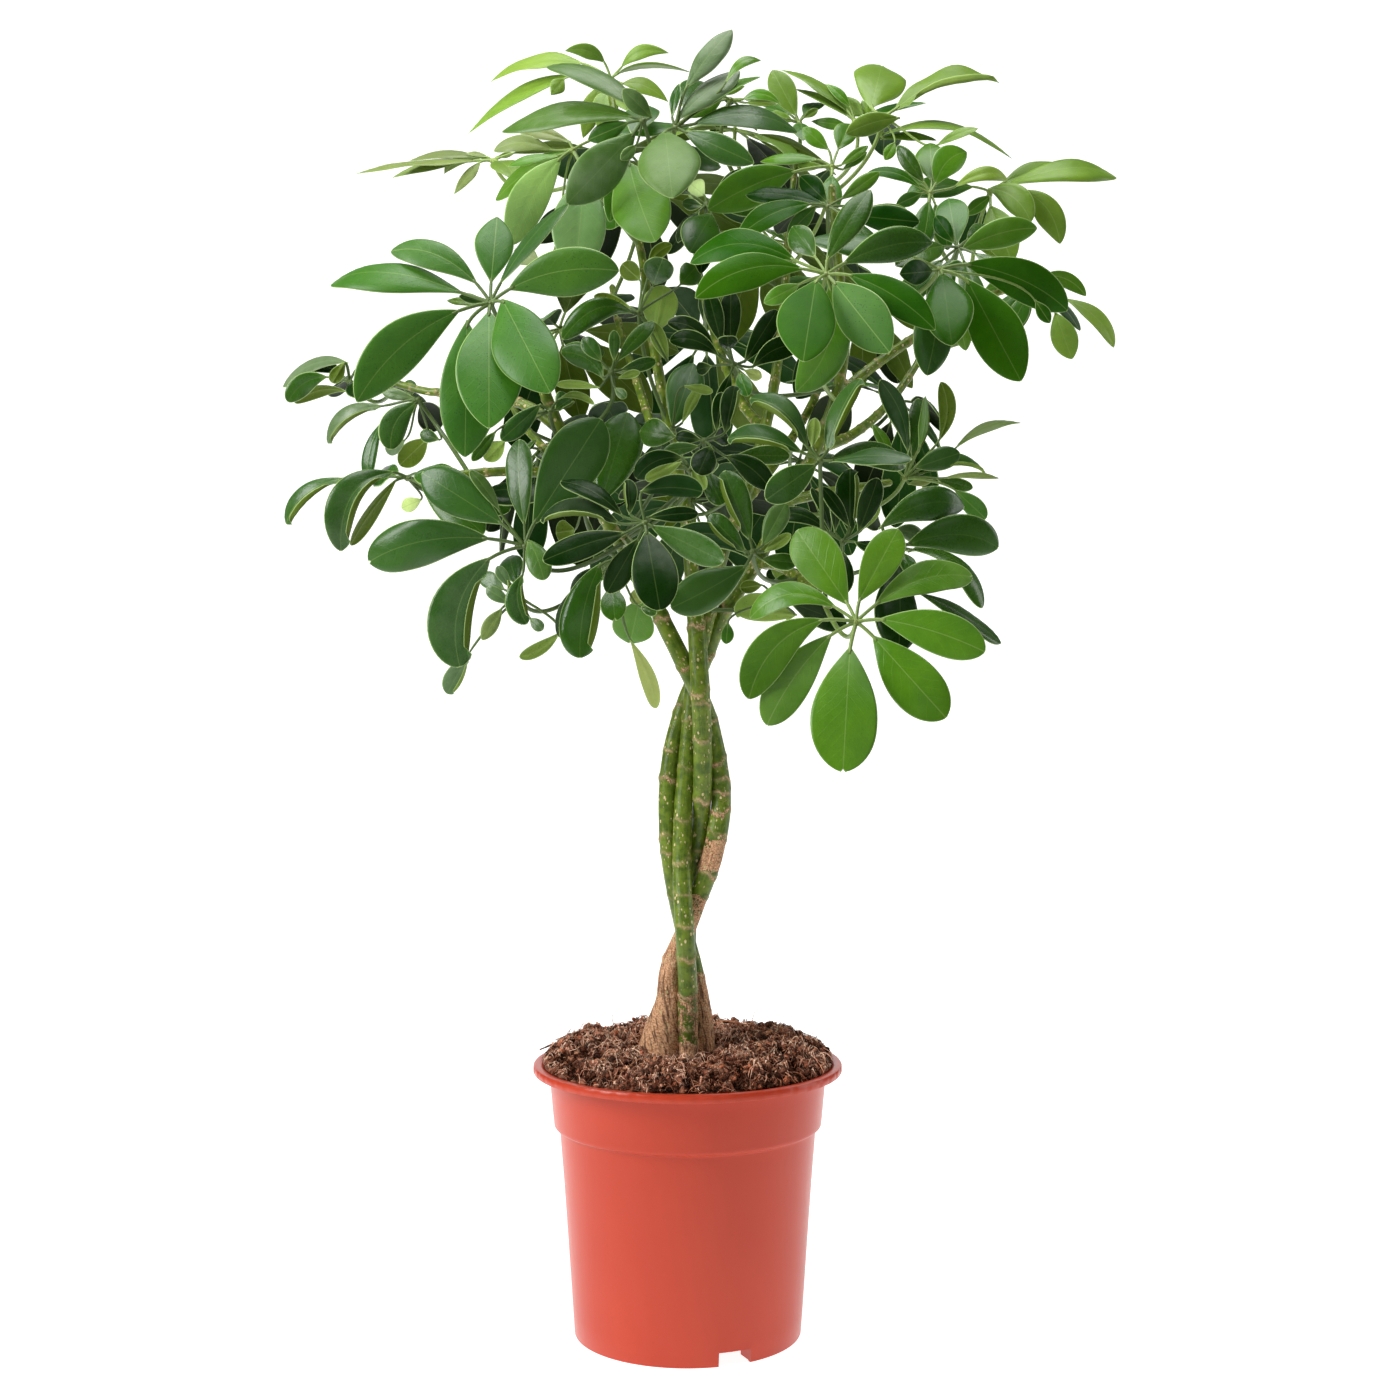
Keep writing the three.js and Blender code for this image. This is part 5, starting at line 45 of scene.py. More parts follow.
# centre lines of the four stems and their side shoots: x, y, z, radius
STEMS = {
    "stem_1": [
        [(0.4, -8.7, 118.5, 5.69), (0.4, -8.7, 143.5, 6.36), (0.4, -8.7, 168.5, 6.7), (0.4, -8.7, 193.5, 6.7), (0.4, -9, 201.7, 6.68), (0.3, -9.5, 210, 6.65), (0.3, -10, 218.3, 6.63), (0.2, -10.8, 226.6, 6.61), (0.2, -11.9, 235, 6.56), (0, -13.4, 243.4, 6.5), (-0.4, -15.1, 251.8, 6.44), (-0.9, -17.2, 260.3, 6.4), (-1.3, -18.9, 268.6, 6.4), (-1.9, -19.2, 276.8, 6.4), (-2.3, -18, 284.7, 6.4), (-2.8, -15.7, 292.5, 6.4), (-3.2, -13.2, 300.2, 6.4), (-3.6, -11, 308.1, 6.4), (-3.7, -9.1, 316, 6.4), (-3.8, -7.6, 323.9, 6.4), (-3.8, -6.2, 331.9, 6.4), (-3.6, -5.1, 339.9, 6.38), (-3.4, -4, 348, 6.32), (-3, -3.1, 356, 6.26), (-2.7, -1.2, 364, 6.2), (-1.9, 0, 372, 6.14), (-1.2, 0.6, 380.1, 6.09), (-0.5, 1.2, 388.2, 6.06), (0.2, 1.8, 396.4, 6.03), (0.9, 2.6, 404.5, 6), (1.5, 3.4, 412.6, 5.97), (2.1, 4.3, 420.7, 5.94), (2.8, 5.4, 428.8, 5.91), (3.5, 6.2, 436.9, 5.85), (4.4, 6.1, 445.1, 5.77), (5.6, 5.1, 453.2, 5.69), (7, 3.8, 461.4, 5.61), (8.8, 2.6, 469.6, 5.52), (10.9, 1.7, 477.7, 5.42), (13, 1.1, 485.8, 5.3), (15, 1, 493.9, 5.18), (16.5, 2.5, 502.4, 5.09), (24.1, 16.6, 533, 4.77), (37.3, 30, 564.7, 4.44), (49.9, 41.7, 604, 4.06), (58.8, 50.6, 642.1, 3.68), (64.3, 56.7, 678.9, 3.31), (67.8, 60, 715.8, 2.94), (70.3, 61.5, 752.4, 2.57), (73.6, 63.4, 789.1, 2.21), (76.2, 65, 813.6, 2.21)],
        [(37.3, 30, 564.7, 3.9), (52.7, 67.5, 584.3, 3.6), (69.9, 105.6, 608.8, 3.3), (87.1, 141.2, 637.4, 3), (102.1, 170, 668.3, 2.7), (111.6, 185.5, 700.9, 2.4), (114.5, 190, 711.8, 2.3)],
        [(53.5, 45, 617.2, 3.9), (41, 86.6, 635.5, 3.6), (30, 126.2, 662.4, 3.3), (19.6, 160.4, 696.4, 3), (9.9, 185, 733.7, 2.7), (5.7, 193.1, 768.7, 2.4), (4.6, 195, 780.3, 2.3)]],
    "stem_2": [
        [(3.5, 10, 114.6, 5.18), (3.5, 10, 139.6, 5.79), (3.5, 10, 164.6, 6.09), (3.5, 10, 189.6, 6.09), (3.3, 10.4, 197.9, 6.07), (3.1, 10.8, 206.1, 6.04), (2.9, 11.3, 214.3, 6), (2.6, 12, 222.4, 5.97), (2.1, 12.9, 230.6, 5.94), (1.5, 13.9, 238.7, 5.91), (0.9, 15.1, 246.8, 5.88), (0.4, 16.5, 254.8, 5.84), (0, 17.9, 262.9, 5.81), (0.1, 18.6, 271.1, 5.8), (0.6, 18.1, 279.5, 5.8), (1.4, 16.1, 288.1, 5.8), (2.3, 13.4, 296.7, 5.8), (3.3, 10.9, 305.3, 5.8), (4.3, 8.8, 313.8, 5.8), (5.4, 7, 322.2, 5.81), (6.5, 5.5, 330.6, 5.86), (7.7, 4.2, 338.9, 5.92), (8.6, 2.9, 347.3, 5.98), (9.2, 1, 355.6, 6.08), (9.8, -2.9, 364.1, 6.2), (10, -5.2, 372.5, 6.32), (10.2, -7, 380.7, 6.4), (10.3, -8.9, 389, 6.44), (10.2, -10.7, 397.2, 6.47), (10, -12.4, 405.4, 6.49), (9.8, -14.3, 413.5, 6.47), (9.5, -16.1, 421.7, 6.44), (9.1, -17.8, 429.8, 6.41), (8.7, -18.5, 437.9, 6.38), (8.3, -18, 445.9, 6.35), (7.7, -16.2, 453.8, 6.32), (7.2, -14.1, 461.8, 6.25), (6.7, -12.1, 469.8, 6.14), (6.2, -10.1, 477.8, 6.02), (5.5, -7.8, 485.9, 5.85), (4.3, -5.6, 493.9, 5.55), (3.6, -2.6, 504, 5.32), (1.5, 10.8, 536.8, 4.84), (-2.5, 20, 567.6, 4.44), (-8.6, 21.6, 598.3, 4.14), (-14.9, 23.6, 629.1, 3.84), (-20.8, 25.3, 659.9, 3.52), (-25.8, 25, 690.4, 3.22), (-29, 22.8, 719.4, 2.93), (-34.5, 19.9, 749.2, 2.62), (-41.5, 22.5, 783.2, 2.24), (-48.5, 35, 821, 2.21), (-52.1, 47.7, 842.2, 2.21), (-53.2, 52, 848.6, 2.21)],
        [(-2.5, 20, 567.6, 3.9), (-15.7, 61.6, 595.4, 3.6), (-27.7, 100.9, 628.4, 3.3), (-39.5, 136.2, 665, 3), (-51.3, 165, 701.2, 2.7), (-56.6, 180.5, 728.6, 2.4), (-58.1, 185, 737.4, 2.3)]],
    "stem_3": [
        [(-20.4, -1.5, 117, 9.73), (-20.4, -1.5, 142, 10.87), (-20.4, -1.5, 167, 11.45), (-20.4, -1.5, 192, 11.45), (-19.7, -1.6, 200.2, 10.76), (-18.6, -1.8, 208.5, 9.78), (-17.4, -2, 216.8, 8.88), (-16.1, -2.3, 225, 8.17), (-14.6, -2.8, 233.3, 7.67), (-13, -3.4, 241.6, 7.32), (-11.1, -4.1, 250, 7.06), (-8.6, -4.9, 258.3, 6.75), (-5.3, -5.9, 266.6, 6.38), (-1.8, -6.1, 274.8, 6.27), (1.5, -5.4, 282.9, 6.35), (4.5, -4.5, 290.9, 6.44), (7.4, -4.1, 299, 6.61), (10.4, -3.7, 307.1, 6.89), (13.3, -3.4, 315.3, 7.12), (15.9, -3.2, 323.4, 7.25), (18, -3, 331.5, 7.21), (19.7, -3, 339.7, 7.12), (21.1, -2.8, 347.8, 7.02), (22.3, -1.7, 355.9, 6.88), (22.8, -0.1, 363.9, 6.72), (22.5, 0, 372, 6.61), (21.8, 0, 380.2, 6.52), (20.7, -0.1, 388.3, 6.43), (19.3, -0.4, 396.5, 6.36), (17.6, -1, 404.7, 6.3), (15.7, -1.9, 412.9, 6.24), (13.3, -3, 421, 6.18), (10.4, -4.5, 429.2, 6.12), (7, -5.7, 437.4, 6.07), (3.2, -6.1, 445.5, 6.03), (-0.7, -5.5, 453.5, 5.99), (-4.8, -4.5, 461.6, 5.95), (-8.8, -3.5, 469.7, 5.9), (-12.9, -2.7, 477.7, 5.76), (-16.8, -2, 485.8, 5.55), (-20.6, -1.4, 493.9, 5.34), (-27, -2.8, 508, 5.14), (-41, -9.7, 531, 4.82), (-54.8, -17.5, 553.9, 4.59), (-67.8, -25, 578.6, 4.35), (-79.9, -32.9, 602.8, 4.12), (-90.3, -37.2, 627.2, 3.88), (-99.1, -42.9, 650.6, 3.65), (-106.7, -55, 670.4, 3.49), (-112.3, -69.9, 677, 3.44), (-114, -75, 678.7, 3.44)],
        [(-67.8, -25, 578.6, 3.9), (-89.6, -28.8, 582.7, 3.6), (-113.7, -32.6, 583.9, 3.3), (-136.8, -35.9, 582.7, 3), (-155.7, -38, 580.5, 2.7), (-171.4, -39.5, 579.4, 2.4), (-176.4, -40, 579.1, 2.3)],
        [(-83.6, -35, 610.8, 3.9), (-103.6, -24.1, 626.4, 3.6), (-128.6, -9.7, 635.9, 3.3), (-153.7, 3, 639.6, 3), (-174.4, 10, 640, 2.7), (-199.3, 24.8, 647.4, 2.4), (-207.7, 30, 650.1, 2.3)],
        [(-50.3, -15, 545.9, 3.9), (-62.7, 26.2, 562.3, 3.6), (-81, 68.4, 583.6, 3.3), (-102.8, 106.4, 607.6, 3), (-123.8, 135, 631.7, 2.7), (-136.7, 154.1, 660.9, 2.4), (-140.6, 160, 670.9, 2.3)],
        [(-39.9, -8, 528.8, 3.9), (-38.6, -39.3, 536.4, 3.3), (-39.4, -72.3, 539.6, 2.7), (-40.8, -95, 540, 2.3)]],
    "stem_4": [
        [(12, -0.5, 116.8, 5.93), (12, -0.5, 141.8, 6.62), (12, -0.5, 166.8, 6.97), (12, -0.5, 191.8, 6.97), (11.4, -0.3, 200, 6.85), (10.6, 0, 208.2, 6.7), (9.6, 0.2, 216.3, 6.55), (8.5, 0.6, 224.5, 6.4), (7.2, 1.2, 232.6, 6.25), (5.7, 2.1, 240.7, 6.12), (4.1, 3.1, 248.8, 6.07), (2.2, 4.3, 256.8, 6.04), (0, 5.7, 264.8, 6.02), (-2.1, 6.6, 272.9, 6.04), (-4.1, 6.3, 281.2, 6.1), (-5.8, 5.2, 289.6, 6.16), (-7.4, 4.8, 297.8, 6.2), (-9, 4.5, 306.1, 6.2), (-10.5, 4.3, 314.3, 6.2), (-11.7, 4.2, 322.5, 6.2), (-12.7, 4.2, 330.7, 6.2), (-13.3, 4.4, 338.9, 6.2), (-13.5, 4.6, 347.1, 6.2), (-13.7, 5, 355.2, 6.2), (-13.7, 5.6, 363.4, 6.2), (-13.4, 6.2, 371.5, 6.2), (-12.9, 7.1, 379.6, 6.2), (-12, 8.2, 387.7, 6.2), (-10.7, 9.5, 395.8, 6.2), (-9.1, 11, 403.9, 6.19), (-7, 12.8, 412, 6.14), (-4.6, 14.8, 420.1, 6.08), (-1.9, 16.9, 428.3, 6.02), (1.2, 18.3, 436.4, 5.97), (4.8, 18.3, 444.6, 5.93), (8.5, 16.9, 452.9, 5.89), (12, 14.8, 461.2, 5.85), (15.2, 12.7, 469.4, 5.8), (18.5, 10.5, 477.6, 5.68), (22.1, 8.1, 485.8, 5.5), (26.5, 5.4, 493.9, 5.32), (36.2, 2.9, 508.8, 5.14), (47.6, 1.5, 526.4, 4.9), (55.8, -1.9, 543.1, 4.7), (68.6, -10, 566.1, 4.47), (81, -17.9, 590.6, 4.24), (91.8, -22.8, 614.7, 4), (99.9, -26.4, 640.6, 3.72), (103.8, -30, 670.2, 3.42), (101.5, -30.5, 699.5, 3.13), (98.4, -27.8, 730.3, 2.81), (96.2, -23.8, 756.4, 2.59), (95.6, -20, 773.2, 2.48)],
        [(68.6, -10, 566.1, 3.9), (88.1, -22, 569.6, 3.5), (107.5, -28.6, 572.7, 3.1), (123.9, -30, 575.1, 2.7), (135.3, -28, 577.1, 2.3)],
        [(97.7, -25, 631.3, 3.9), (113.9, -14.2, 647, 3.6), (138.1, 0.7, 665.9, 3.3), (166.6, 17.3, 685.5, 3), (193.6, 32, 702.2, 2.7), (215.7, 42.6, 712.1, 2.4), (222.9, 46, 715.1, 2.3)],
        [(84.8, -20, 598.8, 3.9), (110.5, 25.4, 611.2, 3.5), (135.8, 69.1, 631.9, 3.1), (158.3, 105.2, 659.2, 2.7), (176.5, 130, 689.5, 2.3)],
        [(46.9, 0, 524.2, 3.9), (59.9, -33, 521.9, 3.5), (72, -72.8, 513.1, 3.1), (81.5, -111.1, 502.5, 2.7), (87.9, -140, 495.3, 2.3)]],
}

# leaves: name, stalk from its stem to its hub, then each leaflet's base, middle, tip, upward normal, width,
# tone of its upper side, tone of its underside, and the side that faces the front
LEAVES = [
    ("leaf_01", [(83.7, -120.9, 500), (84.4, -123.8, 498.1), (87.5, -136.6, 490.3), (90.2, -148.7, 484.3), (92.5, -160, 480.1), (94.5, -170.5, 477.7), (96.2, -180.3, 477), (97.5, -189.3, 478.2), (98.5, -197.5, 481.2), (99.2, -205, 486)], [
        (95.4, -200.4, 495.3, 79.5, -192.2, 519.1, 66, -176.4, 540.4, -0.27, -0.91, 0.31, 27.9, "b", "P", "t", "o", dict(droop=0.03, roll=0.01, fold=0.03, blunt=0.96, tip=0.004)),
        (100.4, -202.8, 497, 112.6, -201.3, 519.4, 124.5, -192.9, 540.4, 0.04, -0.98, 0.2, 22.1, "b", "P", "t", "o", dict(droop=0.03, roll=0.01, fold=0.03, blunt=0.96, tip=0.004)),
        (109.9, -201, 495.3, 138.8, -196.1, 511, 169.7, -183.9, 512.4, 0.1, -0.86, 0.5, 21.9, "b", "P", "t", "o", dict(droop=0.03, roll=0.01, fold=0.03, blunt=0.96, tip=0.004, notch=1.6)),
        (111.7, -207.7, 487.7, 142.1, -217.8, 481, 172.2, -221.1, 468.9, -0.2, -0.98, 0.04, 25.6, "b", "P", "t", "o", dict(droop=0.03, roll=0.01, fold=0.03, blunt=0.96, tip=0.004)),
        (108.3, -207.5, 478.4, 128.3, -218.7, 455.2, 150, -221, 430.9, -0.18, -0.98, 0.12, 30.3, "b", "P", "t", "o", dict(droop=0.03, roll=0.01, fold=0.03, blunt=0.96, tip=0.004)),
        (95.3, -211.5, 472.1, 92, -233.1, 439.2, 89.2, -244.7, 401.5, -0.04, -0.9, 0.43, 38.4, "b", "P", "t", "o", dict(droop=0.03, roll=0.01, fold=0.03, blunt=0.96, tip=0.004, notch=1.6)),
        (85.6, -208, 479.6, 63.6, -213.9, 455, 47, -221.3, 426.8, 0.07, -0.98, 0.19, 24.5, "b", "P", "t", "o", dict(droop=0.03, roll=0.01, fold=0.03, blunt=0.96, tip=0.004)),
        (81.5, -208.4, 487.7, 52.2, -216.5, 471.9, 36.6, -221, 441.8, 0.1, -0.98, 0.17, 24.5, "b", "P", "t", "o", dict(droop=0.03, roll=0.01, fold=0.03, blunt=0.96, tip=0.004)),
        (88.9, -201.4, 493.5, 61.2, -197.8, 502.2, 37.9, -186.9, 488.2, -0.28, -0.8, 0.53, 18.1, "b", "P", "t", "o", dict(droop=0.03, roll=0.01, fold=0.03, blunt=0.96, tip=0.004)),
    ]),
    ("leaf_02", [(15.5, -3.3, 492.7), (21.7, -3.1, 492.5), (30.3, -3.2, 492.4), (37.8, -3.8, 492.6), (44.1, -5, 493), (49.2, -6.8, 493.7), (53.2, -9.2, 494.7), (56.1, -12.2, 496), (57.8, -15.8, 497.5), (58.3, -20, 499.3)], [
        (73.2, -16.9, 489.3, 52.7, -10.3, 491.5, 31.2, -9.6, 493.9, 0.17, 0.99, -0.02, 23.2, "e", "P", "u", "o", dict(hem=1)),
        (49.9, -13.4, 509.3, 43.1, -8.8, 508.4, 35.3, -6.1, 507.4, 0.44, 0.9, 0.07, 9.3, "m", "M", "u", "o"),
        (75.1, -17.4, 505.9, 66, -14, 513.8, 56.5, -13.9, 522, 0.13, 0.99, -0.07, 9.3, "e", "P", "u", "o"),
        (27, -25.9, 484.7, 26.3, -29.8, 477.8, 25.6, -31.8, 470.2, 0.02, -0.93, 0.37, 8.7, "m", "P", "t", "o"),
        (67.6, -36, 517.6, 64.4, -45.4, 509.5, 60.5, -52.1, 499.2, 0.19, -0.78, 0.6, 17.3, "d", "M", "t", "o"),
        (68, -21.1, 497.5, 87.8, -22.8, 490.3, 106.6, -17.7, 482.1, 0.15, -0.98, 0.16, 18.5, "k", "K", "t", "o"),
        (58.8, -14.3, 506.2, 59.1, -2.5, 516.1, 60.1, 11.1, 523.2, -0.2, -0.54, 0.82, 12.6, "k", "K", "t", "o"),
        (65.4, -23, 504.7, 82.9, -27.7, 515.3, 102.3, -28.8, 523.2, -0.39, -0.74, 0.55, 17, "k", "K", "t", "o"),
    ]),
    ("leaf_03", [(-41, -9.7, 531), (-45, -11.6, 527), (-57.8, -17.8, 514.8), (-69.2, -24.1, 505.2), (-79.2, -30.2, 498.2), (-87.8, -36.3, 493.6), (-95, -42.3, 491.7), (-100.8, -48.3, 492.3), (-105.2, -54.2, 495.4), (-108.2, -60, 501.1)], [
        (-119.7, -62.2, 494, -125.8, -65.8, 483.8, -132.3, -66, 473.3, 0.15, -0.98, 0.09, 10.4, "v", "V", "t", "a"),
        (-114.2, -58.7, 496.6, -122.6, -58.3, 501.9, -130.7, -55.2, 506.9, -0.12, -0.98, 0.13, 9.1, "s", "P", "t", "o"),
        (-118.5, -53.9, 505.7, -127.7, -49.9, 511, -135.8, -43.1, 515.6, -0.39, -0.88, 0.28, 11.7, "s", "P", "t", "o"),
        (-114.1, -58.6, 506.9, -118.8, -58.4, 514.3, -123.4, -55.8, 521.2, -0.03, -0.98, 0.17, 7.8, "s", "P", "t", "o"),
        (-115.7, -63.3, 512, -112.1, -65.4, 496.7, -106.1, -70.7, 483.1, -0.54, 0.75, -0.37, 9.4, "m", "M", "u", "o"),
        (-101.3, -66.2, 487.5, -97.2, -70.1, 484, -92.5, -72.4, 479.9, -0.31, -0.88, 0.36, 7.8, "s", "P", "t", "o"),
        (-82, -65.5, 478.5, -94.2, -65.9, 468.4, -108.1, -70.9, 462.5, -0.28, 0.95, 0.13, 9.3, "e", "P", "u", "o"),
        (-141.7, -63.5, 463.6, -148.1, -67.3, 451.2, -155, -67.1, 438.5, 0.13, -0.99, 0.07, 15, "s", "P", "t", "o", dict(hem=-1)),
        (-110.6, -53.4, 508.7, -115.4, -38.1, 521.4, -118.3, -19.3, 528.8, -0.28, -0.53, 0.8, 16.4, "e", "D", "t", "o"),
    ]),
    ("leaf_04", [(-39, -28.8, 534), (-39.1, -32.7, 531.9), (-39.4, -45.5, 525.4), (-39.9, -57.6, 520.5), (-40.4, -69, 517.1), (-41, -79.7, 515.3), (-41.8, -89.6, 515.1), (-42.6, -98.8, 516.5), (-43.5, -107.3, 519.4), (-44.5, -115, 523.9)], [
        (-53.1, -116.9, 522, -63, -127.2, 494.2, -65.6, -130, 463.2, 0.09, -0.98, 0.2, 30.4, "d", "M", "t", "o", dict(hem=-1)),
        (-45.9, -126.1, 508.2, -44.8, -135.7, 498.3, -43.5, -142.1, 486.1, -0.02, -0.81, 0.58, 16.2, "d", "M", "t", "o", dict(notch=1.8)),
        (-29.7, -89.5, 500.3, -33.6, -78.4, 483.7, -36.9, -63.1, 470.7, -0.12, -0.76, -0.64, 27.4, "b", "P", "t", "a", dict(notch=1.8)),
        (-35.5, -107, 474, -24.9, -100.9, 453.7, -18.8, -99, 430.9, 0.67, 0.64, 0.38, 15.9, "w", "V", "u", "r"),
        (-21.7, -107.3, 505.3, -28.2, -102.4, 502.1, -35.7, -99.7, 498.4, 0.39, 0.9, 0.21, 10, "e", "V", "u", "o"),
        (-28.8, -120.9, 494.6, -23.9, -124.6, 492.9, -18.2, -126.8, 490.9, -0.43, -0.89, 0.16, 7.5, "d", "M", "t", "o"),
        (-53, -113, 515.5, -69.9, -109.9, 496.1, -81.5, -98.5, 475.9, -0.54, -0.84, 0.08, 21.3, "k", "K", "t", "o"),
        (-51.9, -106.8, 519.8, -66.9, -92, 508.3, -75.3, -72.8, 496.6, -0.83, -0.55, 0.04, 19.6, "k", "K", "t", "o"),
        (-33.5, -105, 522.7, -15.6, -88.5, 516.9, -1.5, -69.2, 509.2, 0.76, -0.54, 0.37, 21, "k", "K", "t", "o"),
    ]),
    ("leaf_05", [(72, -72.8, 513.1), (70, -76.2, 512.5), (63.5, -87.8, 510.8), (57.8, -98.7, 510.2), (52.9, -109, 510.6), (48.8, -118.5, 512), (45.5, -127.4, 514.5), (43.1, -135.6, 517.9), (41.4, -143.2, 522.4), (40.5, -150, 528)], [
        (39.3, -148.4, 523.2, 18.1, -138.3, 539, -9.4, -132.4, 535.1, 0.37, 0.83, 0.42, 17.9, "d", "D", "u", "o"),
        (39.3, -148.7, 534.1, 30.8, -146.9, 556.8, 23, -138.5, 578.2, -0.1, -0.98, 0.19, 19.7, "d", "M", "t", "o", dict(hem=-1)),
        (46, -148.5, 531, 53.6, -147, 545, 60.8, -141.2, 558, 0.1, -0.97, 0.21, 14.6, "t", "M", "t", "o"),
        (45.4, -148, 523.8, 57, -146, 522.5, 67.6, -141, 521.5, 0.29, -0.95, -0.06, 10.9, "d", "M", "t", "o"),
        (47.2, -148.8, 528, 55.3, -145.6, 533.4, 63.7, -145.1, 539, -0.15, 0.98, -0.1, 7.3, "e", "P", "u", "o"),
        (37.4, -152, 520.1, 15.5, -161.7, 506.5, -9, -164.4, 494.1, 0.2, -0.97, 0.11, 25.5, "d", "M", "t", "o", dict(droop=0.1, fold=0.0, rough=0.42)),
        (36.3, -149.1, 527.4, 24.7, -147.8, 539.3, 13.9, -142.1, 550.7, -0.17, -0.98, 0.13, 15.5, "d", "M", "t", "o", dict(hem=-1)),
    ]),
    ("leaf_06", [(-38.5, -50, 538.2), (-41, -52.6, 536.4), (-52.7, -64.8, 528.6), (-63.1, -76.4, 522.8), (-72.3, -87.1, 519.1), (-80.2, -97.2, 517.5), (-86.9, -106.5, 518), (-92.3, -115.1, 520.6), (-96.4, -122.9, 525.3), (-99.3, -130, 532.1)], [
        (-95.1, -127.2, 544.5, -73.2, -124.4, 578.8, -53.2, -110.6, 611.6, 0.18, -0.98, 0.13, 37, "e", "M", "t", "o"),
        (-99.5, -126.6, 543.9, -103.6, -122.3, 572.4, -104.3, -110.9, 599.1, -0.42, -0.88, 0.21, 19.6, "e", "M", "t", "o"),
        (-112.4, -126.5, 545.2, -139.3, -125.1, 562.3, -164.9, -115, 578.4, -0.14, -0.98, 0.11, 27.7, "e", "M", "t", "o"),
        (-120.6, -125.9, 536.6, -162.7, -126.6, 535.2, -199.5, -110.8, 522.1, -0.17, -0.98, -0.08, 30.8, "e", "M", "t", "o", dict(notch=1.8, wave=0.16, waves=1.6)),
        (-119.8, -134.1, 525.3, -138.8, -142.6, 494.8, -137.7, -147.4, 458.2, 0.14, -0.98, 0.15, 32.9, "e", "M", "t", "o", dict(hem=-1)),
        (-97.2, -132.8, 535.7, -91.1, -144.6, 525.8, -86.2, -150.4, 511, -0.15, -0.84, 0.53, 15.4, "t", "M", "t", "o"),
        (-100.3, -132.7, 514.9, -103.4, -138.5, 499.7, -97.6, -137.6, 484.2, 0.07, -0.98, 0.16, 15.7, "e", "M", "t", "o", dict(hem=-1)),
        (-114.5, -130.5, 553, -122.7, -132.8, 566.4, -132.8, -131.2, 578.7, 0.41, -0.87, 0.27, 9.5, "t", "M", "t", "o"),
    ]),
    ("leaf_07", [(64, -45, 520.1), (67.2, -47.6, 519.2), (78.3, -56.7, 516.4), (88.4, -65.3, 515), (97.6, -73.3, 514.8), (105.9, -80.7, 516), (113.1, -87.6, 518.4), (119.5, -94, 522.1), (124.9, -99.8, 527.1), (129.3, -105, 533.5)], [
        (120.7, -102.3, 543.5, 148.9, -108.5, 559, 176.6, -91.1, 557.2, 0.19, -0.98, 0.03, 22.6, "d", "M", "t", "o"),
        (137, -103.3, 532.9, 169, -105.8, 540.1, 197.1, -90.6, 532, 0.21, -0.98, -0.03, 26.4, "d", "M", "t", "o"),
        (129.6, -100.9, 541.7, 140.9, -96.4, 541.6, 149.6, -90.8, 535.1, 0.39, -0.9, -0.2, 11.3, "s", "M", "t", "o"),
        (137.1, -109.4, 530.2, 165.7, -128.4, 523.7, 180.9, -139.3, 494, 0.34, -0.47, 0.81, 21.8, "d", "M", "t", "o"),
        (144, -97.5, 504.1, 174.1, -91, 490.9, 200.4, -82.9, 471.7, 0.53, -0.43, 0.73, 22.7, "d", "M", "t", "o"),
        (135, -111.6, 528.3, 136.9, -117.9, 522.9, 139.6, -122.4, 516.3, -0.34, -0.76, 0.55, 10, "d", "M", "t", "o"),
        (139, -102.5, 529.1, 160.9, -99.1, 535.5, 182.9, -92, 536.3, 0, -0.56, 0.83, 15.6, "m", "M", "t", "o"),
        (134.1, -101.1, 519.1, 153.8, -93.2, 514.8, 174.4, -90.8, 508.6, -0.16, 0.94, 0.31, 12.9, "e", "P", "u", "o"),
        (130.4, -119.5, 522.3, 130.3, -143.9, 498.4, 128.1, -160.3, 468.6, 0.21, -0.78, 0.59, 29.2, "k", "K", "t", "o"),
    ]),
    ("leaf_08", [(81.5, -111.1, 502.5), (83.4, -112.8, 505), (86.2, -115.6, 508.8), (88.6, -118.4, 512.7), (90.7, -121.1, 516.4), (92.4, -123.9, 520.1), (93.8, -126.7, 523.8), (94.9, -129.4, 527.4), (95.6, -132.2, 530.9), (96, -135, 534.5)], [
        (88.2, -132.4, 539.4, 70.3, -133.2, 551.2, 52.3, -121.8, 549.6, -0.13, -0.88, 0.45, 11.6, "k", "M", "t", "o"),
        (89, -129.5, 539.5, 84.9, -121.6, 555.7, 78.2, -110.5, 568.8, 0.51, -0.62, 0.59, 10.9, "k", "M", "t", "o"),
        (91.2, -133, 540, 91.5, -131.4, 552.9, 91, -126.4, 564.8, 0.23, -0.94, 0.25, 7.7, "k", "M", "t", "o"),
        (100.4, -133.8, 538.2, 100.4, -132.2, 559.9, 100.9, -124.7, 580.3, -0.07, -0.98, 0.21, 18.5, "k", "M", "t", "o", dict(hem=1)),
        (104.9, -138.5, 539.8, 110.5, -146.8, 555.4, 116.1, -150.2, 572.7, -0.02, -0.94, -0.33, 14.7, "k", "M", "t", "o"),
        (107.8, -133, 541.9, 112.7, -130.2, 550.3, 117.8, -130.1, 559.1, -0.03, 0.99, -0.15, 9.2, "e", "P", "u", "o"),
        (100.1, -137.6, 542.9, 92.2, -143.6, 555.2, 82.5, -145.7, 567.5, 0.41, -0.91, -0.01, 9.4, "k", "M", "t", "o"),
        (95.6, -142.1, 528.8, 94.8, -154, 516.8, 93.7, -161.2, 501.5, 0.05, -0.82, 0.57, 13.5, "k", "K", "t", "o"),
        (102.3, -143.4, 534.3, 114.1, -158.8, 529.9, 127.1, -171.5, 521.5, -0.23, -0.56, 0.8, 14.4, "k", "K", "t", "o"),
    ]),
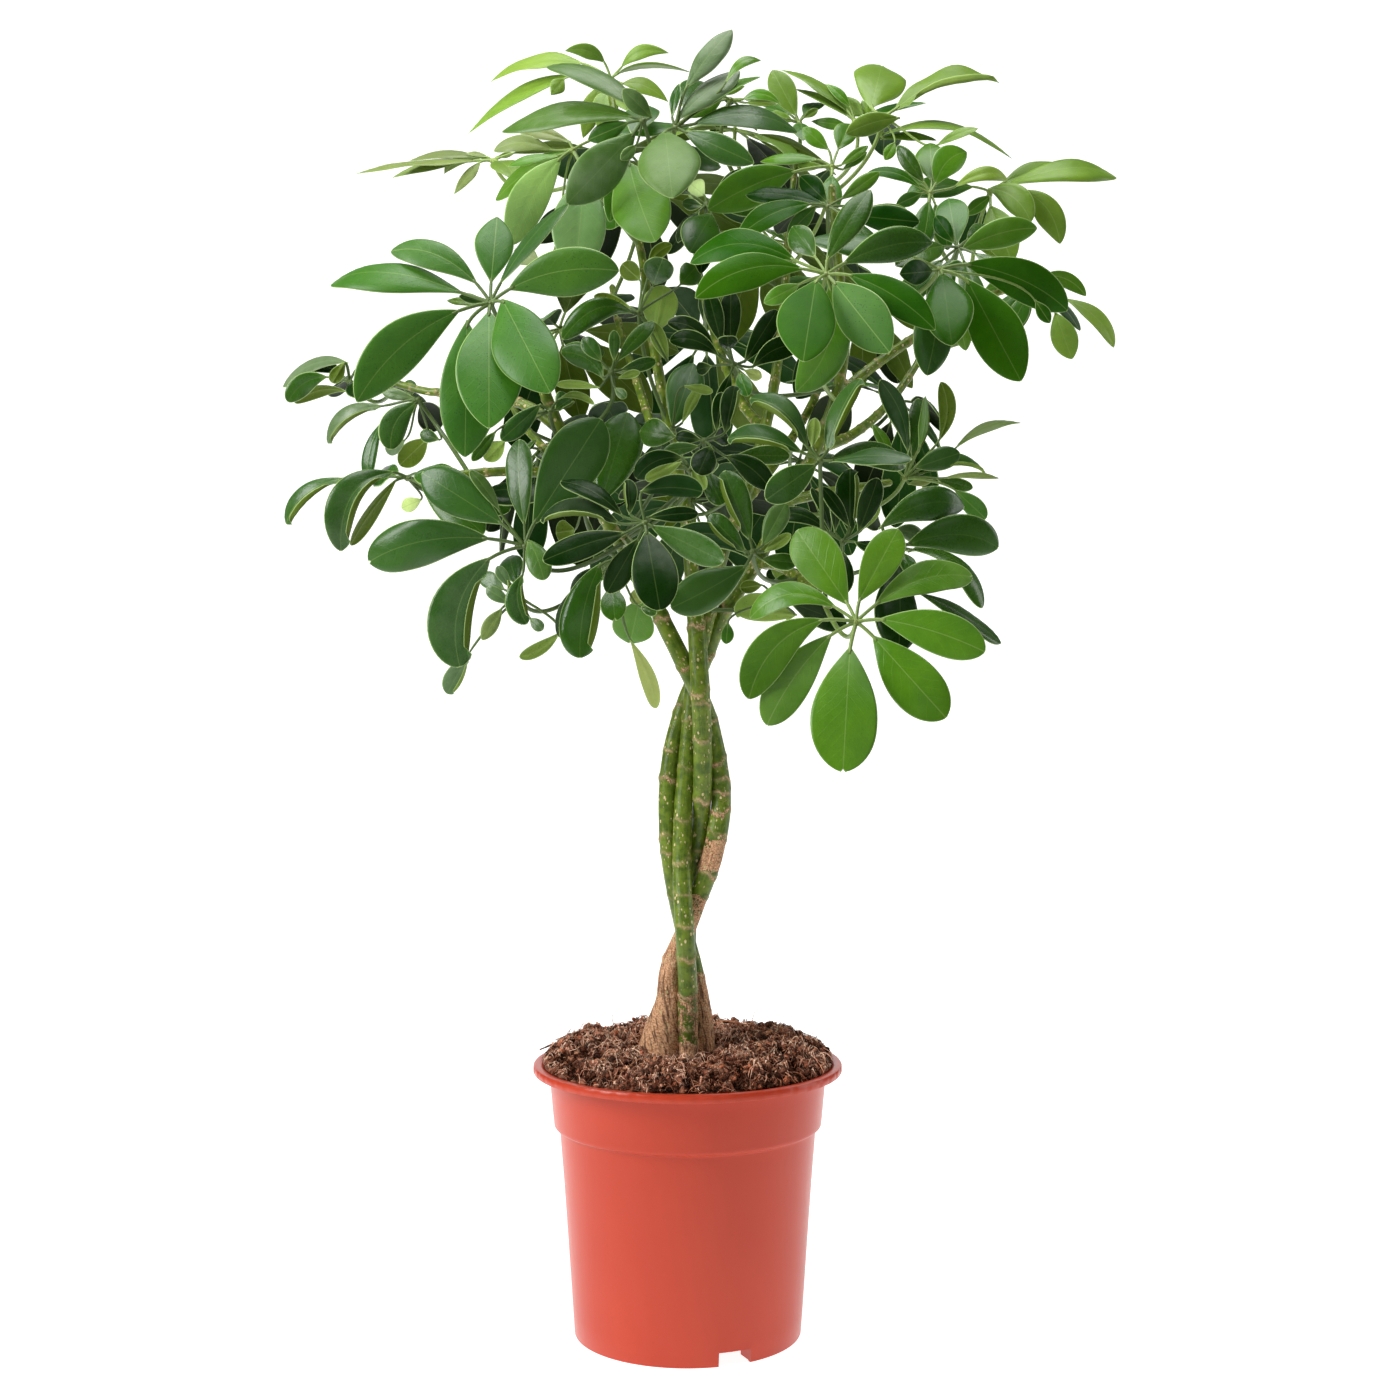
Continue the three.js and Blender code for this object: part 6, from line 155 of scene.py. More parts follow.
    ("leaf_09", [(-40.2, -83.7, 539.8), (-39.2, -86.7, 538.6), (-34.8, -101.7, 533.8), (-31.2, -115.5, 530.6), (-28.2, -128.2, 528.9), (-26, -139.7, 528.9), (-24.5, -150.2, 530.4), (-23.7, -159.6, 533.5), (-23.6, -167.9, 538.2), (-24.3, -175, 544.6)], [
        (-36.9, -171.5, 547.7, -55, -171, 563.3, -75.1, -159.8, 569.7, 0.14, -0.75, 0.64, 15.5, "k", "M", "t", "o"),
        (-38.7, -171.1, 543.5, -63.9, -168.7, 552.6, -87.9, -158, 547, -0.15, -0.75, 0.64, 20.1, "k", "M", "t", "o", dict(hem=-1)),
        (-34.9, -178.5, 538.5, -58.8, -189.4, 531.7, -83.7, -193.5, 521.6, 0.13, -0.89, 0.43, 18.3, "k", "M", "t", "o"),
        (-27.8, -176.8, 536.2, -36.8, -183.3, 520, -46.6, -184.5, 502.9, 0.13, -0.98, 0.15, 16.1, "k", "M", "t", "o"),
        (-33.3, -173.3, 549.4, -33.9, -173, 560.4, -34.5, -169.7, 570.9, 0.02, -0.99, 0.17, 10.4, "k", "M", "t", "o", dict(hem=-1)),
        (-27.3, -171.9, 563.1, -8.9, -166.9, 566, 10.2, -165.7, 563.4, -0.16, 0.99, 0.05, 16.6, "k", "D", "u", "o", dict(hem=-1)),
        (-23.7, -174, 547.6, -7.3, -171.1, 549.9, 7.8, -163.8, 551, 0.27, -0.92, 0.29, 10, "k", "M", "t", "o"),
        (-21.9, -175.9, 543.3, 0.6, -183.2, 532.2, 22.5, -192.5, 521.1, -0.29, -0.95, 0.12, 17.9, "d", "M", "t", "o"),
        (-23.6, -177.8, 540.3, -19.5, -197.1, 518.8, -14.8, -209.8, 493, -0.08, -0.83, 0.55, 27.4, "k", "M", "t", "o"),
    ]),
    ("leaf_10", [(-36.4, -7.2, 523.6), (-39.6, -12.1, 524.8), (-46.4, -22.8, 527.6), (-52.2, -32.9, 531), (-56.9, -42.3, 534.9), (-60.6, -51.1, 539.4), (-63.2, -59.3, 544.4), (-64.8, -66.8, 550), (-65.4, -73.7, 556.1), (-64.9, -80, 562.8)], [
        (-55.6, -75.6, 559.8, -46.2, -66.7, 592.3, -38.4, -48.8, 621.4, 0.16, -0.92, 0.36, 32, "d", "M", "t", "o"),
        (-62, -75.1, 557.9, -53.9, -59.2, 584.2, -48.1, -36.5, 605.4, 0.25, -0.79, 0.57, 25.6, "d", "M", "t", "o"),
        (-72.3, -63, 544.3, -77.8, -53.6, 543.8, -85.7, -46, 542.9, 0.77, 0.62, 0.15, 16.3, "m", "M", "u", "o"),
        (-76.5, -78.2, 566.8, -104.9, -71.7, 570, -132.3, -61.2, 569.2, -0.19, -0.71, 0.68, 22.1, "k", "K", "t", "o"),
        (-70.7, -71.6, 571.8, -82.6, -50.3, 587.2, -97.1, -26.4, 594.1, 0.29, -0.28, 0.91, 20.6, "k", "K", "t", "o"),
    ]),
    ("leaf_11", [(69.9, 105.6, 608.8), (67.4, 108, 606.4), (51.7, 123.6, 591.8), (38.1, 138.6, 580.2), (26.7, 152.9, 571.8), (17.3, 166.6, 566.6), (10, 179.7, 564.5), (4.8, 192.1, 565.5), (1.7, 203.9, 569.7), (0.7, 215, 577)], [
        (-3.6, 217.9, 565.3, -14.3, 223.2, 534.8, -23.1, 219.7, 503.4, -0.21, 0.97, 0.1, 28.5, "m", "D", "t", "o"),
        (-10.8, 218.3, 570.4, -45, 225, 548.1, -75.8, 222.1, 520.7, -0.29, 0.84, 0.45, 36.1, "e", "D", "t", "o"),
        (-11.1, 210.1, 574.1, -44.4, 194.2, 564.1, -71.3, 172, 548.4, -0.6, 0.59, 0.54, 33.3, "e", "D", "t", "o"),
        (-9.9, 203, 580, -32.2, 175.8, 584.9, -50, 145.4, 581.6, -0.45, 0.34, 0.83, 30.9, "d", "K", "t", "o"),
        (1.6, 200, 584.8, 3.8, 163.4, 600.7, 5.6, 123.9, 605.9, 0.04, 0.27, 0.96, 34.8, "e", "D", "t", "o"),
        (9.9, 204.9, 583.4, 28.9, 181.8, 594.9, 45.3, 154.6, 598.9, 0.29, 0.46, 0.84, 27.9, "e", "D", "t", "o"),
        (15.3, 211, 577.8, 47.7, 199.7, 577.4, 76.3, 182.1, 570.8, 0.39, 0.66, 0.65, 29.9, "d", "K", "t", "o"),
        (10.5, 214.2, 568.4, 34.4, 210.7, 546.3, 53.4, 199.8, 522.1, 0.53, 0.81, 0.24, 28.5, "e", "D", "t", "o"),
        (7.5, 219.7, 561.1, 19.9, 226.2, 530.7, 30.1, 223.7, 499, 0.23, 0.96, 0.15, 29.1, "d", "K", "t", "o"),
        (8.6, 201.8, 573.6, 29.8, 173.5, 561.3, 38.8, 141.1, 544.8, 0.9, 0.31, 0.3, 31.2, "k", "K", "t", "o"),
    ]),
    ("leaf_12", [(-39.4, -72.3, 539.6), (-36.5, -74, 540.9), (-26.6, -80.2, 545.7), (-18.2, -86.4, 550.5), (-11.1, -92.7, 555.3), (-5.6, -99, 560.1), (-1.5, -105.4, 564.8), (1.2, -111.9, 569.6), (2.4, -118.4, 574.3), (2.2, -125, 579)], [
        (-1.5, -122.3, 586.6, -18.8, -118.5, 584.9, -31.5, -111.9, 574.3, -0.26, -0.95, -0.18, 16.1, "k", "M", "t", "o"),
        (-2.7, -126.9, 583.8, -14.5, -128.7, 578, -25.3, -134, 572.4, -0.27, 0.96, -0.06, 8.7, "e", "P", "u", "o", dict(wave=0.16, waves=1.6)),
        (3.5, -126, 583.9, 7.6, -126.5, 575, 11.5, -129.7, 566.5, 0.1, 0.98, -0.16, 8.7, "e", "P", "u", "o"),
        (-4.2, -118.5, 580.4, -14.4, -107, 580.1, -22.6, -94.3, 577.6, -0.61, -0.39, 0.69, 12.4, "k", "K", "t", "o"),
    ]),
    ("leaf_13", [(-97.2, -30, 583.6), (-101.1, -28.8, 582), (-116.3, -24.8, 576.3), (-130.1, -21.9, 572.1), (-142.6, -20.3, 569.5), (-153.6, -19.8, 568.4), (-163.4, -20.6, 568.9), (-171.7, -22.5, 570.9), (-178.7, -25.7, 574.5), (-184.3, -30, 579.7)], [
        (-191.2, -32.6, 583.4, -216.1, -57.6, 568.1, -225.2, -52.5, 531, 0.03, -0.94, 0.34, 25.9, "e", "M", "t", "o", dict(hem=-1)),
        (-227.2, -22, 580.1, -252.8, -23.4, 570, -268.4, -12.6, 550, -0.44, -0.83, 0.35, 20.5, "e", "M", "t", "o", dict(hem=-1)),
        (-176.2, -22, 566.2, -183.8, -19.1, 563.1, -190.6, -14, 560.6, -0.39, -0.88, -0.27, 9.9, "w", "V", "t", "o"),
        (-190.6, -32.1, 579.5, -206.3, -42.3, 558.6, -219.8, -49.2, 535, -0.84, 0.33, 0.42, 19, "m", "M", "u", "o"),
        (-174.3, -39.4, 574.7, -153.6, -57.9, 560.5, -130.8, -68, 541.8, -0.21, -0.86, 0.47, 24.2, "d", "K", "t", "o"),
        (-170, -31.9, 577.8, -142.7, -34.5, 570.1, -116.5, -32.3, 558.8, 0.2, -0.79, 0.58, 23, "d", "K", "t", "o"),
        (-191.2, -20.4, 582.9, -204.7, 1.1, 585.1, -213.5, 24.9, 582.8, -0.69, -0.34, 0.65, 20.5, "d", "K", "t", "o"),
        (-178.5, -43.1, 581.7, -165.3, -68.1, 581.4, -148, -89.5, 574.7, -0.49, -0.44, 0.76, 20.7, "d", "K", "t", "o"),
    ]),
    ("leaf_14", [(64.4, -7.3, 558.3), (69.2, -4.4, 557.8), (85.2, 4.8, 556.9), (99.4, 12.2, 557.1), (111.9, 17.7, 558.4), (122.6, 21.3, 560.9), (131.6, 23, 564.6), (138.8, 22.9, 569.4), (144.3, 20.9, 575.3), (148.1, 17, 582.4)], [
        (150.5, 21.5, 599, 147.4, 32, 626.1, 132.4, 36.2, 650.8, 0.78, 0.62, 0.1, 19.3, "d", "D", "u", "o"),
        (152.5, 21, 594.9, 159.3, 25.3, 616.7, 158.4, 34, 638.2, 0.19, -0.95, 0.26, 18, "d", "M", "t", "o", dict(hem=1)),
        (156.4, 12.3, 601.1, 160.1, 6.3, 618.3, 160.1, 3.8, 636.7, 0.71, -0.67, -0.23, 11.1, "b", "P", "t", "a"),
        (171.2, 23.6, 607.3, 178, 28, 627.7, 173.9, 31.6, 648.9, 0.35, 0.92, -0.2, 12.7, "m", "M", "u", "o"),
        (154.3, 18.3, 589.3, 170.6, 17.9, 594.5, 186.1, 22.7, 599.8, 0.13, -0.99, 0.01, 16.4, "e", "M", "t", "o"),
        (160, 21, 585.4, 183.8, 25.2, 594.2, 206.4, 35.8, 588.3, 0.15, -0.63, 0.76, 19.2, "m", "P", "t", "o", dict(hem=1)),
        (182.3, 24.7, 601.9, 203.6, 27, 618.5, 229.4, 34.6, 621.9, -0.28, -0.4, 0.87, 17.7, "v", "V", "t", "a"),
        (174.7, 17.8, 582.4, 193.6, 17.1, 584.8, 212.4, 18.9, 582.5, 0.01, -0.48, 0.88, 11.3, "v", "V", "t", "a"),
        (169, 21.2, 582.6, 182.6, 22, 579.1, 195.6, 26.6, 576.1, 0.17, -0.98, -0.13, 8.9, "d", "M", "t", "o"),
        (150.2, 17.9, 578.4, 159.2, 18.4, 580.2, 167.6, 21.4, 582, 0.19, -0.98, 0, 6.8, "v", "V", "t", "a"),
        (181.8, 13.4, 574.1, 191.8, 9.6, 564.2, 202.5, 9.8, 554.2, -0.17, -0.99, 0, 13.7, "m", "P", "t", "o"),
        (140.1, 20.1, 590.7, 134.4, 22.2, 606.3, 127, 28.3, 620, 0.34, -0.86, 0.39, 9.9, "b", "P", "t", "a"),
    ]),
    ("leaf_15", [(85.8, -130.4, 497.7), (85.5, -131, 500.9), (84.7, -133.7, 513.5), (83.9, -136.8, 525.4), (83.2, -140.4, 536.6), (82.5, -144.5, 547.1), (81.9, -148.9, 557), (81.3, -153.9, 566.1), (80.7, -159.2, 574.7), (80.2, -165, 582.5)], [
        (78.3, -166.4, 580, 63.8, -177.6, 569.6, 47.3, -183.4, 557.8, 0.35, -0.91, 0.22, 19.2, "e", "M", "t", "o"),
        (70.7, -162, 586.3, 47.4, -160, 596.4, 24.7, -148.4, 596.3, -0.13, -0.84, 0.53, 19.3, "e", "M", "t", "o", dict(hem=-1)),
        (73.1, -162.2, 589.3, 58.9, -162, 611.2, 38.6, -148.7, 621, 0.09, -0.87, 0.47, 19.2, "e", "M", "t", "o", dict(hem=-1)),
        (75.5, -163.2, 590.4, 76.5, -160.2, 598.9, 77.4, -159.8, 608, 0.02, 0.98, -0.19, 8.4, "e", "P", "u", "o"),
        (84.5, -163.2, 586.2, 92.4, -156.5, 611, 105.8, -147.6, 632.5, -0.43, -0.78, 0.46, 21, "e", "M", "t", "o", dict(hem=1)),
        (85.1, -162.6, 582.7, 110.8, -153, 586.8, 134.1, -139.1, 580.6, 0.41, -0.82, 0.39, 18.5, "e", "M", "t", "o"),
        (85.5, -166.8, 581.2, 108.8, -176.7, 584.4, 133.5, -182.5, 581.9, -0.2, -0.58, 0.79, 17.2, "e", "M", "t", "o"),
    ]),
    ("leaf_16", [(-38.8, -61, 539.2), (-35.5, -61.3, 541), (-25.9, -62.4, 546.4), (-17.6, -64.1, 551.7), (-10.3, -66.3, 557), (-4.3, -69, 562.2), (0.6, -72.2, 567.4), (4.4, -75.9, 572.6), (7, -80.2, 577.7), (8.4, -85, 582.8)], [
        (12.2, -87.6, 581.4, 16.7, -97.1, 570.9, 22.2, -103.1, 558.5, -0.24, -0.85, 0.47, 14, "d", "M", "t", "o"),
        (30.7, -81.5, 591.2, 48.6, -81.4, 590.9, 65.9, -76.4, 591, 0.14, -0.99, -0.07, 12.7, "d", "M", "t", "o"),
        (15.9, -83.3, 575.6, 28.8, -80.5, 562, 37, -73.7, 546.4, 0.71, -0.63, 0.3, 13.5, "k", "K", "t", "o"),
        (7.2, -77.7, 588.5, 5.2, -59.8, 597.1, 1.3, -40.9, 601.8, 0.43, -0.25, 0.87, 15, "k", "K", "t", "o"),
    ]),
    ("leaf_17", [(-40.2, -83.7, 539.8), (-37.3, -84, 541.6), (-25.2, -85.7, 549.5), (-14.9, -88, 557.2), (-6.2, -90.9, 564.6), (0.7, -94.5, 571.8), (5.8, -98.7, 578.6), (9.2, -103.5, 585.2), (10.9, -108.9, 591.5), (10.9, -115, 597.6)], [
        (-6.7, -100.3, 601.2, -19.6, -92.5, 603.9, -29.8, -81.3, 606.5, -0.63, -0.78, 0.05, 18.7, "d", "M", "t", "o"),
        (8.4, -114.2, 594.6, -3.1, -113.4, 593, -14.1, -109.4, 591.8, -0.19, -0.98, -0.1, 8.7, "d", "M", "t", "o"),
        (9.6, -114.4, 598.3, 0.7, -111.7, 599.8, -7.2, -106.6, 601.3, -0.42, -0.91, -0.01, 8.7, "k", "M", "t", "o"),
        (15.2, -121.4, 594, 11.9, -134.4, 586.2, 7.2, -144.5, 575.4, 0.33, -0.66, 0.67, 16.2, "k", "M", "t", "o"),
        (23.3, -117.7, 588.1, 39.2, -124.7, 580.6, 52.2, -123.9, 566.8, -0.17, -0.98, 0.05, 16.2, "k", "M", "t", "o"),
        (23.9, -112.6, 602.1, 27.2, -112.2, 617.9, 30.2, -107.3, 632.9, 0.04, -0.99, 0.16, 14.5, "k", "M", "t", "o", dict(hem=1)),
        (18.3, -112.6, 603.3, 20.3, -111.2, 616.5, 22.1, -106.1, 628.7, 0.04, -0.97, 0.24, 10.1, "k", "M", "t", "o", dict(hem=1)),
        (15.9, -106.8, 598.8, 22.1, -99.1, 601, 26.1, -89.9, 602.6, 0.83, -0.54, 0.17, 12.5, "k", "M", "t", "o"),
    ]),
    ("leaf_18", [(75.9, 118.2, 618.1), (75.7, 121.8, 616.1), (75.1, 136.5, 608.3), (75.1, 150.2, 602.3), (75.5, 162.8, 598.3), (76.4, 174.3, 596.2), (77.8, 184.7, 596), (79.7, 194, 597.7), (82, 202.1, 601.3), (84.8, 209.2, 606.8)], [
        (93.8, 196.1, 605.9, 112.5, 166, 602.3, 124.2, 133.9, 591.9, 0.71, 0.19, 0.68, 31.1, "e", "D", "t", "o"),
        (96.9, 201.3, 599.1, 124.3, 180.7, 579.1, 142.9, 155.6, 554.5, 0.81, 0.41, 0.41, 34.6, "d", "K", "t", "o"),
        (92.1, 210.8, 597.1, 112.1, 213.2, 567.3, 126.1, 208.2, 534.6, 0.6, 0.74, 0.3, 31.3, "m", "D", "t", "o"),
        (84.3, 215.9, 593, 82, 229, 560, 76.7, 232.9, 525, 0.31, 0.93, 0.2, 31, "m", "D", "t", "o"),
        (76.2, 218.6, 594.8, 55.7, 237.4, 565.3, 34.2, 245.8, 532, 0.09, 0.93, 0.35, 35.3, "e", "D", "t", "o"),
        (68.2, 215.5, 604.4, 30.9, 226.7, 596.6, -6.1, 229.1, 582.1, -0.04, 0.8, 0.61, 34.6, "d", "K", "t", "o"),
        (68.3, 204.2, 609.5, 30.2, 191.1, 613.6, -5.1, 171.9, 608.7, -0.25, 0.54, 0.8, 35.3, "e", "D", "t", "o"),
        (77.8, 199, 610.8, 60.2, 172.8, 619.2, 43, 145.2, 618.7, -0.04, 0.17, 0.98, 28.4, "m", "D", "t", "o"),
        (85.4, 197.5, 612.8, 105.2, 168.7, 631.5, 117.1, 133.6, 645.5, 0.71, 0.57, 0.42, 34.5, "d", "K", "t", "o"),
        (90.6, 217.6, 597.8, 103, 235.6, 574, 111.3, 245, 544.3, 0.37, 0.76, 0.53, 30.7, "d", "K", "t", "o"),
    ]),
    ("leaf_19", [(-74, 54.1, 575.7), (-75.2, 58.2, 576.1), (-79.3, 71.2, 577.6), (-83.4, 83, 579.9), (-87.5, 93.7, 583), (-91.7, 103.3, 586.8), (-95.9, 111.7, 591.3), (-100.2, 118.9, 596.6), (-104.5, 125, 602.6), (-108.8, 130, 609.4)], [
        (-112.4, 114.4, 609.5, -118.2, 82.7, 607.7, -118.7, 51.5, 598.8, -0.61, -0.07, 0.79, 28.2, "e", "D", "t", "o"),
        (-103.5, 117.4, 612.4, -82, 91.3, 616.9, -59, 66.4, 612.2, -0.15, -0.13, 0.98, 29.8, "d", "K", "t", "o"),
        (-98.3, 123, 612.4, -68.2, 94.8, 612.7, -38.1, 68.9, 601.8, -0.01, -0.2, 0.98, 35.9, "e", "D", "t", "o"),
        (-93.5, 131.8, 610.2, -60, 134.4, 609.9, -27.3, 131.8, 601.9, 0.1, 0.56, 0.83, 29.4, "d", "K", "t", "o"),
        (-98.4, 139.5, 605.1, -73.4, 159.4, 593.1, -47.3, 172, 575.2, -0.13, 0.77, 0.62, 29.7, "e", "D", "t", "o"),
        (-106.4, 140.4, 602.3, -98.3, 167.1, 580.3, -86.4, 186.4, 553, -0.38, 0.75, 0.54, 31, "e", "D", "t", "o"),
        (-112, 134.7, 596.4, -118.8, 145, 563.1, -119.1, 148.2, 527.8, -0.65, 0.73, 0.21, 30.9, "m", "D", "t", "o"),
        (-118.5, 131.2, 599.6, -136.4, 134.1, 576.5, -148.3, 130.4, 549.9, -0.62, 0.69, 0.36, 27.5, "d", "K", "t", "o"),
        (-102.7, 134.1, 594.1, -91.5, 141.9, 558.8, -75.7, 142.1, 524.5, -0.52, 0.85, -0.11, 34.5, "d", "K", "t", "o"),
        (-116.6, 116.6, 594, -130.5, 95.6, 564.8, -132, 72.9, 533.5, -0.98, 0.13, 0.16, 33, "k", "K", "t", "o"),
    ]),
    ("leaf_20", [(-45.8, -12.4, 538.3), (-42.2, -12.6, 543), (-34.6, -13.5, 553.2), (-28.1, -15.1, 563), (-22.5, -17.5, 572.2), (-18, -20.5, 580.9), (-14.5, -24.3, 589.1), (-12, -28.8, 596.7), (-10.4, -34, 603.8), (-9.9, -40, 610.4)], [
        (-10, -39.1, 611.8, -2, -27.1, 636.6, 4.4, -8.4, 657.5, 0.2, -0.84, 0.5, 25, "e", "M", "t", "o"),
        (-3.4, -37.9, 614.5, 1.8, -32, 628.1, 9.7, -29.7, 641.4, -0.61, 0.79, 0.05, 9.3, "e", "P", "u", "o"),
        (-2.1, -43.4, 638.7, 7.7, -43.8, 636.7, 16.9, -46.8, 634.5, 0.19, 0.98, 0.06, 6.6, "e", "P", "u", "o"),
        (-12.8, -51.6, 605.7, -18, -71.8, 593.1, -23.6, -87.2, 575.1, 0.07, -0.66, 0.75, 19, "k", "K", "t", "o"),
        (-19.4, -36.5, 612.2, -38.5, -27.9, 613.4, -55.6, -16.9, 608.2, -0.28, -0.33, 0.9, 16.4, "k", "K", "t", "o"),
    ]),
    ("leaf_21", [(-71.9, -27.6, 586.7), (-75, -30.1, 590.3), (-78.2, -33, 594.3), (-81, -35.9, 598.3), (-83.4, -38.8, 602.3), (-85.4, -41.8, 606.2), (-86.9, -44.8, 610.1), (-88, -47.9, 613.9), (-88.6, -51.1, 617.7), (-88.8, -54.3, 621.5)], [
        (-94.5, -55.8, 625.9, -106.6, -61.8, 614.1, -119.8, -63.1, 602.1, 0.23, -0.97, 0.05, 13.7, "e", "M", "t", "o"),
        (-85.9, -49.1, 622.6, -80.1, -39.8, 628.2, -76.7, -28.7, 632.3, 0.71, -0.54, 0.45, 15.1, "e", "M", "t", "o", dict(hem=1)),
        (-83.8, -51.9, 628.8, -72.6, -44.5, 633.8, -60.1, -45.6, 626.8, -0.1, 0.62, 0.78, 7.4, "e", "P", "u", "o"),
        (-122.8, -66.1, 607.7, -128.8, -74.8, 598.5, -137, -78, 587.7, 0.36, -0.89, 0.27, 8.5, "d", "M", "t", "o"),
        (-119, -43.1, 603, -125.5, -35.8, 598.1, -133.3, -32, 591.4, 0.31, 0.85, 0.43, 13, "e", "P", "u", "o"),
        (-96.7, -50, 621.1, -110.5, -42.6, 617.7, -121.4, -32.6, 611.6, -0.61, -0.56, 0.56, 13.9, "k", "K", "t", "o"),
    ]),
    ("leaf_22", [(-117.5, 126.4, 623.2), (-114.8, 128.6, 622), (-97.6, 143.2, 615.2), (-83, 157.1, 610.3), (-71, 170.3, 607.5), (-61.6, 182.7, 606.7), (-54.8, 194.4, 607.9), (-50.5, 205.3, 611.2), (-48.9, 215.5, 616.5), (-49.8, 225, 623.9)], [
        (-35.1, 217.4, 624.3, -7.8, 202, 623.7, 15.6, 182.5, 616.4, 0.44, 0.48, 0.76, 27.3, "e", "D", "t", "o"),
        (-33.3, 227.8, 621.5, 1.7, 231.2, 614.1, 34.8, 226.8, 600.8, 0.19, 0.78, 0.6, 31.3, "d", "K", "t", "o"),
        (-41.3, 230.1, 612.5, -18.8, 241.1, 581.2, 2.1, 241.5, 547, 0.14, 0.96, 0.26, 35, "b", "M", "t", "a"),
        (-49.2, 232.5, 611.9, -47.6, 245.4, 586.6, -44.7, 251, 558.8, -0.16, 0.94, 0.31, 24.8, "d", "K", "t", "o"),
        (-60.3, 227.5, 612.9, -83.5, 230.9, 586.1, -101.7, 226.3, 555.9, -0.49, 0.8, 0.34, 31, "e", "D", "t", "o"),
        (-63.4, 221.1, 620, -100.7, 207.6, 606.6, -131.3, 187, 586.8, -0.57, 0.61, 0.55, 36.5, "e", "D", "t", "o"),
        (-61.1, 212.1, 626.9, -84, 183.3, 631.1, -101.4, 150.8, 627.3, -0.53, 0.35, 0.77, 32.3, "e", "D", "t", "o"),
        (-53.5, 209.7, 630.9, -60.4, 176.5, 643.3, -64.3, 140.9, 646.5, -0.3, 0.26, 0.92, 31.4, "e", "D", "t", "o"),
        (-43.5, 212.7, 628.6, -29.8, 185.1, 637.3, -17, 155.7, 637.4, 0.11, 0.2, 0.97, 27.9, "e", "D", "t", "o"),
        (-55.6, 222.4, 611, -68.5, 216.9, 582.3, -74, 205.6, 553, -0.78, 0.62, 0.07, 28.2, "d", "K", "t", "o"),
    ]),
    ("leaf_23", [(-143.4, -36.7, 582), (-144.5, -33.3, 583.3), (-149.5, -18.7, 589.8), (-154.5, -6.6, 596.2), (-159.4, 3.1, 602.7), (-164.2, 10.4, 609.1), (-169, 15.2, 615.6), (-173.8, 17.6, 622.1), (-178.5, 17.5, 628.6), (-182.7, 14.7, 635.5)], [
        (-207.1, 20.5, 631.5, -232.1, 21.4, 625, -248, 31.3, 607.2, -0.42, -0.85, 0.33, 19.2, "s", "M", "t", "o", dict(hem=-1)),
        (-183.1, 14.3, 633.7, -196.5, 4.7, 620, -199.1, -3.9, 600.6, 0.35, -0.88, 0.32, 19.1, "e", "M", "t", "o"),
        (-206.9, 9, 619.7, -213.8, 0.2, 600.7, -216, 0.2, 578.7, -0.42, -0.86, 0.28, 12.9, "e", "M", "t", "o"),
        (-178.7, 32.1, 610.7, -188.8, 42.5, 603, -200.4, 49.1, 593.3, 0.3, 0.84, 0.45, 16.4, "m", "M", "u", "o"),
        (-193.4, 24.1, 608.7, -201, 27.5, 604.5, -207.8, 33.1, 601.2, -0.36, -0.86, -0.36, 10.9, "s", "M", "t", "o"),
        (-185.3, 15.8, 636.5, -197.6, 17.7, 638.9, -208.8, 23.1, 641.3, -0.3, -0.95, -0.01, 8.2, "s", "M", "t", "o"),
        (-188, 20.3, 638.3, -190.2, 25.5, 645.2, -192.2, 32.5, 650.4, -0.09, -0.72, 0.69, 9.6, "e", "M", "t", "o"),
        (-169.3, 22.5, 608.6, -177.1, 25.1, 611.4, -183.9, 29.9, 613.9, -0.42, -0.9, 0.12, 9.6, "e", "M", "t", "o"),
        (-182.5, 26.4, 634.2, -182, 49.4, 630.1, -175.6, 69.4, 619.7, -0.65, 0.33, 0.69, 19.4, "d", "K", "t", "o"),
    ]),
    ("leaf_24", [(-79.9, -32.9, 602.8), (-75.9, -35.7, 604.4), (-67.8, -41.8, 608.2), (-61, -47.6, 612.4), (-55.6, -53, 616.8), (-51.5, -58.1, 621.6), (-48.7, -62.8, 626.7), (-47.3, -67.2, 632.1), (-47.2, -71.3, 637.8), (-48.4, -75, 643.8)], [
        (-45.3, -72.9, 650.4, -33.2, -70.1, 665.4, -21.2, -62.2, 678.4, 0.01, -0.94, 0.35, 11.5, "d", "M", "t", "o"),
        (-46.5, -73.7, 650.9, -46.5, -73.3, 661.6, -46.6, -69.9, 671.7, 0.04, -0.98, 0.18, 7.7, "e", "M", "t", "o"),
        (-54.2, -72.6, 651.1, -60.7, -71.4, 659.2, -66.6, -67.4, 666.9, -0.18, -0.97, 0.18, 10.9, "e", "M", "t", "o"),
        (-53, -72.5, 639.6, -64.3, -66.9, 653.8, -81.2, -59.8, 658.9, -0.5, -0.85, -0.17, 16.7, "d", "M", "t", "o"),
        (-42.7, -73.8, 645.8, -30.9, -73.1, 648.9, -19.8, -69.1, 652.1, 0.22, -0.97, -0.06, 9, "d", "M", "t", "o"),
        (-43.9, -75.3, 640.6, -36.9, -74.6, 642.6, -29.9, -75.9, 644.3, 0.02, 0.99, 0.12, 5.8, "e", "P", "u", "o"),
        (-45.7, -80.1, 633.8, -42.4, -83.3, 630.6, -38.5, -85.2, 627, -0.37, -0.89, 0.28, 6.4, "e", "M", "t", "o"),
        (-55.6, -72, 634.6, -69.4, -67.4, 637.9, -84.2, -65, 637.8, 0.23, 0.56, 0.8, 8.9, "e", "P", "u", "o"),
    ]),
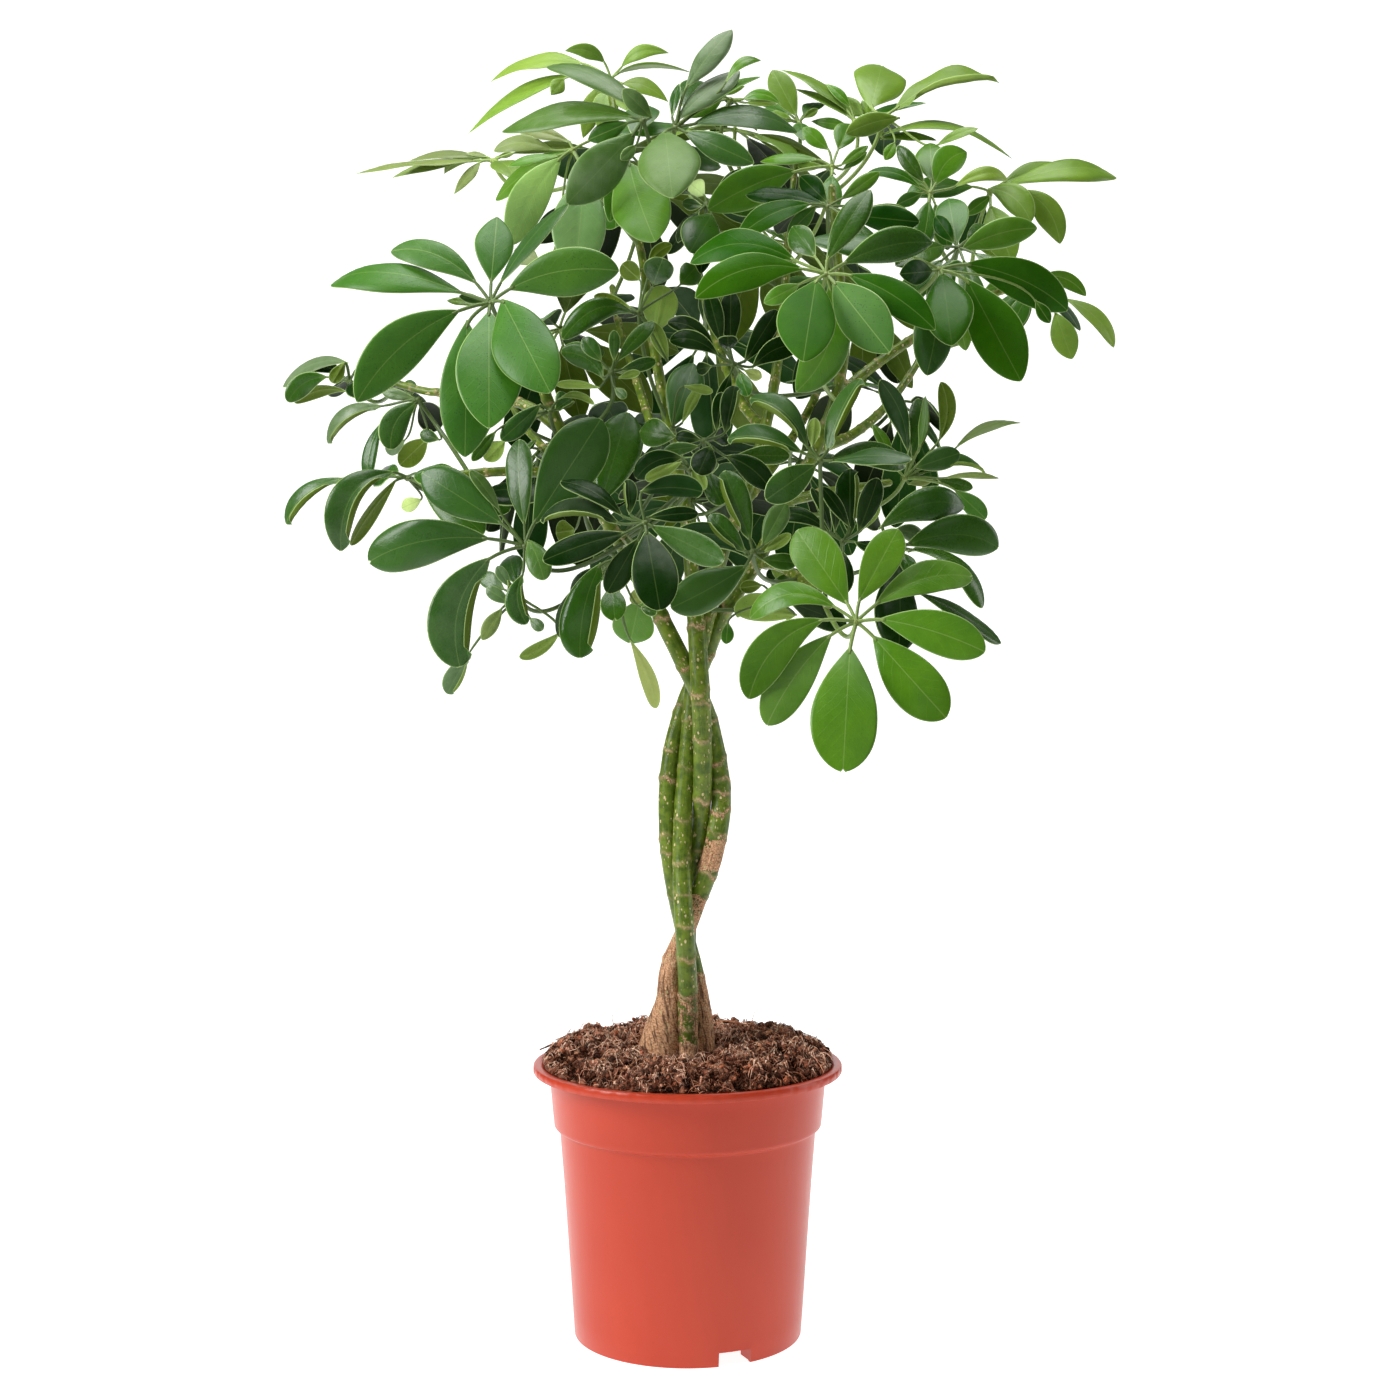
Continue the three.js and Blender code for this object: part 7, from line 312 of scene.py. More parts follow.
    ("leaf_25", [(127.4, 54.6, 623.8), (127.8, 58.7, 623.5), (129.4, 73.5, 622.6), (131.5, 86.7, 622.8), (134, 98.5, 624), (137, 108.7, 626.1), (140.5, 117.4, 629.3), (144.5, 124.6, 633.5), (148.9, 130.2, 638.7), (153.8, 134.3, 644.9)], [
        (161, 127.1, 638, 176.1, 109.7, 620.4, 184.1, 91.8, 599.1, 0.88, 0.07, 0.46, 25.3, "m", "D", "t", "o"),
        (160.6, 134.7, 633.3, 174.8, 134.7, 604.6, 181.3, 131.2, 573.4, 0.87, 0.4, 0.28, 27.9, "e", "D", "t", "o"),
        (155.7, 141.3, 629.6, 158.6, 156.1, 592.8, 153.8, 163.3, 554, 0.7, 0.69, 0.18, 34.6, "e", "D", "t", "o"),
        (145.7, 127.7, 651.8, 120.2, 107.2, 669.2, 91.5, 85.1, 676.9, 0.31, 0.16, 0.94, 32.3, "m", "D", "t", "o"),
        (149, 122, 648.6, 126, 89.6, 654.7, 101.3, 58.2, 649.8, 0.15, -0.09, 0.99, 35.1, "m", "D", "t", "o"),
        (149.7, 147.8, 631.9, 142, 168.7, 607.6, 131, 181.6, 579.3, 0.34, 0.84, 0.42, 29.4, "m", "K", "t", "o"),
        (161, 121.2, 643.8, 173.6, 94.9, 635.5, 180.9, 67.9, 623.7, 0.83, 0.1, 0.55, 29.1, "e", "K", "t", "o"),
        (139.1, 132.5, 651.4, 105.5, 126.4, 660.6, 70.8, 119.6, 659, 0.1, 0.07, 0.99, 33.2, "d", "K", "t", "o"),
        (159.2, 149.2, 637.6, 170.3, 178.7, 617.1, 172.2, 203.3, 588.6, 0.71, 0.37, 0.6, 31.6, "e", "K", "t", "o"),
    ]),
    ("leaf_26", [(99.9, -26.4, 640.6), (95.6, -28, 639.4), (80.6, -34.1, 635.5), (67.6, -40.2, 633), (56.5, -46.2, 632), (47.4, -52.1, 632.5), (40.2, -57.9, 634.4), (34.9, -63.7, 637.8), (31.5, -69.4, 642.6), (30.1, -75, 648.9)], [
        (21.2, -73, 654.2, 5.1, -76.5, 664.3, -11.5, -66.5, 665.1, -0.21, -0.98, -0.05, 12.8, "k", "M", "t", "o"),
        (18.6, -71.4, 657.5, 4.7, -71.4, 672.4, -12.8, -62.2, 677.2, -0.26, -0.96, 0.04, 11.5, "k", "M", "t", "o"),
        (16.1, -66.8, 649.1, 10.4, -63.4, 648.1, 5.8, -58.6, 647.5, -0.58, -0.78, -0.23, 9, "k", "M", "t", "o"),
        (27.6, -72.5, 657.4, 27.9, -69.6, 678.7, 28.3, -61, 698.4, -0.01, -0.96, 0.27, 14.1, "k", "M", "t", "o"),
        (22.4, -72.4, 661.9, 17.8, -71.9, 679.5, 13.5, -66.3, 696.4, -0.08, -0.98, 0.15, 12.8, "k", "M", "t", "o"),
        (26, -91.1, 656.5, 25.9, -99.7, 658.8, 25.8, -107.2, 663.3, 0, -0.39, -0.92, 13.1, "k", "M", "t", "o"),
        (36.5, -73, 650.4, 47.8, -69.9, 668.7, 58, -60.9, 685.6, 0.18, -0.96, 0.22, 14.1, "k", "M", "t", "o"),
        (41.6, -72.8, 647.2, 56.1, -74, 658.7, 72.5, -66.6, 662.6, 0.2, -0.98, 0, 15.4, "k", "M", "t", "o"),
        (36.4, -79, 645.3, 42.5, -81.6, 642.3, 47.6, -86, 639.5, 0.48, 0.87, -0.11, 7.7, "d", "V", "u", "o"),
        (28.2, -76.5, 644.3, 23.9, -82.4, 631.8, 19.2, -84.6, 618.2, 0.11, -0.96, 0.26, 9.6, "k", "M", "t", "o"),
        (33.2, -78.8, 644, 35.6, -85.6, 636.6, 38.7, -90.1, 627.8, -0.24, -0.83, 0.5, 10.3, "m", "M", "t", "o"),
    ]),
    ("leaf_27", [(-199.3, 24.8, 647.4), (-200.1, 27.9, 646.8), (-206, 46.8, 643.2), (-211.6, 62.7, 640.9), (-217.1, 75.6, 640), (-222.4, 85.5, 640.4), (-227.6, 92.4, 642.2), (-232.6, 96.3, 645.3), (-237.4, 97.2, 649.7), (-242.1, 95, 655.4)], [
        (-244, 98.8, 669.3, -270.6, 108.3, 669.8, -293.4, 112.5, 653.6, -0.39, -0.62, 0.68, 18.2, "s", "P", "t", "o"),
        (-258.2, 97.7, 659.2, -275.8, 101.1, 655.3, -288.1, 103.4, 641.9, -0.05, -0.97, -0.23, 15.8, "d", "M", "t", "o"),
        (-243.9, 97.2, 648.5, -263.8, 108.1, 651.7, -284.8, 108.9, 642.4, 0.03, 0.55, 0.84, 12.9, "m", "M", "u", "o"),
        (-244.6, 89.2, 669, -249.2, 86.9, 660.9, -252.8, 82.2, 653.4, -0.35, 0.91, -0.22, 10.1, "m", "M", "u", "o"),
        (-246.1, 105.1, 657.4, -255.2, 128.8, 658.7, -258.2, 153.2, 652.5, -0.62, -0.08, 0.78, 21.8, "k", "K", "t", "o"),
        (-249.8, 101.4, 661.6, -265, 116.6, 670.1, -278.4, 135.1, 674.3, -0.32, -0.56, 0.77, 18.1, "k", "K", "t", "o"),
        (-230.2, 91.8, 654.5, -207.2, 87.1, 651.3, -186.3, 85, 640.1, 0.25, -0.31, 0.92, 20.5, "k", "K", "t", "o"),
        (-240.1, 86, 654.7, -235.2, 67.2, 650.8, -227.4, 52, 640.9, -0.4, -0.47, 0.79, 14.1, "k", "K", "t", "o"),
        (-239.1, 98.3, 663.2, -229.8, 106.3, 678.6, -219.1, 118.7, 689.7, -0.21, -0.69, 0.69, 15.3, "k", "K", "t", "o"),
    ]),
    ("leaf_28", [(-104.4, -50.7, 665), (-104.8, -55.1, 664), (-106, -69.3, 661.5), (-107.5, -82.2, 660.3), (-109.1, -94, 660.4), (-110.8, -104.6, 661.7), (-112.6, -114, 664.4), (-114.6, -122.2, 668.3), (-116.8, -129.2, 673.5), (-119.1, -135, 679.9)], [
        (-134.8, -130.2, 685.4, -181.2, -128.6, 699.3, -223.5, -105, 697.7, -0.09, -0.68, 0.73, 31.6, "m", "P", "t", "a", dict(rough=0.42)),
        (-127.4, -131.1, 691.4, -154.1, -129, 710.5, -183.4, -114.6, 714.7, -0.06, -0.88, 0.48, 21.4, "m", "P", "t", "a", dict(rough=0.42)),
        (-119.8, -127.3, 692.6, -118.6, -117, 716.8, -118.4, -100.4, 737.4, 0.14, -0.85, 0.51, 24.6, "m", "P", "t", "a", dict(rough=0.42)),
        (-114.5, -131.5, 690.7, -96.1, -123.7, 720.2, -74, -111.7, 745.3, -0.56, -0.56, 0.62, 24.1, "e", "P", "t", "a", dict(rough=0.42)),
        (-108.5, -137.7, 687.4, -76, -149.2, 697, -40.4, -152.1, 696.7, -0.18, -0.97, -0.18, 30.1, "m", "P", "t", "a", dict(rough=0.42)),
        (-111.9, -140.2, 681.6, -97.2, -168.5, 654.2, -79.7, -187.2, 620.8, -0.25, -0.83, 0.51, 38.1, "m", "P", "t", "a", dict(rough=0.42)),
        (-120.1, -137.8, 675.3, -117.5, -166.3, 640.6, -115.9, -184.2, 599.4, 0.08, -0.85, 0.52, 40.5, "m", "P", "t", "a", dict(rough=0.42)),
        (-133.4, -138.7, 669.1, -132.6, -153.1, 628.2, -133.2, -155.8, 584.9, 0.11, -0.97, 0.2, 35.6, "m", "P", "t", "a", dict(rough=0.42)),
        (-137, -138.8, 675.2, -171.2, -152.1, 651.9, -198, -156, 617.9, 0.26, -0.96, 0.01, 30.7, "m", "P", "t", "a", dict(rough=0.42)),
        (-124.4, -124.1, 682, -131.7, -126.9, 683.5, -139.4, -127.5, 685.2, 0.2, -0.97, -0.09, 6.2, "e", "P", "t", "a"),
        (-127.1, -122.1, 680.5, -137.7, -119.7, 682.8, -148.1, -116.3, 684.3, -0.11, -0.79, 0.6, 6.6, "p", "V", "t", "a"),
    ]),
    ("leaf_29", [(-12.8, 22.8, 618.8), (-14.8, 21.3, 623.2), (-18.9, 17.9, 632.6), (-22.5, 14.4, 641.8), (-25.5, 10.7, 650.6), (-27.9, 6.8, 659.2), (-29.8, 2.9, 667.5), (-31.2, -1.3, 675.4), (-32, -5.6, 683.1), (-32.3, -10, 690.5)], [
        (-35.6, -11.1, 689.7, -58.7, -32.5, 690.6, -82.6, -28.1, 670.4, 0.24, -0.94, 0.25, 18.2, "d", "M", "t", "o"),
        (-37, -8.3, 694, -49.3, -2.6, 698.6, -62.7, -0.6, 703.1, 0.3, 0.95, 0.03, 9.4, "m", "M", "u", "o"),
        (-22.5, -31.9, 705.8, -19.5, -43.9, 711.4, -15.5, -53.7, 720, -0.25, -0.58, -0.78, 20.2, "e", "M", "t", "o"),
        (-21.8, -1.8, 678.9, -19.2, 8.3, 694.3, -16, 13.7, 711.8, -0.12, 0.91, -0.41, 24.2, "e", "P", "u", "o"),
        (-13, -6.4, 658.4, -18.3, -2.6, 671.7, -23.8, -2.9, 685.4, 0.07, 0.99, -0.1, 10.7, "e", "P", "u", "o"),
        (-31.9, 2.2, 714.1, -37.5, 9.5, 719.9, -44.4, 14.3, 726.7, 0.48, 0.82, -0.32, 13.4, "m", "M", "u", "o"),
        (-25, -7.4, 720.7, -20.3, -4.6, 730.7, -10.3, -4.7, 736.3, -0.17, 0.99, 0, 9.4, "m", "M", "u", "o"),
        (-5.1, 6.9, 711.5, 1.5, 14.1, 719.9, 6.3, 23.9, 726.8, 0.5, -0.74, 0.44, 17.5, "d", "M", "t", "o"),
        (-35, -1.4, 693.5, -39.7, 16.9, 695.7, -44.9, 35, 693.8, 0.14, 0.03, 0.99, 14.7, "k", "K", "t", "o"),
    ]),
    ("leaf_30", [(97.7, -25, 631.3), (96.4, -29.7, 631.9), (90.8, -51.3, 635.2), (86.4, -71.3, 639.7), (83.1, -89.5, 645.5), (81, -106, 652.7), (80, -120.8, 661), (80.2, -133.9, 670.7), (81.6, -145.3, 681.6), (84.1, -155, 693.9)], [
        (84.2, -152.6, 702, 97.8, -148.3, 726.8, 112.3, -136.8, 748.5, -0.12, -0.92, 0.38, 19.3, "d", "M", "t", "a"),
        (93.2, -152.7, 700.2, 122.1, -153.2, 711.6, 150.4, -140.7, 715.3, 0.23, -0.97, -0.08, 21.8, "d", "M", "t", "a"),
        (95.8, -158.6, 693.9, 122.7, -171.6, 679.6, 147.3, -177.4, 658.2, -0.11, -0.93, 0.34, 22.2, "n", "P", "t", "a"),
        (88.1, -158.2, 689.8, 102, -178.1, 668, 119.6, -190.2, 643.3, -0.41, -0.86, 0.31, 30.3, "m", "P", "t", "a", dict(rough=0.55, bloom=0.0)),
        (77.7, -161.8, 689.9, 73.1, -191, 666.2, 67.7, -212.4, 635.6, 0.08, -0.74, 0.67, 35.1, "n", "P", "t", "a", dict(rough=0.55, bloom=0.0)),
        (71.9, -158.7, 696.3, 37.6, -173.2, 695, 5.4, -179.3, 677.3, 0.17, -0.91, 0.39, 24.5, "n", "P", "t", "a"),
        (66.9, -149.8, 702.4, 33.2, -147.3, 713.9, 2.3, -132.2, 704.6, -0.22, -0.85, 0.48, 22.8, "n", "P", "t", "a"),
        (78.5, -145.8, 705.4, 70.6, -138.4, 717.5, 64.7, -127.2, 727.8, -0.44, -0.8, 0.4, 16.9, "d", "M", "t", "a"),
        (85.9, -153.8, 689.3, 85.9, -150.5, 653.5, 66.9, -138, 625.6, -0.08, -0.97, -0.22, 27.8, "b", "P", "t", "a"),
        (68.6, -152.5, 688.9, 57.7, -152.4, 683.2, 47, -148.9, 678, -0.08, -0.98, -0.16, 10.9, "b", "P", "t", "a"),
        (95.7, -151.9, 679.4, 106.2, -151.5, 664.5, 116.8, -146.1, 650.7, -0.01, -0.98, -0.21, 13.3, "b", "P", "t", "a"),
    ]),
    ("leaf_31", [(-39.5, 136.2, 665), (-42.8, 138.2, 665.8), (-53.2, 144.8, 668.8), (-62.5, 151.1, 672.3), (-70.9, 157.3, 676.3), (-78.3, 163.3, 680.8), (-84.7, 169, 685.9), (-90, 174.5, 691.5), (-94.4, 179.8, 697.6), (-97.7, 184.8, 704.3)], [
        (-100, 171.3, 705.7, -104.7, 137.9, 707.1, -105.2, 104.8, 700.1, -0.45, -0.04, 0.89, 29.5, "m", "D", "t", "o"),
        (-93.1, 171.8, 713.7, -80.6, 138.4, 732.9, -65.8, 101.9, 741.6, -0.22, 0.29, 0.93, 35.2, "b", "M", "t", "a"),
        (-86.3, 179.4, 709.1, -64.7, 155.5, 721.1, -42.1, 129.8, 723.9, -0.11, 0.19, 0.98, 30, "m", "D", "t", "o"),
        (-79.8, 186.4, 703.5, -42.6, 187.7, 699.6, -7.5, 182.7, 687.7, 0.2, 0.61, 0.77, 32.6, "b", "M", "t", "a"),
        (-88.2, 191.3, 697.5, -57.9, 209.2, 674.2, -28.5, 217.1, 644.9, 0.08, 0.86, 0.51, 36.9, "b", "M", "t", "a"),
        (-96, 191.9, 694.4, -90.8, 208.2, 667.7, -83.5, 216.6, 637.9, -0.25, 0.91, 0.34, 27.7, "b", "M", "t", "a"),
        (-105.1, 190.3, 691.5, -123, 202.2, 656, -134.4, 205.6, 616.2, -0.56, 0.74, 0.37, 36.2, "m", "D", "t", "o"),
        (-107.3, 182.5, 697.3, -133.1, 178, 675.5, -152.3, 168.7, 649, -0.7, 0.51, 0.5, 29.7, "m", "D", "t", "o"),
        (-107.3, 175.1, 700.4, -128.3, 151.3, 689.5, -142.4, 126.1, 672.5, -0.74, 0.17, 0.65, 29.2, "b", "M", "t", "a"),
        (-91.9, 170.4, 700.8, -79.7, 141.6, 690.5, -68.6, 115.5, 673.8, 0.14, -0.39, 0.91, 28.7, "m", "K", "t", "o"),
    ]),
    ("leaf_32", [(101.5, -30.5, 699.5), (104.3, -33.4, 698.3), (114, -44, 694.4), (122.9, -54.1, 691.9), (130.9, -63.8, 690.7), (138, -73, 690.8), (144.2, -81.7, 692.2), (149.5, -89.9, 695), (153.9, -97.7, 699.1), (157.3, -105, 704.5)], [
        (153.1, -109.5, 703.2, 143.5, -123.2, 700.3, 130.4, -133.8, 697.7, 0.73, -0.68, -0.03, 16.3, "r", "M", "t", "a"),
        (159, -107.3, 702.9, 158.5, -134.8, 680.7, 159.9, -155.2, 652.1, -0.19, -0.72, 0.67, 31.4, "d", "M", "t", "a", dict(gloss=0.12, bloom=0.0)),
        (173.8, -108.5, 699, 188.7, -120.8, 666.9, 206.2, -123.1, 633.8, -0.25, -0.96, 0.09, 32.7, "n", "P", "t", "a"),
        (172.7, -101.8, 708.7, 209.8, -102.2, 698.6, 240.9, -87.2, 681.5, 0.11, -0.96, -0.25, 26.4, "n", "P", "t", "a"),
        (161.5, -101.2, 707.5, 169.1, -96.9, 707.5, 175.3, -90.7, 707.9, 0.6, -0.78, -0.19, 8.8, "m", "P", "t", "a"),
        (167.8, -101.8, 686.3, 171.4, -101.6, 670.4, 175.4, -96.9, 655.2, -0.1, -0.98, -0.18, 12.6, "b", "P", "t", "a"),
        (217.9, -100.9, 686.5, 222.9, -100, 679.2, 228.1, -96.8, 672.7, -0.03, -0.95, -0.31, 8.8, "n", "P", "t", "a"),
        (156, -112.3, 693.3, 153.5, -127.4, 666.2, 147, -132.6, 636.2, 0.36, -0.9, 0.26, 27.1, "e", "D", "t", "a"),
        (143.7, -106.9, 711.1, 110.3, -109.3, 721.3, 75.7, -104.5, 723.8, 0.11, -0.68, 0.72, 27.1, "e", "D", "t", "a"),
    ]),
    ("leaf_33", [(12.6, 178.4, 721.4), (12.6, 181.5, 719.5), (12.1, 198.4, 710.3), (11.8, 213.9, 703.3), (11.6, 228.2, 698.7), (11.5, 241.2, 696.3), (11.6, 252.8, 696.3), (11.7, 263.2, 698.5), (11.9, 272.3, 703.1), (12.3, 280.2, 709.9)], [
        (20.8, 282.6, 697.3, 42.9, 287.4, 662.7, 59.9, 282.2, 625.4, 0.45, 0.86, 0.24, 36, "b", "M", "t", "a"),
        (13.7, 289.5, 697.9, 17.5, 312, 663.1, 20.3, 323.9, 623.3, 0.08, 0.9, 0.42, 36.3, "m", "D", "t", "o"),
        (3.9, 283.9, 697.5, -16.3, 291.4, 665.7, -33, 289.2, 631.2, -0.34, 0.91, 0.26, 33.5, "e", "D", "t", "o"),
        (0.8, 280.6, 705.8, -30.4, 279.8, 692.5, -57.7, 272.5, 673.6, -0.42, 0.69, 0.59, 29.6, "m", "D", "t", "o"),
        (0, 273.6, 711, -32.1, 254.5, 711.6, -59.9, 230.7, 703.8, -0.41, 0.44, 0.8, 32.6, "b", "D", "t", "a"),
        (7.1, 271.3, 716.5, -7.9, 243.6, 732.8, -21.9, 211.9, 740.1, -0.1, 0.41, 0.91, 30.9, "b", "D", "t", "a"),
        (14, 266, 713, 21.7, 232.7, 730.9, 28.3, 195.5, 738.9, 0.1, 0.36, 0.93, 33.6, "m", "D", "t", "o"),
        (23.4, 269.3, 709.6, 48.8, 245.3, 706.4, 69.2, 218.9, 695.2, 0.52, 0.24, 0.82, 30.6, "e", "D", "t", "o"),
        (28.1, 278.3, 705.5, 62.6, 272, 693.3, 92.1, 259.3, 674.7, 0.48, 0.62, 0.62, 32.3, "m", "D", "t", "o"),
        (-6.8, 278.6, 717.6, -40.5, 273.6, 726.9, -73.9, 262.6, 724.1, -0.02, 0.45, 0.89, 33.9, "m", "K", "t", "o"),
    ]),
    ("leaf_34", [(175.9, 22.5, 691.6), (175.6, 18.8, 692.3), (174.7, 7, 694.7), (174, -4.1, 697.7), (173.5, -14.4, 701.2), (173.3, -24, 705.2), (173.4, -32.9, 709.7), (173.7, -41, 714.7), (174.2, -48.4, 720.2), (175, -55, 726.2)], [
        (174.5, -53.5, 727.7, 172.6, -39.4, 749.1, 172.3, -20.1, 765.9, -0.23, -0.74, 0.63, 22.1, "m", "P", "t", "a"),
        (176.3, -54.4, 724.4, 202.1, -51.1, 736.1, 228.5, -41.9, 741.2, 0.25, -0.97, -0.05, 19.5, "b", "P", "t", "a"),
        (173.2, -53.6, 729, 166.5, -50.4, 739.5, 161.2, -43.9, 749.3, -0.36, -0.91, 0.22, 11.7, "r", "P", "t", "a"),
        (165.4, -66.4, 725.3, 149.8, -85.6, 719.6, 131, -98, 708, 0.34, -0.71, 0.61, 22, "d", "D", "t", "a"),
        (165.6, -57.6, 718.9, 148.4, -62.2, 702.2, 133.4, -60.2, 683, -0.32, -0.88, 0.35, 20.4, "d", "D", "t", "a"),
        (177, -64.5, 717.8, 180.9, -80.5, 698.1, 183.4, -91.4, 675, 0.23, -0.81, 0.54, 17.9, "d", "D", "t", "a"),
        (180.9, -48.8, 731.9, 195.2, -32.1, 740.6, 207.3, -12.4, 745.3, 0.41, -0.56, 0.72, 19.2, "d", "D", "t", "a"),
        (171.1, -61.7, 719.4, 162.9, -75.8, 702.1, 154.8, -82.5, 680.8, -0.02, -0.88, 0.48, 16.8, "d", "D", "t", "a"),
        (183.8, -61.2, 722.2, 200, -72.3, 711.3, 215.3, -77.7, 695.8, 0.12, -0.77, 0.62, 16.5, "d", "D", "t", "a"),
    ]),
    ("leaf_35", [(170.4, 121.7, 679.4), (173.7, 121.3, 680), (188.3, 119.1, 683.3), (201.5, 116.9, 687.3), (213.1, 114.4, 692), (223.2, 111.8, 697.5), (231.8, 109.1, 703.6), (238.9, 106.2, 710.5), (244.4, 103.2, 718.1), (248.4, 100, 726.5)], [
        (252.2, 101.7, 731, 271.4, 108.3, 730.8, 287.2, 112.6, 719, 0.22, -0.95, -0.22, 11.6, "b", "P", "t", "a"),
        (267.6, 94.4, 715, 288.6, 85.7, 701, 302.7, 81.9, 678.8, 0.3, -0.78, 0.55, 17.7, "p", "P", "t", "a"),
        (261.6, 92.1, 704.8, 266.1, 84.1, 688.1, 272.1, 81, 670.2, -0.28, -0.94, 0.22, 18.8, "p", "P", "t", "a"),
        (244.5, 98, 731.9, 228.5, 90.5, 725.8, 211.1, 88, 719.8, 0.29, -0.96, 0, 11.5, "b", "P", "t", "a"),
        (246, 108.7, 721.5, 240.8, 125.9, 709.5, 235.6, 140.1, 694.2, 0.01, 0.66, 0.75, 18.9, "m", "D", "t", "a"),
        (243.1, 93.3, 719, 234.9, 82.8, 704.6, 226.1, 76.9, 688.2, 0.12, -0.9, 0.42, 14.7, "m", "D", "t", "a"),
        (257.8, 106.6, 722.6, 273.6, 119.4, 711.5, 286.5, 131.7, 696.7, 0.6, 0.12, 0.79, 20.2, "m", "D", "t", "a"),
        (248.7, 112.3, 726.8, 249, 134.8, 723.4, 246.5, 156, 715.1, 0.48, 0.25, 0.84, 18.4, "m", "D", "t", "a"),
        (240.7, 100.2, 721.8, 226.1, 99.8, 711.4, 214.4, 103.1, 698.2, -0.52, -0.69, 0.5, 15.1, "m", "D", "t", "a"),
    ]),
    ("leaf_36", [(97.6, 161.6, 657.8), (98.9, 163.4, 660.8), (103.1, 169.2, 670.6), (107.3, 174.9, 680), (111.4, 180.5, 689), (115.4, 186.1, 697.7), (119.3, 191.6, 706.1), (123.2, 197, 714.1), (127, 202.3, 721.7), (130.7, 207.6, 729)], [
        (142.3, 201.6, 725.5, 165.8, 187.4, 716.2, 184, 170.1, 701.7, 0.66, 0.39, 0.64, 25.3, "b", "M", "t", "a"),
        (140.3, 208.1, 716.7, 158.3, 207.7, 690.6, 169.8, 202.2, 661.5, 0.74, 0.58, 0.33, 27.7, "b", "M", "t", "a"),
        (132.3, 213.7, 716.6, 134.5, 224.1, 692, 133.2, 228.3, 665.6, 0.48, 0.84, 0.25, 23.4, "b", "M", "t", "a"),
        (123.6, 217.4, 718.6, 104.8, 239.8, 690.8, 84.3, 252.1, 658.4, 0.16, 0.9, 0.41, 35.1, "b", "D", "t", "a"),
        (119.9, 213.1, 727.7, 85.8, 228, 721.2, 51.5, 235.3, 707.6, 0.03, 0.72, 0.69, 32.8, "b", "D", "t", "a"),
        (118.7, 204.9, 729.1, 88.9, 181.9, 713.4, 67.7, 154.3, 692.2, -0.77, 0.41, 0.49, 35.5, "b", "D", "t", "a"),
        (119, 199.7, 736, 97.3, 175.5, 736.4, 72.2, 155.8, 729.9, 0.38, -0.51, 0.77, 28.4, "m", "D", "t", "o"),
        (129.8, 192.2, 735.7, 127.3, 165.3, 745, 121.9, 137.2, 747, 0.36, 0.14, 0.92, 24.9, "b", "D", "t", "a"),
        (135.6, 195.4, 728.1, 149.4, 156.9, 723.3, 155.7, 118.6, 710, 0.65, -0.01, 0.76, 35.8, "b", "D", "t", "a"),
        (138.6, 215.4, 719.8, 152.5, 230.1, 696.6, 164, 238.5, 669.3, 0.31, 0.8, 0.52, 24.4, "m", "K", "t", "o"),
    ]),
    ("leaf_37", [(103.7, -30.5, 679.9), (102.4, -32.2, 683.8), (99.5, -36.6, 693.2), (97, -41, 702.4), (94.9, -45.6, 711.1), (93.2, -50.3, 719.6), (91.8, -55.1, 727.6), (90.9, -59.9, 735.3), (90.3, -64.9, 742.7), (90.1, -70, 749.7)], [
        (88.9, -69.4, 751.1, 62.6, -63.4, 758.7, 37.5, -51.5, 761.4, -0.14, -0.77, 0.62, 18.8, "r", "M", "t", "a"),
        (90.2, -68.3, 752.6, 80.5, -62, 763.3, 73, -52.1, 772.8, -0.48, -0.84, 0.26, 14.2, "r", "M", "t", "a"),
        (79.7, -73.1, 751.1, 55.4, -86.3, 743.1, 31.7, -88.6, 727, 0.02, -0.86, 0.52, 19, "n", "M", "t", "a"),
        (82.4, -71.5, 750.1, 73.7, -75.7, 740.9, 64.3, -76.3, 731.6, 0.19, -0.98, 0.07, 10.9, "m", "P", "t", "a"),
        (97.9, -67.6, 754.6, 111.7, -65.5, 764.4, 124.1, -58.9, 774, 0.27, -0.96, 0.06, 10.3, "b", "P", "t", "a"),
        (104, -72.8, 744.2, 125.2, -80, 740.7, 147.7, -81.2, 738.3, -0.21, -0.97, -0.16, 18, "r", "M", "t", "a"),
        (114.7, -65.4, 749.9, 129.4, -64.6, 748.1, 143.4, -59.9, 747.1, 0.16, -0.97, -0.21, 11.2, "m", "P", "t", "a", dict(hem=1)),
        (83.2, -58, 751.5, 71.4, -33.4, 752, 59.7, -10.3, 743.3, -0.01, 0.16, 0.99, 21.2, "d", "K", "t", "a"),
        (98, -78.2, 743.6, 111.4, -90.6, 730.1, 123, -98.7, 712.3, 0.3, -0.67, 0.68, 17.2, "d", "K", "t", "a"),
    ]),
    ("leaf_38", [(67.8, 60, 715.8), (64.2, 59.5, 717.5), (51.3, 57.2, 724.4), (40.2, 54.4, 731.2), (30.9, 50.9, 737.7), (23.5, 46.9, 744.2), (18, 42.3, 750.4), (14.3, 37.1, 756.5), (12.5, 31.4, 762.5), (12.5, 25, 768.2)], [
        (16.5, 14.1, 760.2, 10.9, -10.4, 746.5, 1.8, -30, 727.6, 0.44, -0.62, 0.65, 28.9, "d", "M", "t", "a"),
        (23.4, 27.9, 765.4, 37.6, 29.3, 765.4, 50.9, 34.7, 765.2, 0.24, -0.97, 0.06, 8.5, "d", "M", "t", "a"),
        (10.4, 26.7, 767.9, 2.4, 31.2, 769.8, -4, 37.8, 771.9, -0.62, -0.78, -0.05, 8.9, "e", "M", "t", "a"),
        (11.8, 34.4, 776.1, 5.4, 43.5, 783.3, 1.4, 54.9, 788.8, -0.65, -0.61, 0.45, 15.1, "w", "V", "t", "a"),
        (6.1, 25.8, 761.9, -4.6, 27, 749.1, -13.5, 32.8, 736.2, -0.37, -0.93, 0.03, 12.6, "k", "K", "t", "a"),
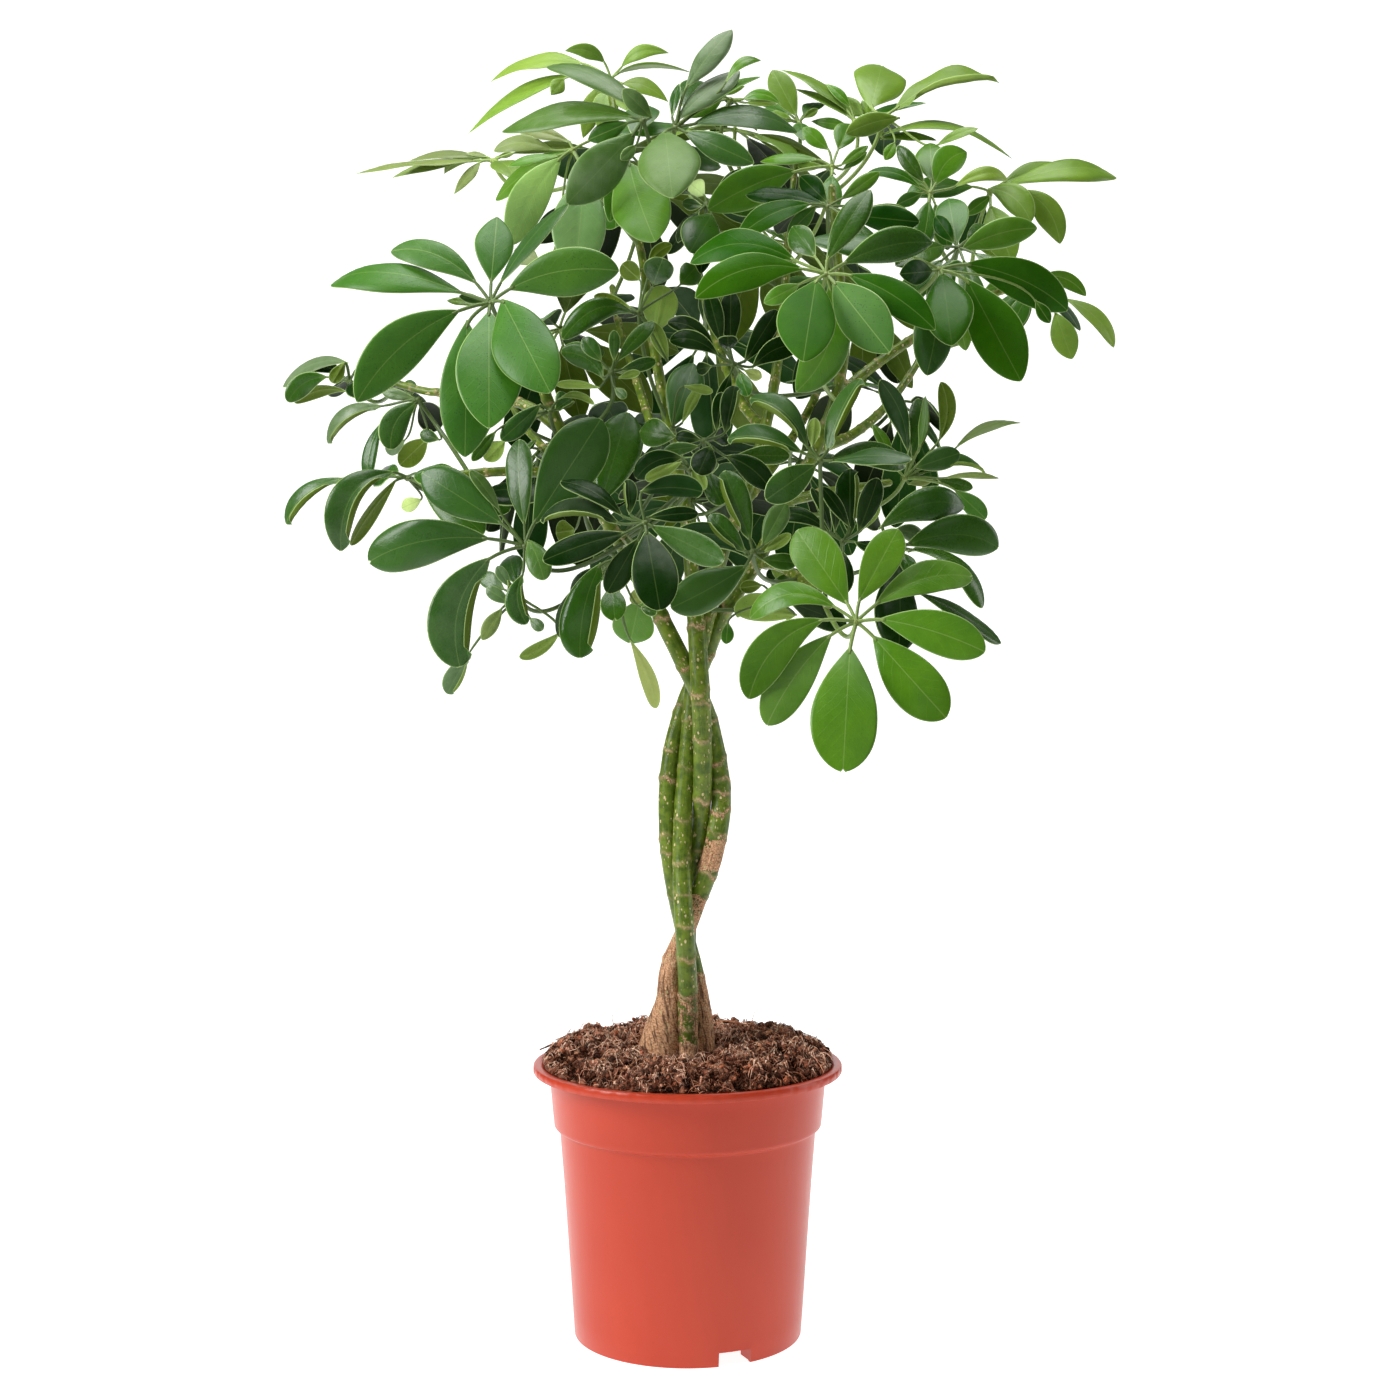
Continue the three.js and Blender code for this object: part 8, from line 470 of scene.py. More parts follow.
        (8.2, 18.7, 763.4, -0.2, 8.7, 753.3, -6.8, 2.7, 739.4, -0.32, -0.69, 0.66, 13.6, "k", "K", "t", "a"),
        (18.2, 26, 775.1, 30.6, 28.7, 786.2, 42.4, 37, 794.9, 0.09, -0.91, 0.4, 13.1, "k", "K", "t", "a"),
        (11.7, 20.4, 757.9, 10.8, 14.4, 739.3, 8.8, 12.7, 719.9, 0.24, -0.95, 0.17, 14.5, "k", "K", "t", "a"),
        (3.9, 25.6, 774.2, -13.5, 28.4, 783, -31.6, 34.9, 787.2, 0.11, -0.64, 0.76, 17.2, "k", "K", "t", "a"),
    ]),
    ("leaf_39", [(69.5, 61.1, 740.2), (68.9, 64.8, 739.8), (65.6, 86.6, 738.3), (63, 105.9, 738.2), (61, 122.7, 739.6), (59.7, 137.1, 742.5), (59, 149, 746.8), (58.9, 158.5, 752.6), (59.5, 165.5, 759.9), (60.7, 170, 768.6)], [
        (44.9, 172.1, 767.4, 23.1, 174, 763.9, 2.7, 172.6, 755.3, -0.23, 0.52, 0.82, 19.3, "b", "M", "t", "a"),
        (48.2, 163.7, 769.1, 22.2, 149.9, 767.9, -1.2, 134.2, 759.3, -0.32, 0.23, 0.92, 25.7, "y", "M", "t", "a"),
        (55.2, 158.8, 773.2, 41.6, 131.2, 781.5, 27.9, 102.5, 781, 0.02, 0.13, 0.99, 27.8, "m", "D", "t", "o"),
        (63.1, 154.6, 768.6, 67.4, 122.4, 766.6, 69, 91.6, 756.1, 0.31, -0.16, 0.94, 28.4, "b", "M", "t", "a"),
        (71.2, 161.5, 765.5, 90.6, 144.3, 757.8, 105.3, 126.1, 744.3, 0.62, 0.14, 0.77, 23.6, "b", "M", "t", "a"),
        (74.7, 166.9, 762, 108.5, 160, 745.3, 136, 149.4, 720.9, 0.59, 0.36, 0.73, 33.4, "b", "M", "t", "a"),
        (71.8, 178.3, 759.5, 86.8, 200.7, 735.8, 95.9, 218.1, 705.8, 0.59, 0.49, 0.63, 31.3, "b", "M", "t", "a"),
        (61.1, 180.6, 754.8, 67.7, 204.3, 733.4, 71.1, 221.9, 706.2, 0.35, 0.68, 0.65, 28.4, "y", "M", "t", "a"),
        (49.6, 177.9, 757.6, 37.3, 193.7, 726.4, 27.3, 200.4, 691.3, -0.23, 0.89, 0.38, 32.3, "b", "M", "t", "a"),
        (71.2, 155.9, 773, 90.7, 130, 774.2, 104.5, 101.1, 768.6, 0.6, 0.31, 0.74, 29.5, "m", "K", "t", "o"),
    ]),
    ("leaf_40", [(201.4, 35.9, 706.1), (198.9, 35, 708.4), (189.6, 31.4, 717), (181.6, 27.6, 725.5), (175, 23.6, 733.7), (169.8, 19.3, 741.8), (165.9, 14.8, 749.6), (163.4, 10.1, 757.1), (162.3, 5.2, 764.5), (162.5, 0, 771.7)], [
        (159.3, 2, 778, 149.5, 4.4, 792.2, 141.3, 11.4, 805.9, -0.31, -0.94, 0.12, 11.5, "d", "M", "t", "a"),
        (166.3, 4.8, 777.2, 175.6, 15.8, 795.6, 190.8, 30.8, 805.2, 0.43, -0.82, 0.39, 20.3, "b", "P", "t", "a"),
        (178.3, 4, 775.7, 198.5, 1.5, 784.9, 217.2, 13.5, 783.6, 0.13, -0.89, 0.44, 12.2, "p", "P", "t", "a"),
        (157.1, -0.1, 773.6, 139.4, -4.5, 783.8, 118.8, -1.2, 784.7, 0.2, -0.77, 0.61, 12, "n", "P", "t", "a"),
        (157.7, -0.9, 771.5, 148.8, -4.4, 767.1, 139.3, -4.9, 762.8, 0.23, -0.97, -0.04, 9.5, "m", "P", "t", "a"),
        (164.6, 7.6, 780.4, 164.9, 18.9, 798.5, 165.9, 34.8, 812.8, -0.12, -0.76, 0.64, 20.3, "b", "P", "t", "a"),
        (158.6, 1.8, 776.7, 143.9, 5.2, 785.4, 128.5, 11.7, 790.6, 0.12, -0.67, 0.74, 10.4, "b", "P", "t", "a"),
        (160.9, -6.8, 765.3, 158.5, -20.4, 749.1, 153.8, -28.4, 729.8, 0.33, -0.83, 0.44, 16.6, "m", "D", "t", "a"),
        (165.2, -4.2, 764.2, 169.7, -10.9, 748.6, 173.2, -14, 731.6, 0.27, -0.9, 0.34, 15.5, "m", "D", "t", "a"),
    ]),
    ("leaf_41", [(193.6, 32, 702.2), (193.8, 33.8, 705.3), (194.8, 39.8, 716.4), (196, 44.7, 727.1), (197.5, 48.4, 737.3), (199.3, 51, 747.1), (201.4, 52.5, 756.4), (203.7, 52.8, 765.3), (206.3, 51.9, 773.7), (209.2, 49.9, 781.7)], [
        (217.3, 53.4, 787.8, 245.7, 59.6, 798.1, 273.3, 73.1, 799.3, 0.17, -0.81, 0.57, 23.9, "y", "P", "t", "a", dict(hem=1)),
        (218.6, 52.6, 786.3, 263.4, 46.5, 797.6, 300.9, 74.1, 796.7, 0.09, -0.69, 0.72, 29.2, "y", "P", "t", "a"),
        (229.5, 46.3, 782.4, 246.8, 35.7, 767.4, 256, 38.2, 744, -0.28, -0.96, 0.01, 18.9, "y", "P", "t", "a"),
        (207.7, 48.7, 783.5, 223.3, 35.7, 775.5, 234.8, 30.4, 757.7, -0.48, -0.87, 0.11, 19.6, "y", "P", "t", "a"),
        (208.6, 44.7, 771.8, 213.4, 29.6, 751.8, 220.6, 20.6, 729, -0.33, -0.86, 0.39, 23.8, "y", "P", "t", "a"),
        (201.7, 54.7, 744, 215.2, 55.2, 740.1, 228.2, 59.4, 737.1, 0.12, -0.97, -0.23, 8.4, "p", "P", "t", "a"),
        (210.5, 49.3, 779.5, 201.3, 45, 772.3, 191.3, 44, 764.9, 0.21, -0.97, 0.07, 9.8, "b", "P", "t", "a"),
        (197.4, 42.4, 783.7, 173.8, 27.7, 781.7, 148.8, 17.7, 774.5, 0.21, -0.67, 0.71, 24.6, "m", "D", "t", "a"),
        (206.8, 63.3, 777, 203.1, 85.7, 766.6, 196.9, 103.9, 750.7, 0.33, 0.57, 0.76, 19.8, "m", "D", "t", "a"),
    ]),
    ("leaf_42", [(-36.8, 19.3, 759.6), (-37.2, 15.8, 760.2), (-38.5, 4.3, 762.4), (-39.5, -6.8, 765), (-40.1, -17.3, 767.9), (-40.5, -27.3, 771.1), (-40.6, -36.8, 774.7), (-40.4, -45.7, 778.6), (-39.9, -54.1, 782.8), (-39.1, -62, 787.4)], [
        (-36.9, -69.9, 778.2, -30.1, -98.3, 749.7, -19.3, -123.4, 719.4, -0.23, -0.75, 0.62, 37.6, "b", "P", "t", "a"),
        (-46, -65.2, 777.2, -46.8, -72.7, 758.9, -48.9, -75, 739.3, 0.22, -0.95, 0.23, 11.8, "m", "P", "t", "a"),
        (-30, -65.4, 777.2, -20.2, -72.4, 761.7, -12.6, -74.9, 743.8, 0.41, -0.8, 0.44, 11.7, "m", "P", "t", "a"),
        (-26, -57.2, 789.4, 0.6, -46, 788.6, 23.3, -28.8, 784.1, 0.48, -0.74, 0.47, 20.8, "e", "D", "t", "a"),
        (-35.8, -53.1, 798.8, -30, -33.9, 816.2, -25, -10.4, 827.6, 0.1, -0.57, 0.81, 22.1, "e", "D", "t", "a"),
    ]),
    ("leaf_43", [(68.7, 60.7, 728), (70.8, 58.4, 730.2), (77.2, 51.2, 737.6), (82.7, 44.7, 745.1), (87.3, 38.9, 752.7), (91.2, 33.8, 760.5), (94.1, 29.3, 768.4), (96.3, 25.5, 776.4), (97.5, 22.4, 784.6), (98, 20, 792.9)], [
        (92.6, 21.5, 793.9, 83.2, 22.8, 794.1, 74.5, 26.5, 794.9, -0.27, -0.94, -0.19, 6.2, "p", "P", "t", "a"),
        (90, 22.7, 798.1, 69.2, 26.3, 800.8, 49.5, 34.5, 799.8, -0.19, -0.76, 0.62, 12.6, "b", "P", "t", "a"),
        (103.4, 20.5, 793.7, 113, 20, 800.9, 122.6, 22.8, 807.6, -0.01, -0.98, 0.18, 7.1, "b", "P", "t", "a"),
        (104.9, 21.9, 791.2, 114, 23.1, 797.9, 122.2, 27.4, 804.5, 0.27, -0.96, 0.05, 6.9, "b", "P", "t", "a"),
        (102.7, 31.5, 806.7, 108, 39.1, 818.6, 112.1, 49.9, 828.3, 0.28, -0.79, 0.55, 16.4, "b", "P", "t", "a"),
        (96, 21.9, 804.7, 86.8, 22.2, 812.5, 78.5, 25.8, 820.3, -0.25, -0.97, -0.04, 11, "b", "P", "t", "a"),
        (74, 15.6, 789.3, 44.4, 2, 777.3, 13.8, 3.6, 761, 0.23, -0.97, -0.07, 27.4, "b", "P", "t", "a"),
        (97.3, 10.9, 786.1, 96.8, -4.2, 772.8, 95.4, -13.9, 755.2, 0.15, -0.78, 0.61, 14.6, "m", "D", "t", "a"),
        (95.7, 30.4, 793.2, 91.3, 48.2, 791.1, 88.4, 64.6, 783, -0.22, 0.23, 0.95, 16, "m", "D", "t", "a"),
    ]),
    ("leaf_44", [(-32.3, 21, 739.2), (-34.4, 18.8, 741.4), (-40.7, 12.1, 748.2), (-46.7, 5.6, 755), (-52.3, -0.8, 761.6), (-57.6, -7, 768.2), (-62.4, -13, 774.8), (-67, -18.8, 781.3), (-71.1, -24.5, 787.7), (-74.9, -30, 794)], [
        (-87.6, -26.6, 794, -108.8, -26.1, 799.7, -128, -16, 796.2, -0.22, -0.91, 0.36, 12.6, "v", "V", "t", "a"),
        (-76.3, -28.3, 799.5, -94.8, -25.1, 806, -112.6, -17.1, 809.8, -0.12, -0.85, 0.5, 11.8, "v", "V", "t", "a"),
        (-76.9, -29.3, 794.8, -104.8, -22.3, 781.9, -128.1, -8.9, 765.4, -0.53, -0.73, 0.42, 21.2, "b", "P", "t", "a"),
        (-82, -31.9, 789.1, -100.7, -43.6, 761.9, -113.7, -46.5, 729.5, 0.24, -0.97, 0.11, 25.2, "g", "P", "t", "a"),
        (-66.7, -37.7, 777.6, -68.6, -57.7, 744.3, -71.6, -67.9, 706.9, 0.1, -0.92, 0.39, 35.8, "h", "P", "t", "a"),
        (-83.4, -30.7, 790, -100.5, -33.8, 788.1, -117.3, -33.4, 782.9, -0.08, -0.73, 0.68, 10.4, "b", "P", "t", "a"),
        (-97.7, -17.3, 723.1, -107.7, -12.4, 728.3, -116, -4.6, 733, -0.52, -0.85, 0.13, 14.6, "v", "V", "t", "a"),
        (-59.8, -27.3, 802.1, -29.3, -20.2, 811.7, 1.3, -9.1, 814.3, -0.03, -0.5, 0.87, 27.1, "m", "D", "t", "a"),
        (-76.6, -9.5, 798.4, -78.1, 27.7, 802.2, -76.3, 64.3, 794.2, -0.26, 0.06, 0.96, 32.9, "m", "D", "t", "a"),
    ]),
    ("leaf_45", [(-39.1, 20, 770.7), (-38.1, 16.8, 770.2), (-32.5, -0.7, 768.4), (-27.4, -16.8, 768), (-22.8, -31.5, 769.1), (-18.7, -44.9, 771.6), (-15.1, -57, 775.6), (-12, -67.7, 781.1), (-9.5, -77, 788), (-7.4, -85, 796.4)], [
        (-13.5, -95.5, 792.3, -11.4, -131.6, 770.9, -8.3, -160.4, 740.5, -0.09, -0.63, 0.78, 39.5, "t", "P", "t", "a", dict(rough=0.5, bloom=0.1)),
        (-2.3, -86.7, 794.1, 18.6, -98, 782.4, 42, -102.4, 771, -0.35, -0.93, -0.04, 17.8, "e", "M", "t", "a"),
        (2.1, -82, 798.3, 38.6, -78.1, 806.4, 71.3, -60.8, 799.1, 0.22, -0.74, 0.63, 24.6, "e", "M", "t", "a"),
        (-4.2, -83.4, 797.4, 18.7, -70.2, 821.8, 47, -53.8, 836.9, -0.36, -0.46, 0.81, 24.2, "b", "P", "t", "a"),
        (-7.4, -83.7, 800.4, 12.8, -78.5, 820.5, 33.9, -66.5, 836.4, -0.11, -0.84, 0.53, 19.5, "s", "P", "t", "a"),
        (-1.1, -79.2, 821.4, 13.3, -76.9, 843, 28.8, -67.9, 861.9, -0.16, -0.91, 0.37, 17.5, "s", "P", "t", "a"),
        (-9.3, -83.2, 803, -7.7, -81.7, 814.8, -4.9, -77.2, 825.7, -0.35, -0.89, 0.3, 7.1, "e", "M", "t", "a"),
        (24.2, -80.2, 825, 34.3, -85, 837.1, 47.1, -75.3, 841.2, -0.18, -0.85, 0.5, 8.5, "b", "P", "t", "a"),
        (-2.6, -72.6, 810.3, 6.9, -47, 828.3, 12.6, -17.4, 841, 0.49, -0.52, 0.7, 25.9, "d", "K", "t", "a"),
    ]),
    ("leaf_46", [(-41.5, 22.5, 783.2), (-40.6, 19.5, 782.4), (-34.1, -1.8, 777.3), (-29.1, -21.1, 774.3), (-25.4, -38.4, 773.2), (-23, -53.7, 774.3), (-22, -67, 777.3), (-22.4, -78.3, 782.4), (-24.2, -87.7, 789.4), (-27.3, -95, 798.6)], [
        (-29.2, -93.2, 803.9, -56.3, -85.2, 828.7, -89.5, -71.4, 839.6, 0.21, -0.63, 0.75, 25, "t", "P", "t", "a"),
        (-21.6, -96.7, 800, -30.3, -102.1, 807.6, -39.5, -104.1, 816.2, 0.12, -0.95, -0.3, 12.6, "t", "P", "t", "a"),
        (-30.4, -93.8, 800.1, -75.7, -82.8, 807.2, -118.3, -64.6, 798.3, -0.24, -0.67, 0.71, 31.5, "t", "P", "t", "a"),
        (-31.6, -96.8, 791.4, -51.6, -108.1, 768, -74.1, -110.6, 744.2, 0.27, -0.96, 0.04, 29.1, "t", "P", "t", "a"),
        (-35.5, -93.4, 798.3, -49, -92.6, 792.8, -62.1, -87.9, 788.3, -0.1, -0.96, -0.27, 12.6, "m", "P", "t", "a"),
        (-31.5, -99.8, 782.7, -35.8, -103.2, 777.7, -40.8, -104.6, 772.4, 0.35, -0.93, 0.12, 7.6, "t", "P", "t", "a"),
    ]),
    ("leaf_47", [(-56.6, 180.5, 728.6), (-55.4, 178.2, 730.7), (-50, 168.6, 740.6), (-45.4, 160.7, 750.1), (-41.7, 154.6, 759.4), (-38.8, 150.2, 768.5), (-36.8, 147.5, 777.2), (-35.7, 146.6, 785.7), (-35.4, 147.4, 794), (-35.9, 150, 801.9)], [
        (-19.5, 154.6, 799, 12.8, 162.3, 790.2, 42.6, 165.2, 773.6, 0.25, 0.5, 0.83, 29.9, "y", "M", "t", "a"),
        (-47, 139, 799.5, -72.6, 112.1, 791.2, -92.8, 85, 773.9, -0.51, 0.02, 0.86, 33.1, "b", "D", "t", "a"),
        (-39.3, 137.3, 804.8, -48.1, 102.5, 809.3, -54.7, 67.3, 804.1, -0.21, 0.03, 0.98, 31.5, "y", "M", "t", "a"),
        (-30.2, 138.6, 805.7, -14.8, 107.1, 812.7, 0.1, 74.8, 809.8, 0.05, 0.08, 1, 31.2, "b", "M", "t", "a"),
        (-21.7, 142.7, 803.1, 14.2, 122.9, 802.5, 46.9, 100.8, 791.3, 0.28, 0.2, 0.94, 35.7, "y", "M", "t", "a"),
        (-46.6, 158.1, 793.3, -71, 176.2, 768.1, -90.4, 186.5, 735.2, -0.42, 0.65, 0.63, 38.1, "m", "K", "t", "o"),
        (-24.2, 161.9, 801.6, 2.4, 189.2, 792.3, 31.3, 210, 775.7, -0.22, 0.65, 0.73, 33.6, "m", "K", "t", "o"),
        (-33, 158.1, 786.7, -27.2, 169.6, 759.4, -24, 175.9, 730, 0.41, 0.85, 0.33, 24.7, "m", "K", "t", "o"),
        (-55.3, 153.5, 798.4, -87.4, 159.8, 786.4, -116, 159.2, 766.6, -0.32, 0.62, 0.72, 29.9, "m", "K", "t", "o"),
        (-39.1, 136.1, 797.7, -49, 102.6, 784.9, -50.7, 73.9, 761.2, -0.57, -0.34, 0.75, 30.1, "m", "K", "t", "o"),
    ]),
    ("leaf_48", [(-44, 26.3, 796.7), (-46.6, 28.1, 795.8), (-64.8, 40.5, 789.9), (-81.1, 50.8, 786), (-95.4, 59.1, 784.2), (-107.6, 65.2, 784.6), (-117.9, 69.3, 787), (-126.2, 71.3, 791.5), (-132.4, 71.1, 798.1), (-136.7, 69, 806.8)], [
        (-144.3, 68.4, 806.7, -188.6, 63.8, 805.3, -232.3, 61.8, 797.1, -0.08, -0.32, 0.94, 30.2, "v", "V", "t", "l"),
        (-146.8, 72.8, 810.3, -173.5, 78.1, 814.3, -197.7, 90.8, 811.2, -0.16, -0.48, 0.86, 18.4, "v", "V", "t", "l"),
        (-156.8, 74, 807.1, -184.4, 78.7, 806.4, -210.1, 87.5, 799.3, -0.25, -0.52, 0.82, 18.9, "v", "V", "t", "l"),
        (-144.8, 66.6, 806.3, -154, 61.6, 794.5, -162.9, 58.3, 781.9, -0.16, -0.89, 0.42, 9.4, "v", "V", "t", "l"),
        (-140.2, 69.6, 809.7, -148, 69.7, 811.9, -155.8, 71.8, 812.9, 0, -0.84, 0.55, 4.8, "v", "V", "t", "l"),
        (-133.9, 70, 809.8, -127.5, 70.9, 811.4, -121.6, 73.5, 813.3, 0.31, -0.94, -0.14, 4.2, "v", "V", "t", "l"),
        (-123.7, 67.9, 811.4, -94.3, 68.4, 816.7, -64.7, 67.2, 812.4, -0.01, 0.19, 0.98, 21.5, "y", "M", "t", "l"),
        (-133.4, 60.1, 805.1, -124.6, 38.9, 797.6, -115.5, 22.1, 783, -0.03, -0.51, 0.86, 21.3, "y", "M", "t", "l"),
        (-145.6, 79.3, 811.1, -162.2, 101.6, 815.8, -177.5, 124.5, 810, -0.11, -0.05, 0.99, 19.6, "y", "M", "t", "l"),
    ]),
    ("leaf_49", [(71.2, 62, 764.6), (74.3, 61.5, 766.1), (87.4, 59.1, 773), (98.8, 56.6, 780.2), (108.6, 54.1, 787.8), (116.8, 51.6, 795.7), (123.4, 49, 803.9), (128.4, 46.3, 812.4), (131.8, 43.6, 821.2), (133.5, 40.8, 830.4)], [
        (127.3, 59.3, 840.7, 134.5, 86.1, 867.6, 139.8, 119.5, 886.3, 0.17, -0.62, 0.77, 38.9, "y", "P", "t", "r", dict(wave=0.12, waves=1.2, notch=3.0)),
        (141.3, 43.6, 835.1, 178.2, 49.6, 858.8, 218.2, 68.2, 862.7, -0.06, -0.65, 0.76, 33.7, "y", "P", "t", "a", dict(wave=0.16, waves=1.6, hem=1)),
        (145.7, 38.5, 829.9, 126.7, 32.8, 825.4, 108.1, 31.1, 817.4, 0.23, -0.97, -0.12, 15.3, "y", "P", "t", "a"),
        (129.7, 44.6, 817.6, 180.9, 51.3, 829.2, 225.6, 69.3, 807.5, 0.18, -0.33, 0.93, 33.8, "p", "P", "t", "a"),
        (170.1, 35.2, 810.2, 183.4, 30.6, 816.6, 198.1, 29.6, 821.2, -0.34, -0.83, 0.44, 9.2, "y", "P", "t", "a"),
        (132.5, 44.6, 816.9, 153, 47.8, 820.2, 172.9, 54.8, 819.1, 0.13, -0.65, 0.75, 12.5, "y", "P", "t", "a"),
        (142, 35.2, 812.9, 138.6, 31.3, 806.5, 134.7, 29.6, 799.5, 0.19, -0.94, 0.29, 8.3, "b", "P", "t", "a"),
        (135.6, 59.8, 833.5, 139.5, 93.6, 833.1, 141.4, 126, 822.8, 0.2, 0.14, 0.97, 25.5, "m", "D", "t", "a"),
    ]),
    ("leaf_50", [(70.3, 61.5, 752.4), (68, 62.6, 754.8), (58.9, 67.2, 764.8), (51.3, 71.4, 774.7), (44.9, 75.3, 784.6), (39.9, 78.9, 794.3), (36.2, 82.2, 804.1), (33.9, 85.1, 813.7), (32.9, 87.7, 823.3), (33.2, 90, 832.8)], [
        (41.5, 78.5, 828.2, 61, 55.6, 817.4, 77.4, 35.4, 798.7, 0.35, -0.32, 0.88, 27.9, "y", "M", "t", "a"),
        (48.2, 84.9, 828.6, 78.9, 73.8, 816.9, 104.7, 61.8, 796.9, 0.51, 0.08, 0.86, 30.3, "y", "M", "t", "a"),
        (49, 95.3, 828, 74.1, 98.1, 812.4, 94, 100.5, 790.5, 0.63, 0.06, 0.77, 25.8, "y", "M", "t", "a"),
        (18.5, 88.4, 829.9, -15.5, 84.3, 826.6, -47.2, 79.1, 814.2, -0.25, 0.12, 0.96, 30, "y", "M", "t", "a"),
        (21.3, 78.3, 831.2, -3.6, 53.5, 825.2, -25.7, 30.2, 809.7, -0.28, -0.15, 0.95, 31.1, "y", "M", "t", "a"),
        (33.2, 77.3, 833.5, 38.2, 44.7, 833.7, 40.1, 13.1, 824.9, 0.12, -0.12, 0.99, 24.6, "y", "M", "t", "a"),
        (41.3, 103.5, 830.9, 60.2, 134, 820, 75.8, 160.5, 798.6, 0.27, 0.34, 0.9, 32.9, "m", "K", "t", "o"),
    ]),
    ("leaf_51", [(70.3, 61.5, 752.4), (70.9, 64.5, 754.2), (74.2, 80.7, 764.7), (76.8, 94, 775.3), (78.8, 104.1, 786.1), (80.2, 111.3, 797), (81, 115.5, 808.1), (81.1, 116.7, 819.3), (80.6, 114.8, 830.6), (79.5, 110, 842.1)], [
        (78.2, 111.5, 846.7, 68.6, 114.8, 865.5, 60.5, 123.8, 883.1, -0.26, -0.95, 0.19, 18.9, "y", "P", "t", "a"),
        (82.5, 110.8, 845.8, 88.1, 111.1, 849.3, 93.3, 113.1, 852.8, 0.23, -0.97, -0.05, 5.8, "y", "P", "t", "a"),
        (76, 110.8, 843, 67.8, 111.3, 846.8, 60.3, 114.3, 850.9, -0.27, -0.96, -0.11, 7.3, "y", "P", "t", "a"),
        (82.9, 115.4, 848.5, 90.2, 127.8, 858.8, 97.7, 142.9, 864, -0.03, -0.48, 0.88, 15.2, "m", "D", "t", "a"),
        (79.8, 101.1, 840.1, 80.3, 84.3, 833.9, 80.9, 71.2, 821.8, -0.02, -0.52, 0.85, 12.7, "m", "D", "t", "a"),
        (75, 116.6, 848.4, 64.3, 131.2, 857.6, 55.3, 148.9, 861.6, -0.26, -0.5, 0.83, 15.8, "m", "D", "t", "a"),
        (71.4, 106.7, 844.3, 56, 101.3, 845, 40.5, 97.3, 841.6, 0.01, -0.31, 0.95, 11.4, "m", "D", "t", "a"),
    ]),
    ("leaf_52", [(72.4, 62.7, 776.8), (74.5, 65, 777.9), (87.9, 79.4, 785.4), (99.1, 91.5, 793.1), (108.1, 101.3, 801.1), (114.9, 108.7, 809.3), (119.5, 113.8, 817.8), (121.9, 116.5, 826.5), (122.1, 116.9, 835.4), (120.1, 115, 844.6)], [
        (116.6, 116.4, 847.1, 98.1, 121.8, 861.8, 77.5, 130.9, 871.2, 0.29, -0.54, 0.79, 16.4, "y", "P", "t", "l"),
        (116.7, 117.8, 850.2, 94.4, 126.9, 874.7, 67.8, 144, 888, 0.35, -0.49, 0.8, 22.8, "y", "P", "t", "l"),
        (117.4, 117.5, 854.5, 108.5, 117.8, 864.7, 99.7, 123.9, 873.1, -0.02, -0.95, 0.31, 8, "b", "P", "t", "l"),
        (116.7, 116.7, 840.7, 102.2, 118.9, 843.8, 88.9, 125.1, 846.8, -0.29, -0.96, 0.01, 8.9, "b", "P", "t", "l"),
        (127, 119.5, 849.2, 117.7, 124.5, 857.8, 110.4, 132.8, 865.8, -0.51, -0.84, 0.16, 13.1, "p", "P", "t", "l"),
        (131.3, 119.4, 846.3, 128.3, 121.4, 854.5, 125.9, 125.7, 862.1, -0.27, -0.92, 0.28, 8.7, "y", "P", "t", "l"),
        (128.3, 112.7, 849, 149.1, 107.5, 854.1, 170.9, 104.4, 855.4, -0.22, -0.45, 0.86, 17.7, "m", "D", "t", "l"),
    ]),
    ("leaf_53", [(71.2, 62, 764.6), (68.3, 62.4, 766.3), (54.2, 64.4, 775.7), (42.8, 65.7, 785.3), (33.9, 66.3, 795.1), (27.7, 66.3, 805.1), (24.2, 65.7, 815.2), (23.2, 64.5, 825.6), (24.9, 62.5, 836.2), (29.3, 60, 847)], [
        (37.6, 57.7, 846.5, 51, 50.8, 849, 64.4, 50.3, 841.4, -0.22, -0.95, 0.23, 8.5, "b", "P", "t", "l"),
        (39.7, 57.4, 844.4, 50.7, 53.2, 844.1, 62.4, 51.8, 842.4, -0.18, -0.89, 0.42, 7, "y", "P", "t", "l"),
        (23.7, 58.9, 846.8, 13.1, 54.5, 839.9, 1.5, 53.6, 833.2, 0.27, -0.96, -0.07, 9.8, "b", "P", "t", "l"),
        (22.3, 61.9, 850.9, 31.3, 62.9, 854.8, 39.8, 66.6, 858.2, 0.19, -0.97, 0.15, 5.9, "y", "P", "t", "l"),
        (29.6, 68.3, 850.5, 30, 83.6, 853.5, 29.5, 99.1, 852.2, 0.18, -0.05, 0.98, 11.9, "m", "D", "t", "l"),
        (27.2, 68.6, 845.3, 22.4, 86.7, 839.7, 18, 101.7, 827.9, -0.06, 0.45, 0.89, 17.1, "m", "D", "t", "l"),
        (23.2, 53.6, 848.7, 9.9, 39.3, 848.7, -4.7, 27.9, 842.9, 0.22, -0.43, 0.88, 16.7, "m", "D", "t", "l"),
        (38.2, 64.5, 848.8, 55.2, 72.9, 848, 70.2, 83.2, 842.9, 0.38, -0.37, 0.85, 16.8, "m", "D", "t", "l"),
        (34.4, 67.3, 845.7, 42, 80, 841.2, 49, 90.9, 832.7, 0.13, 0.42, 0.9, 11.6, "m", "D", "t", "l"),
    ]),
    ("leaf_54", [(-48.5, 35, 821), (-48.7, 38.1, 821.7), (-50.2, 54.1, 825.8), (-51.5, 67.7, 830.5), (-52.6, 79, 835.8), (-53.5, 87.9, 841.7), (-54.2, 94.5, 848.2), (-54.7, 98.7, 855.2), (-55, 100.5, 862.8), (-55.1, 100, 871)], [
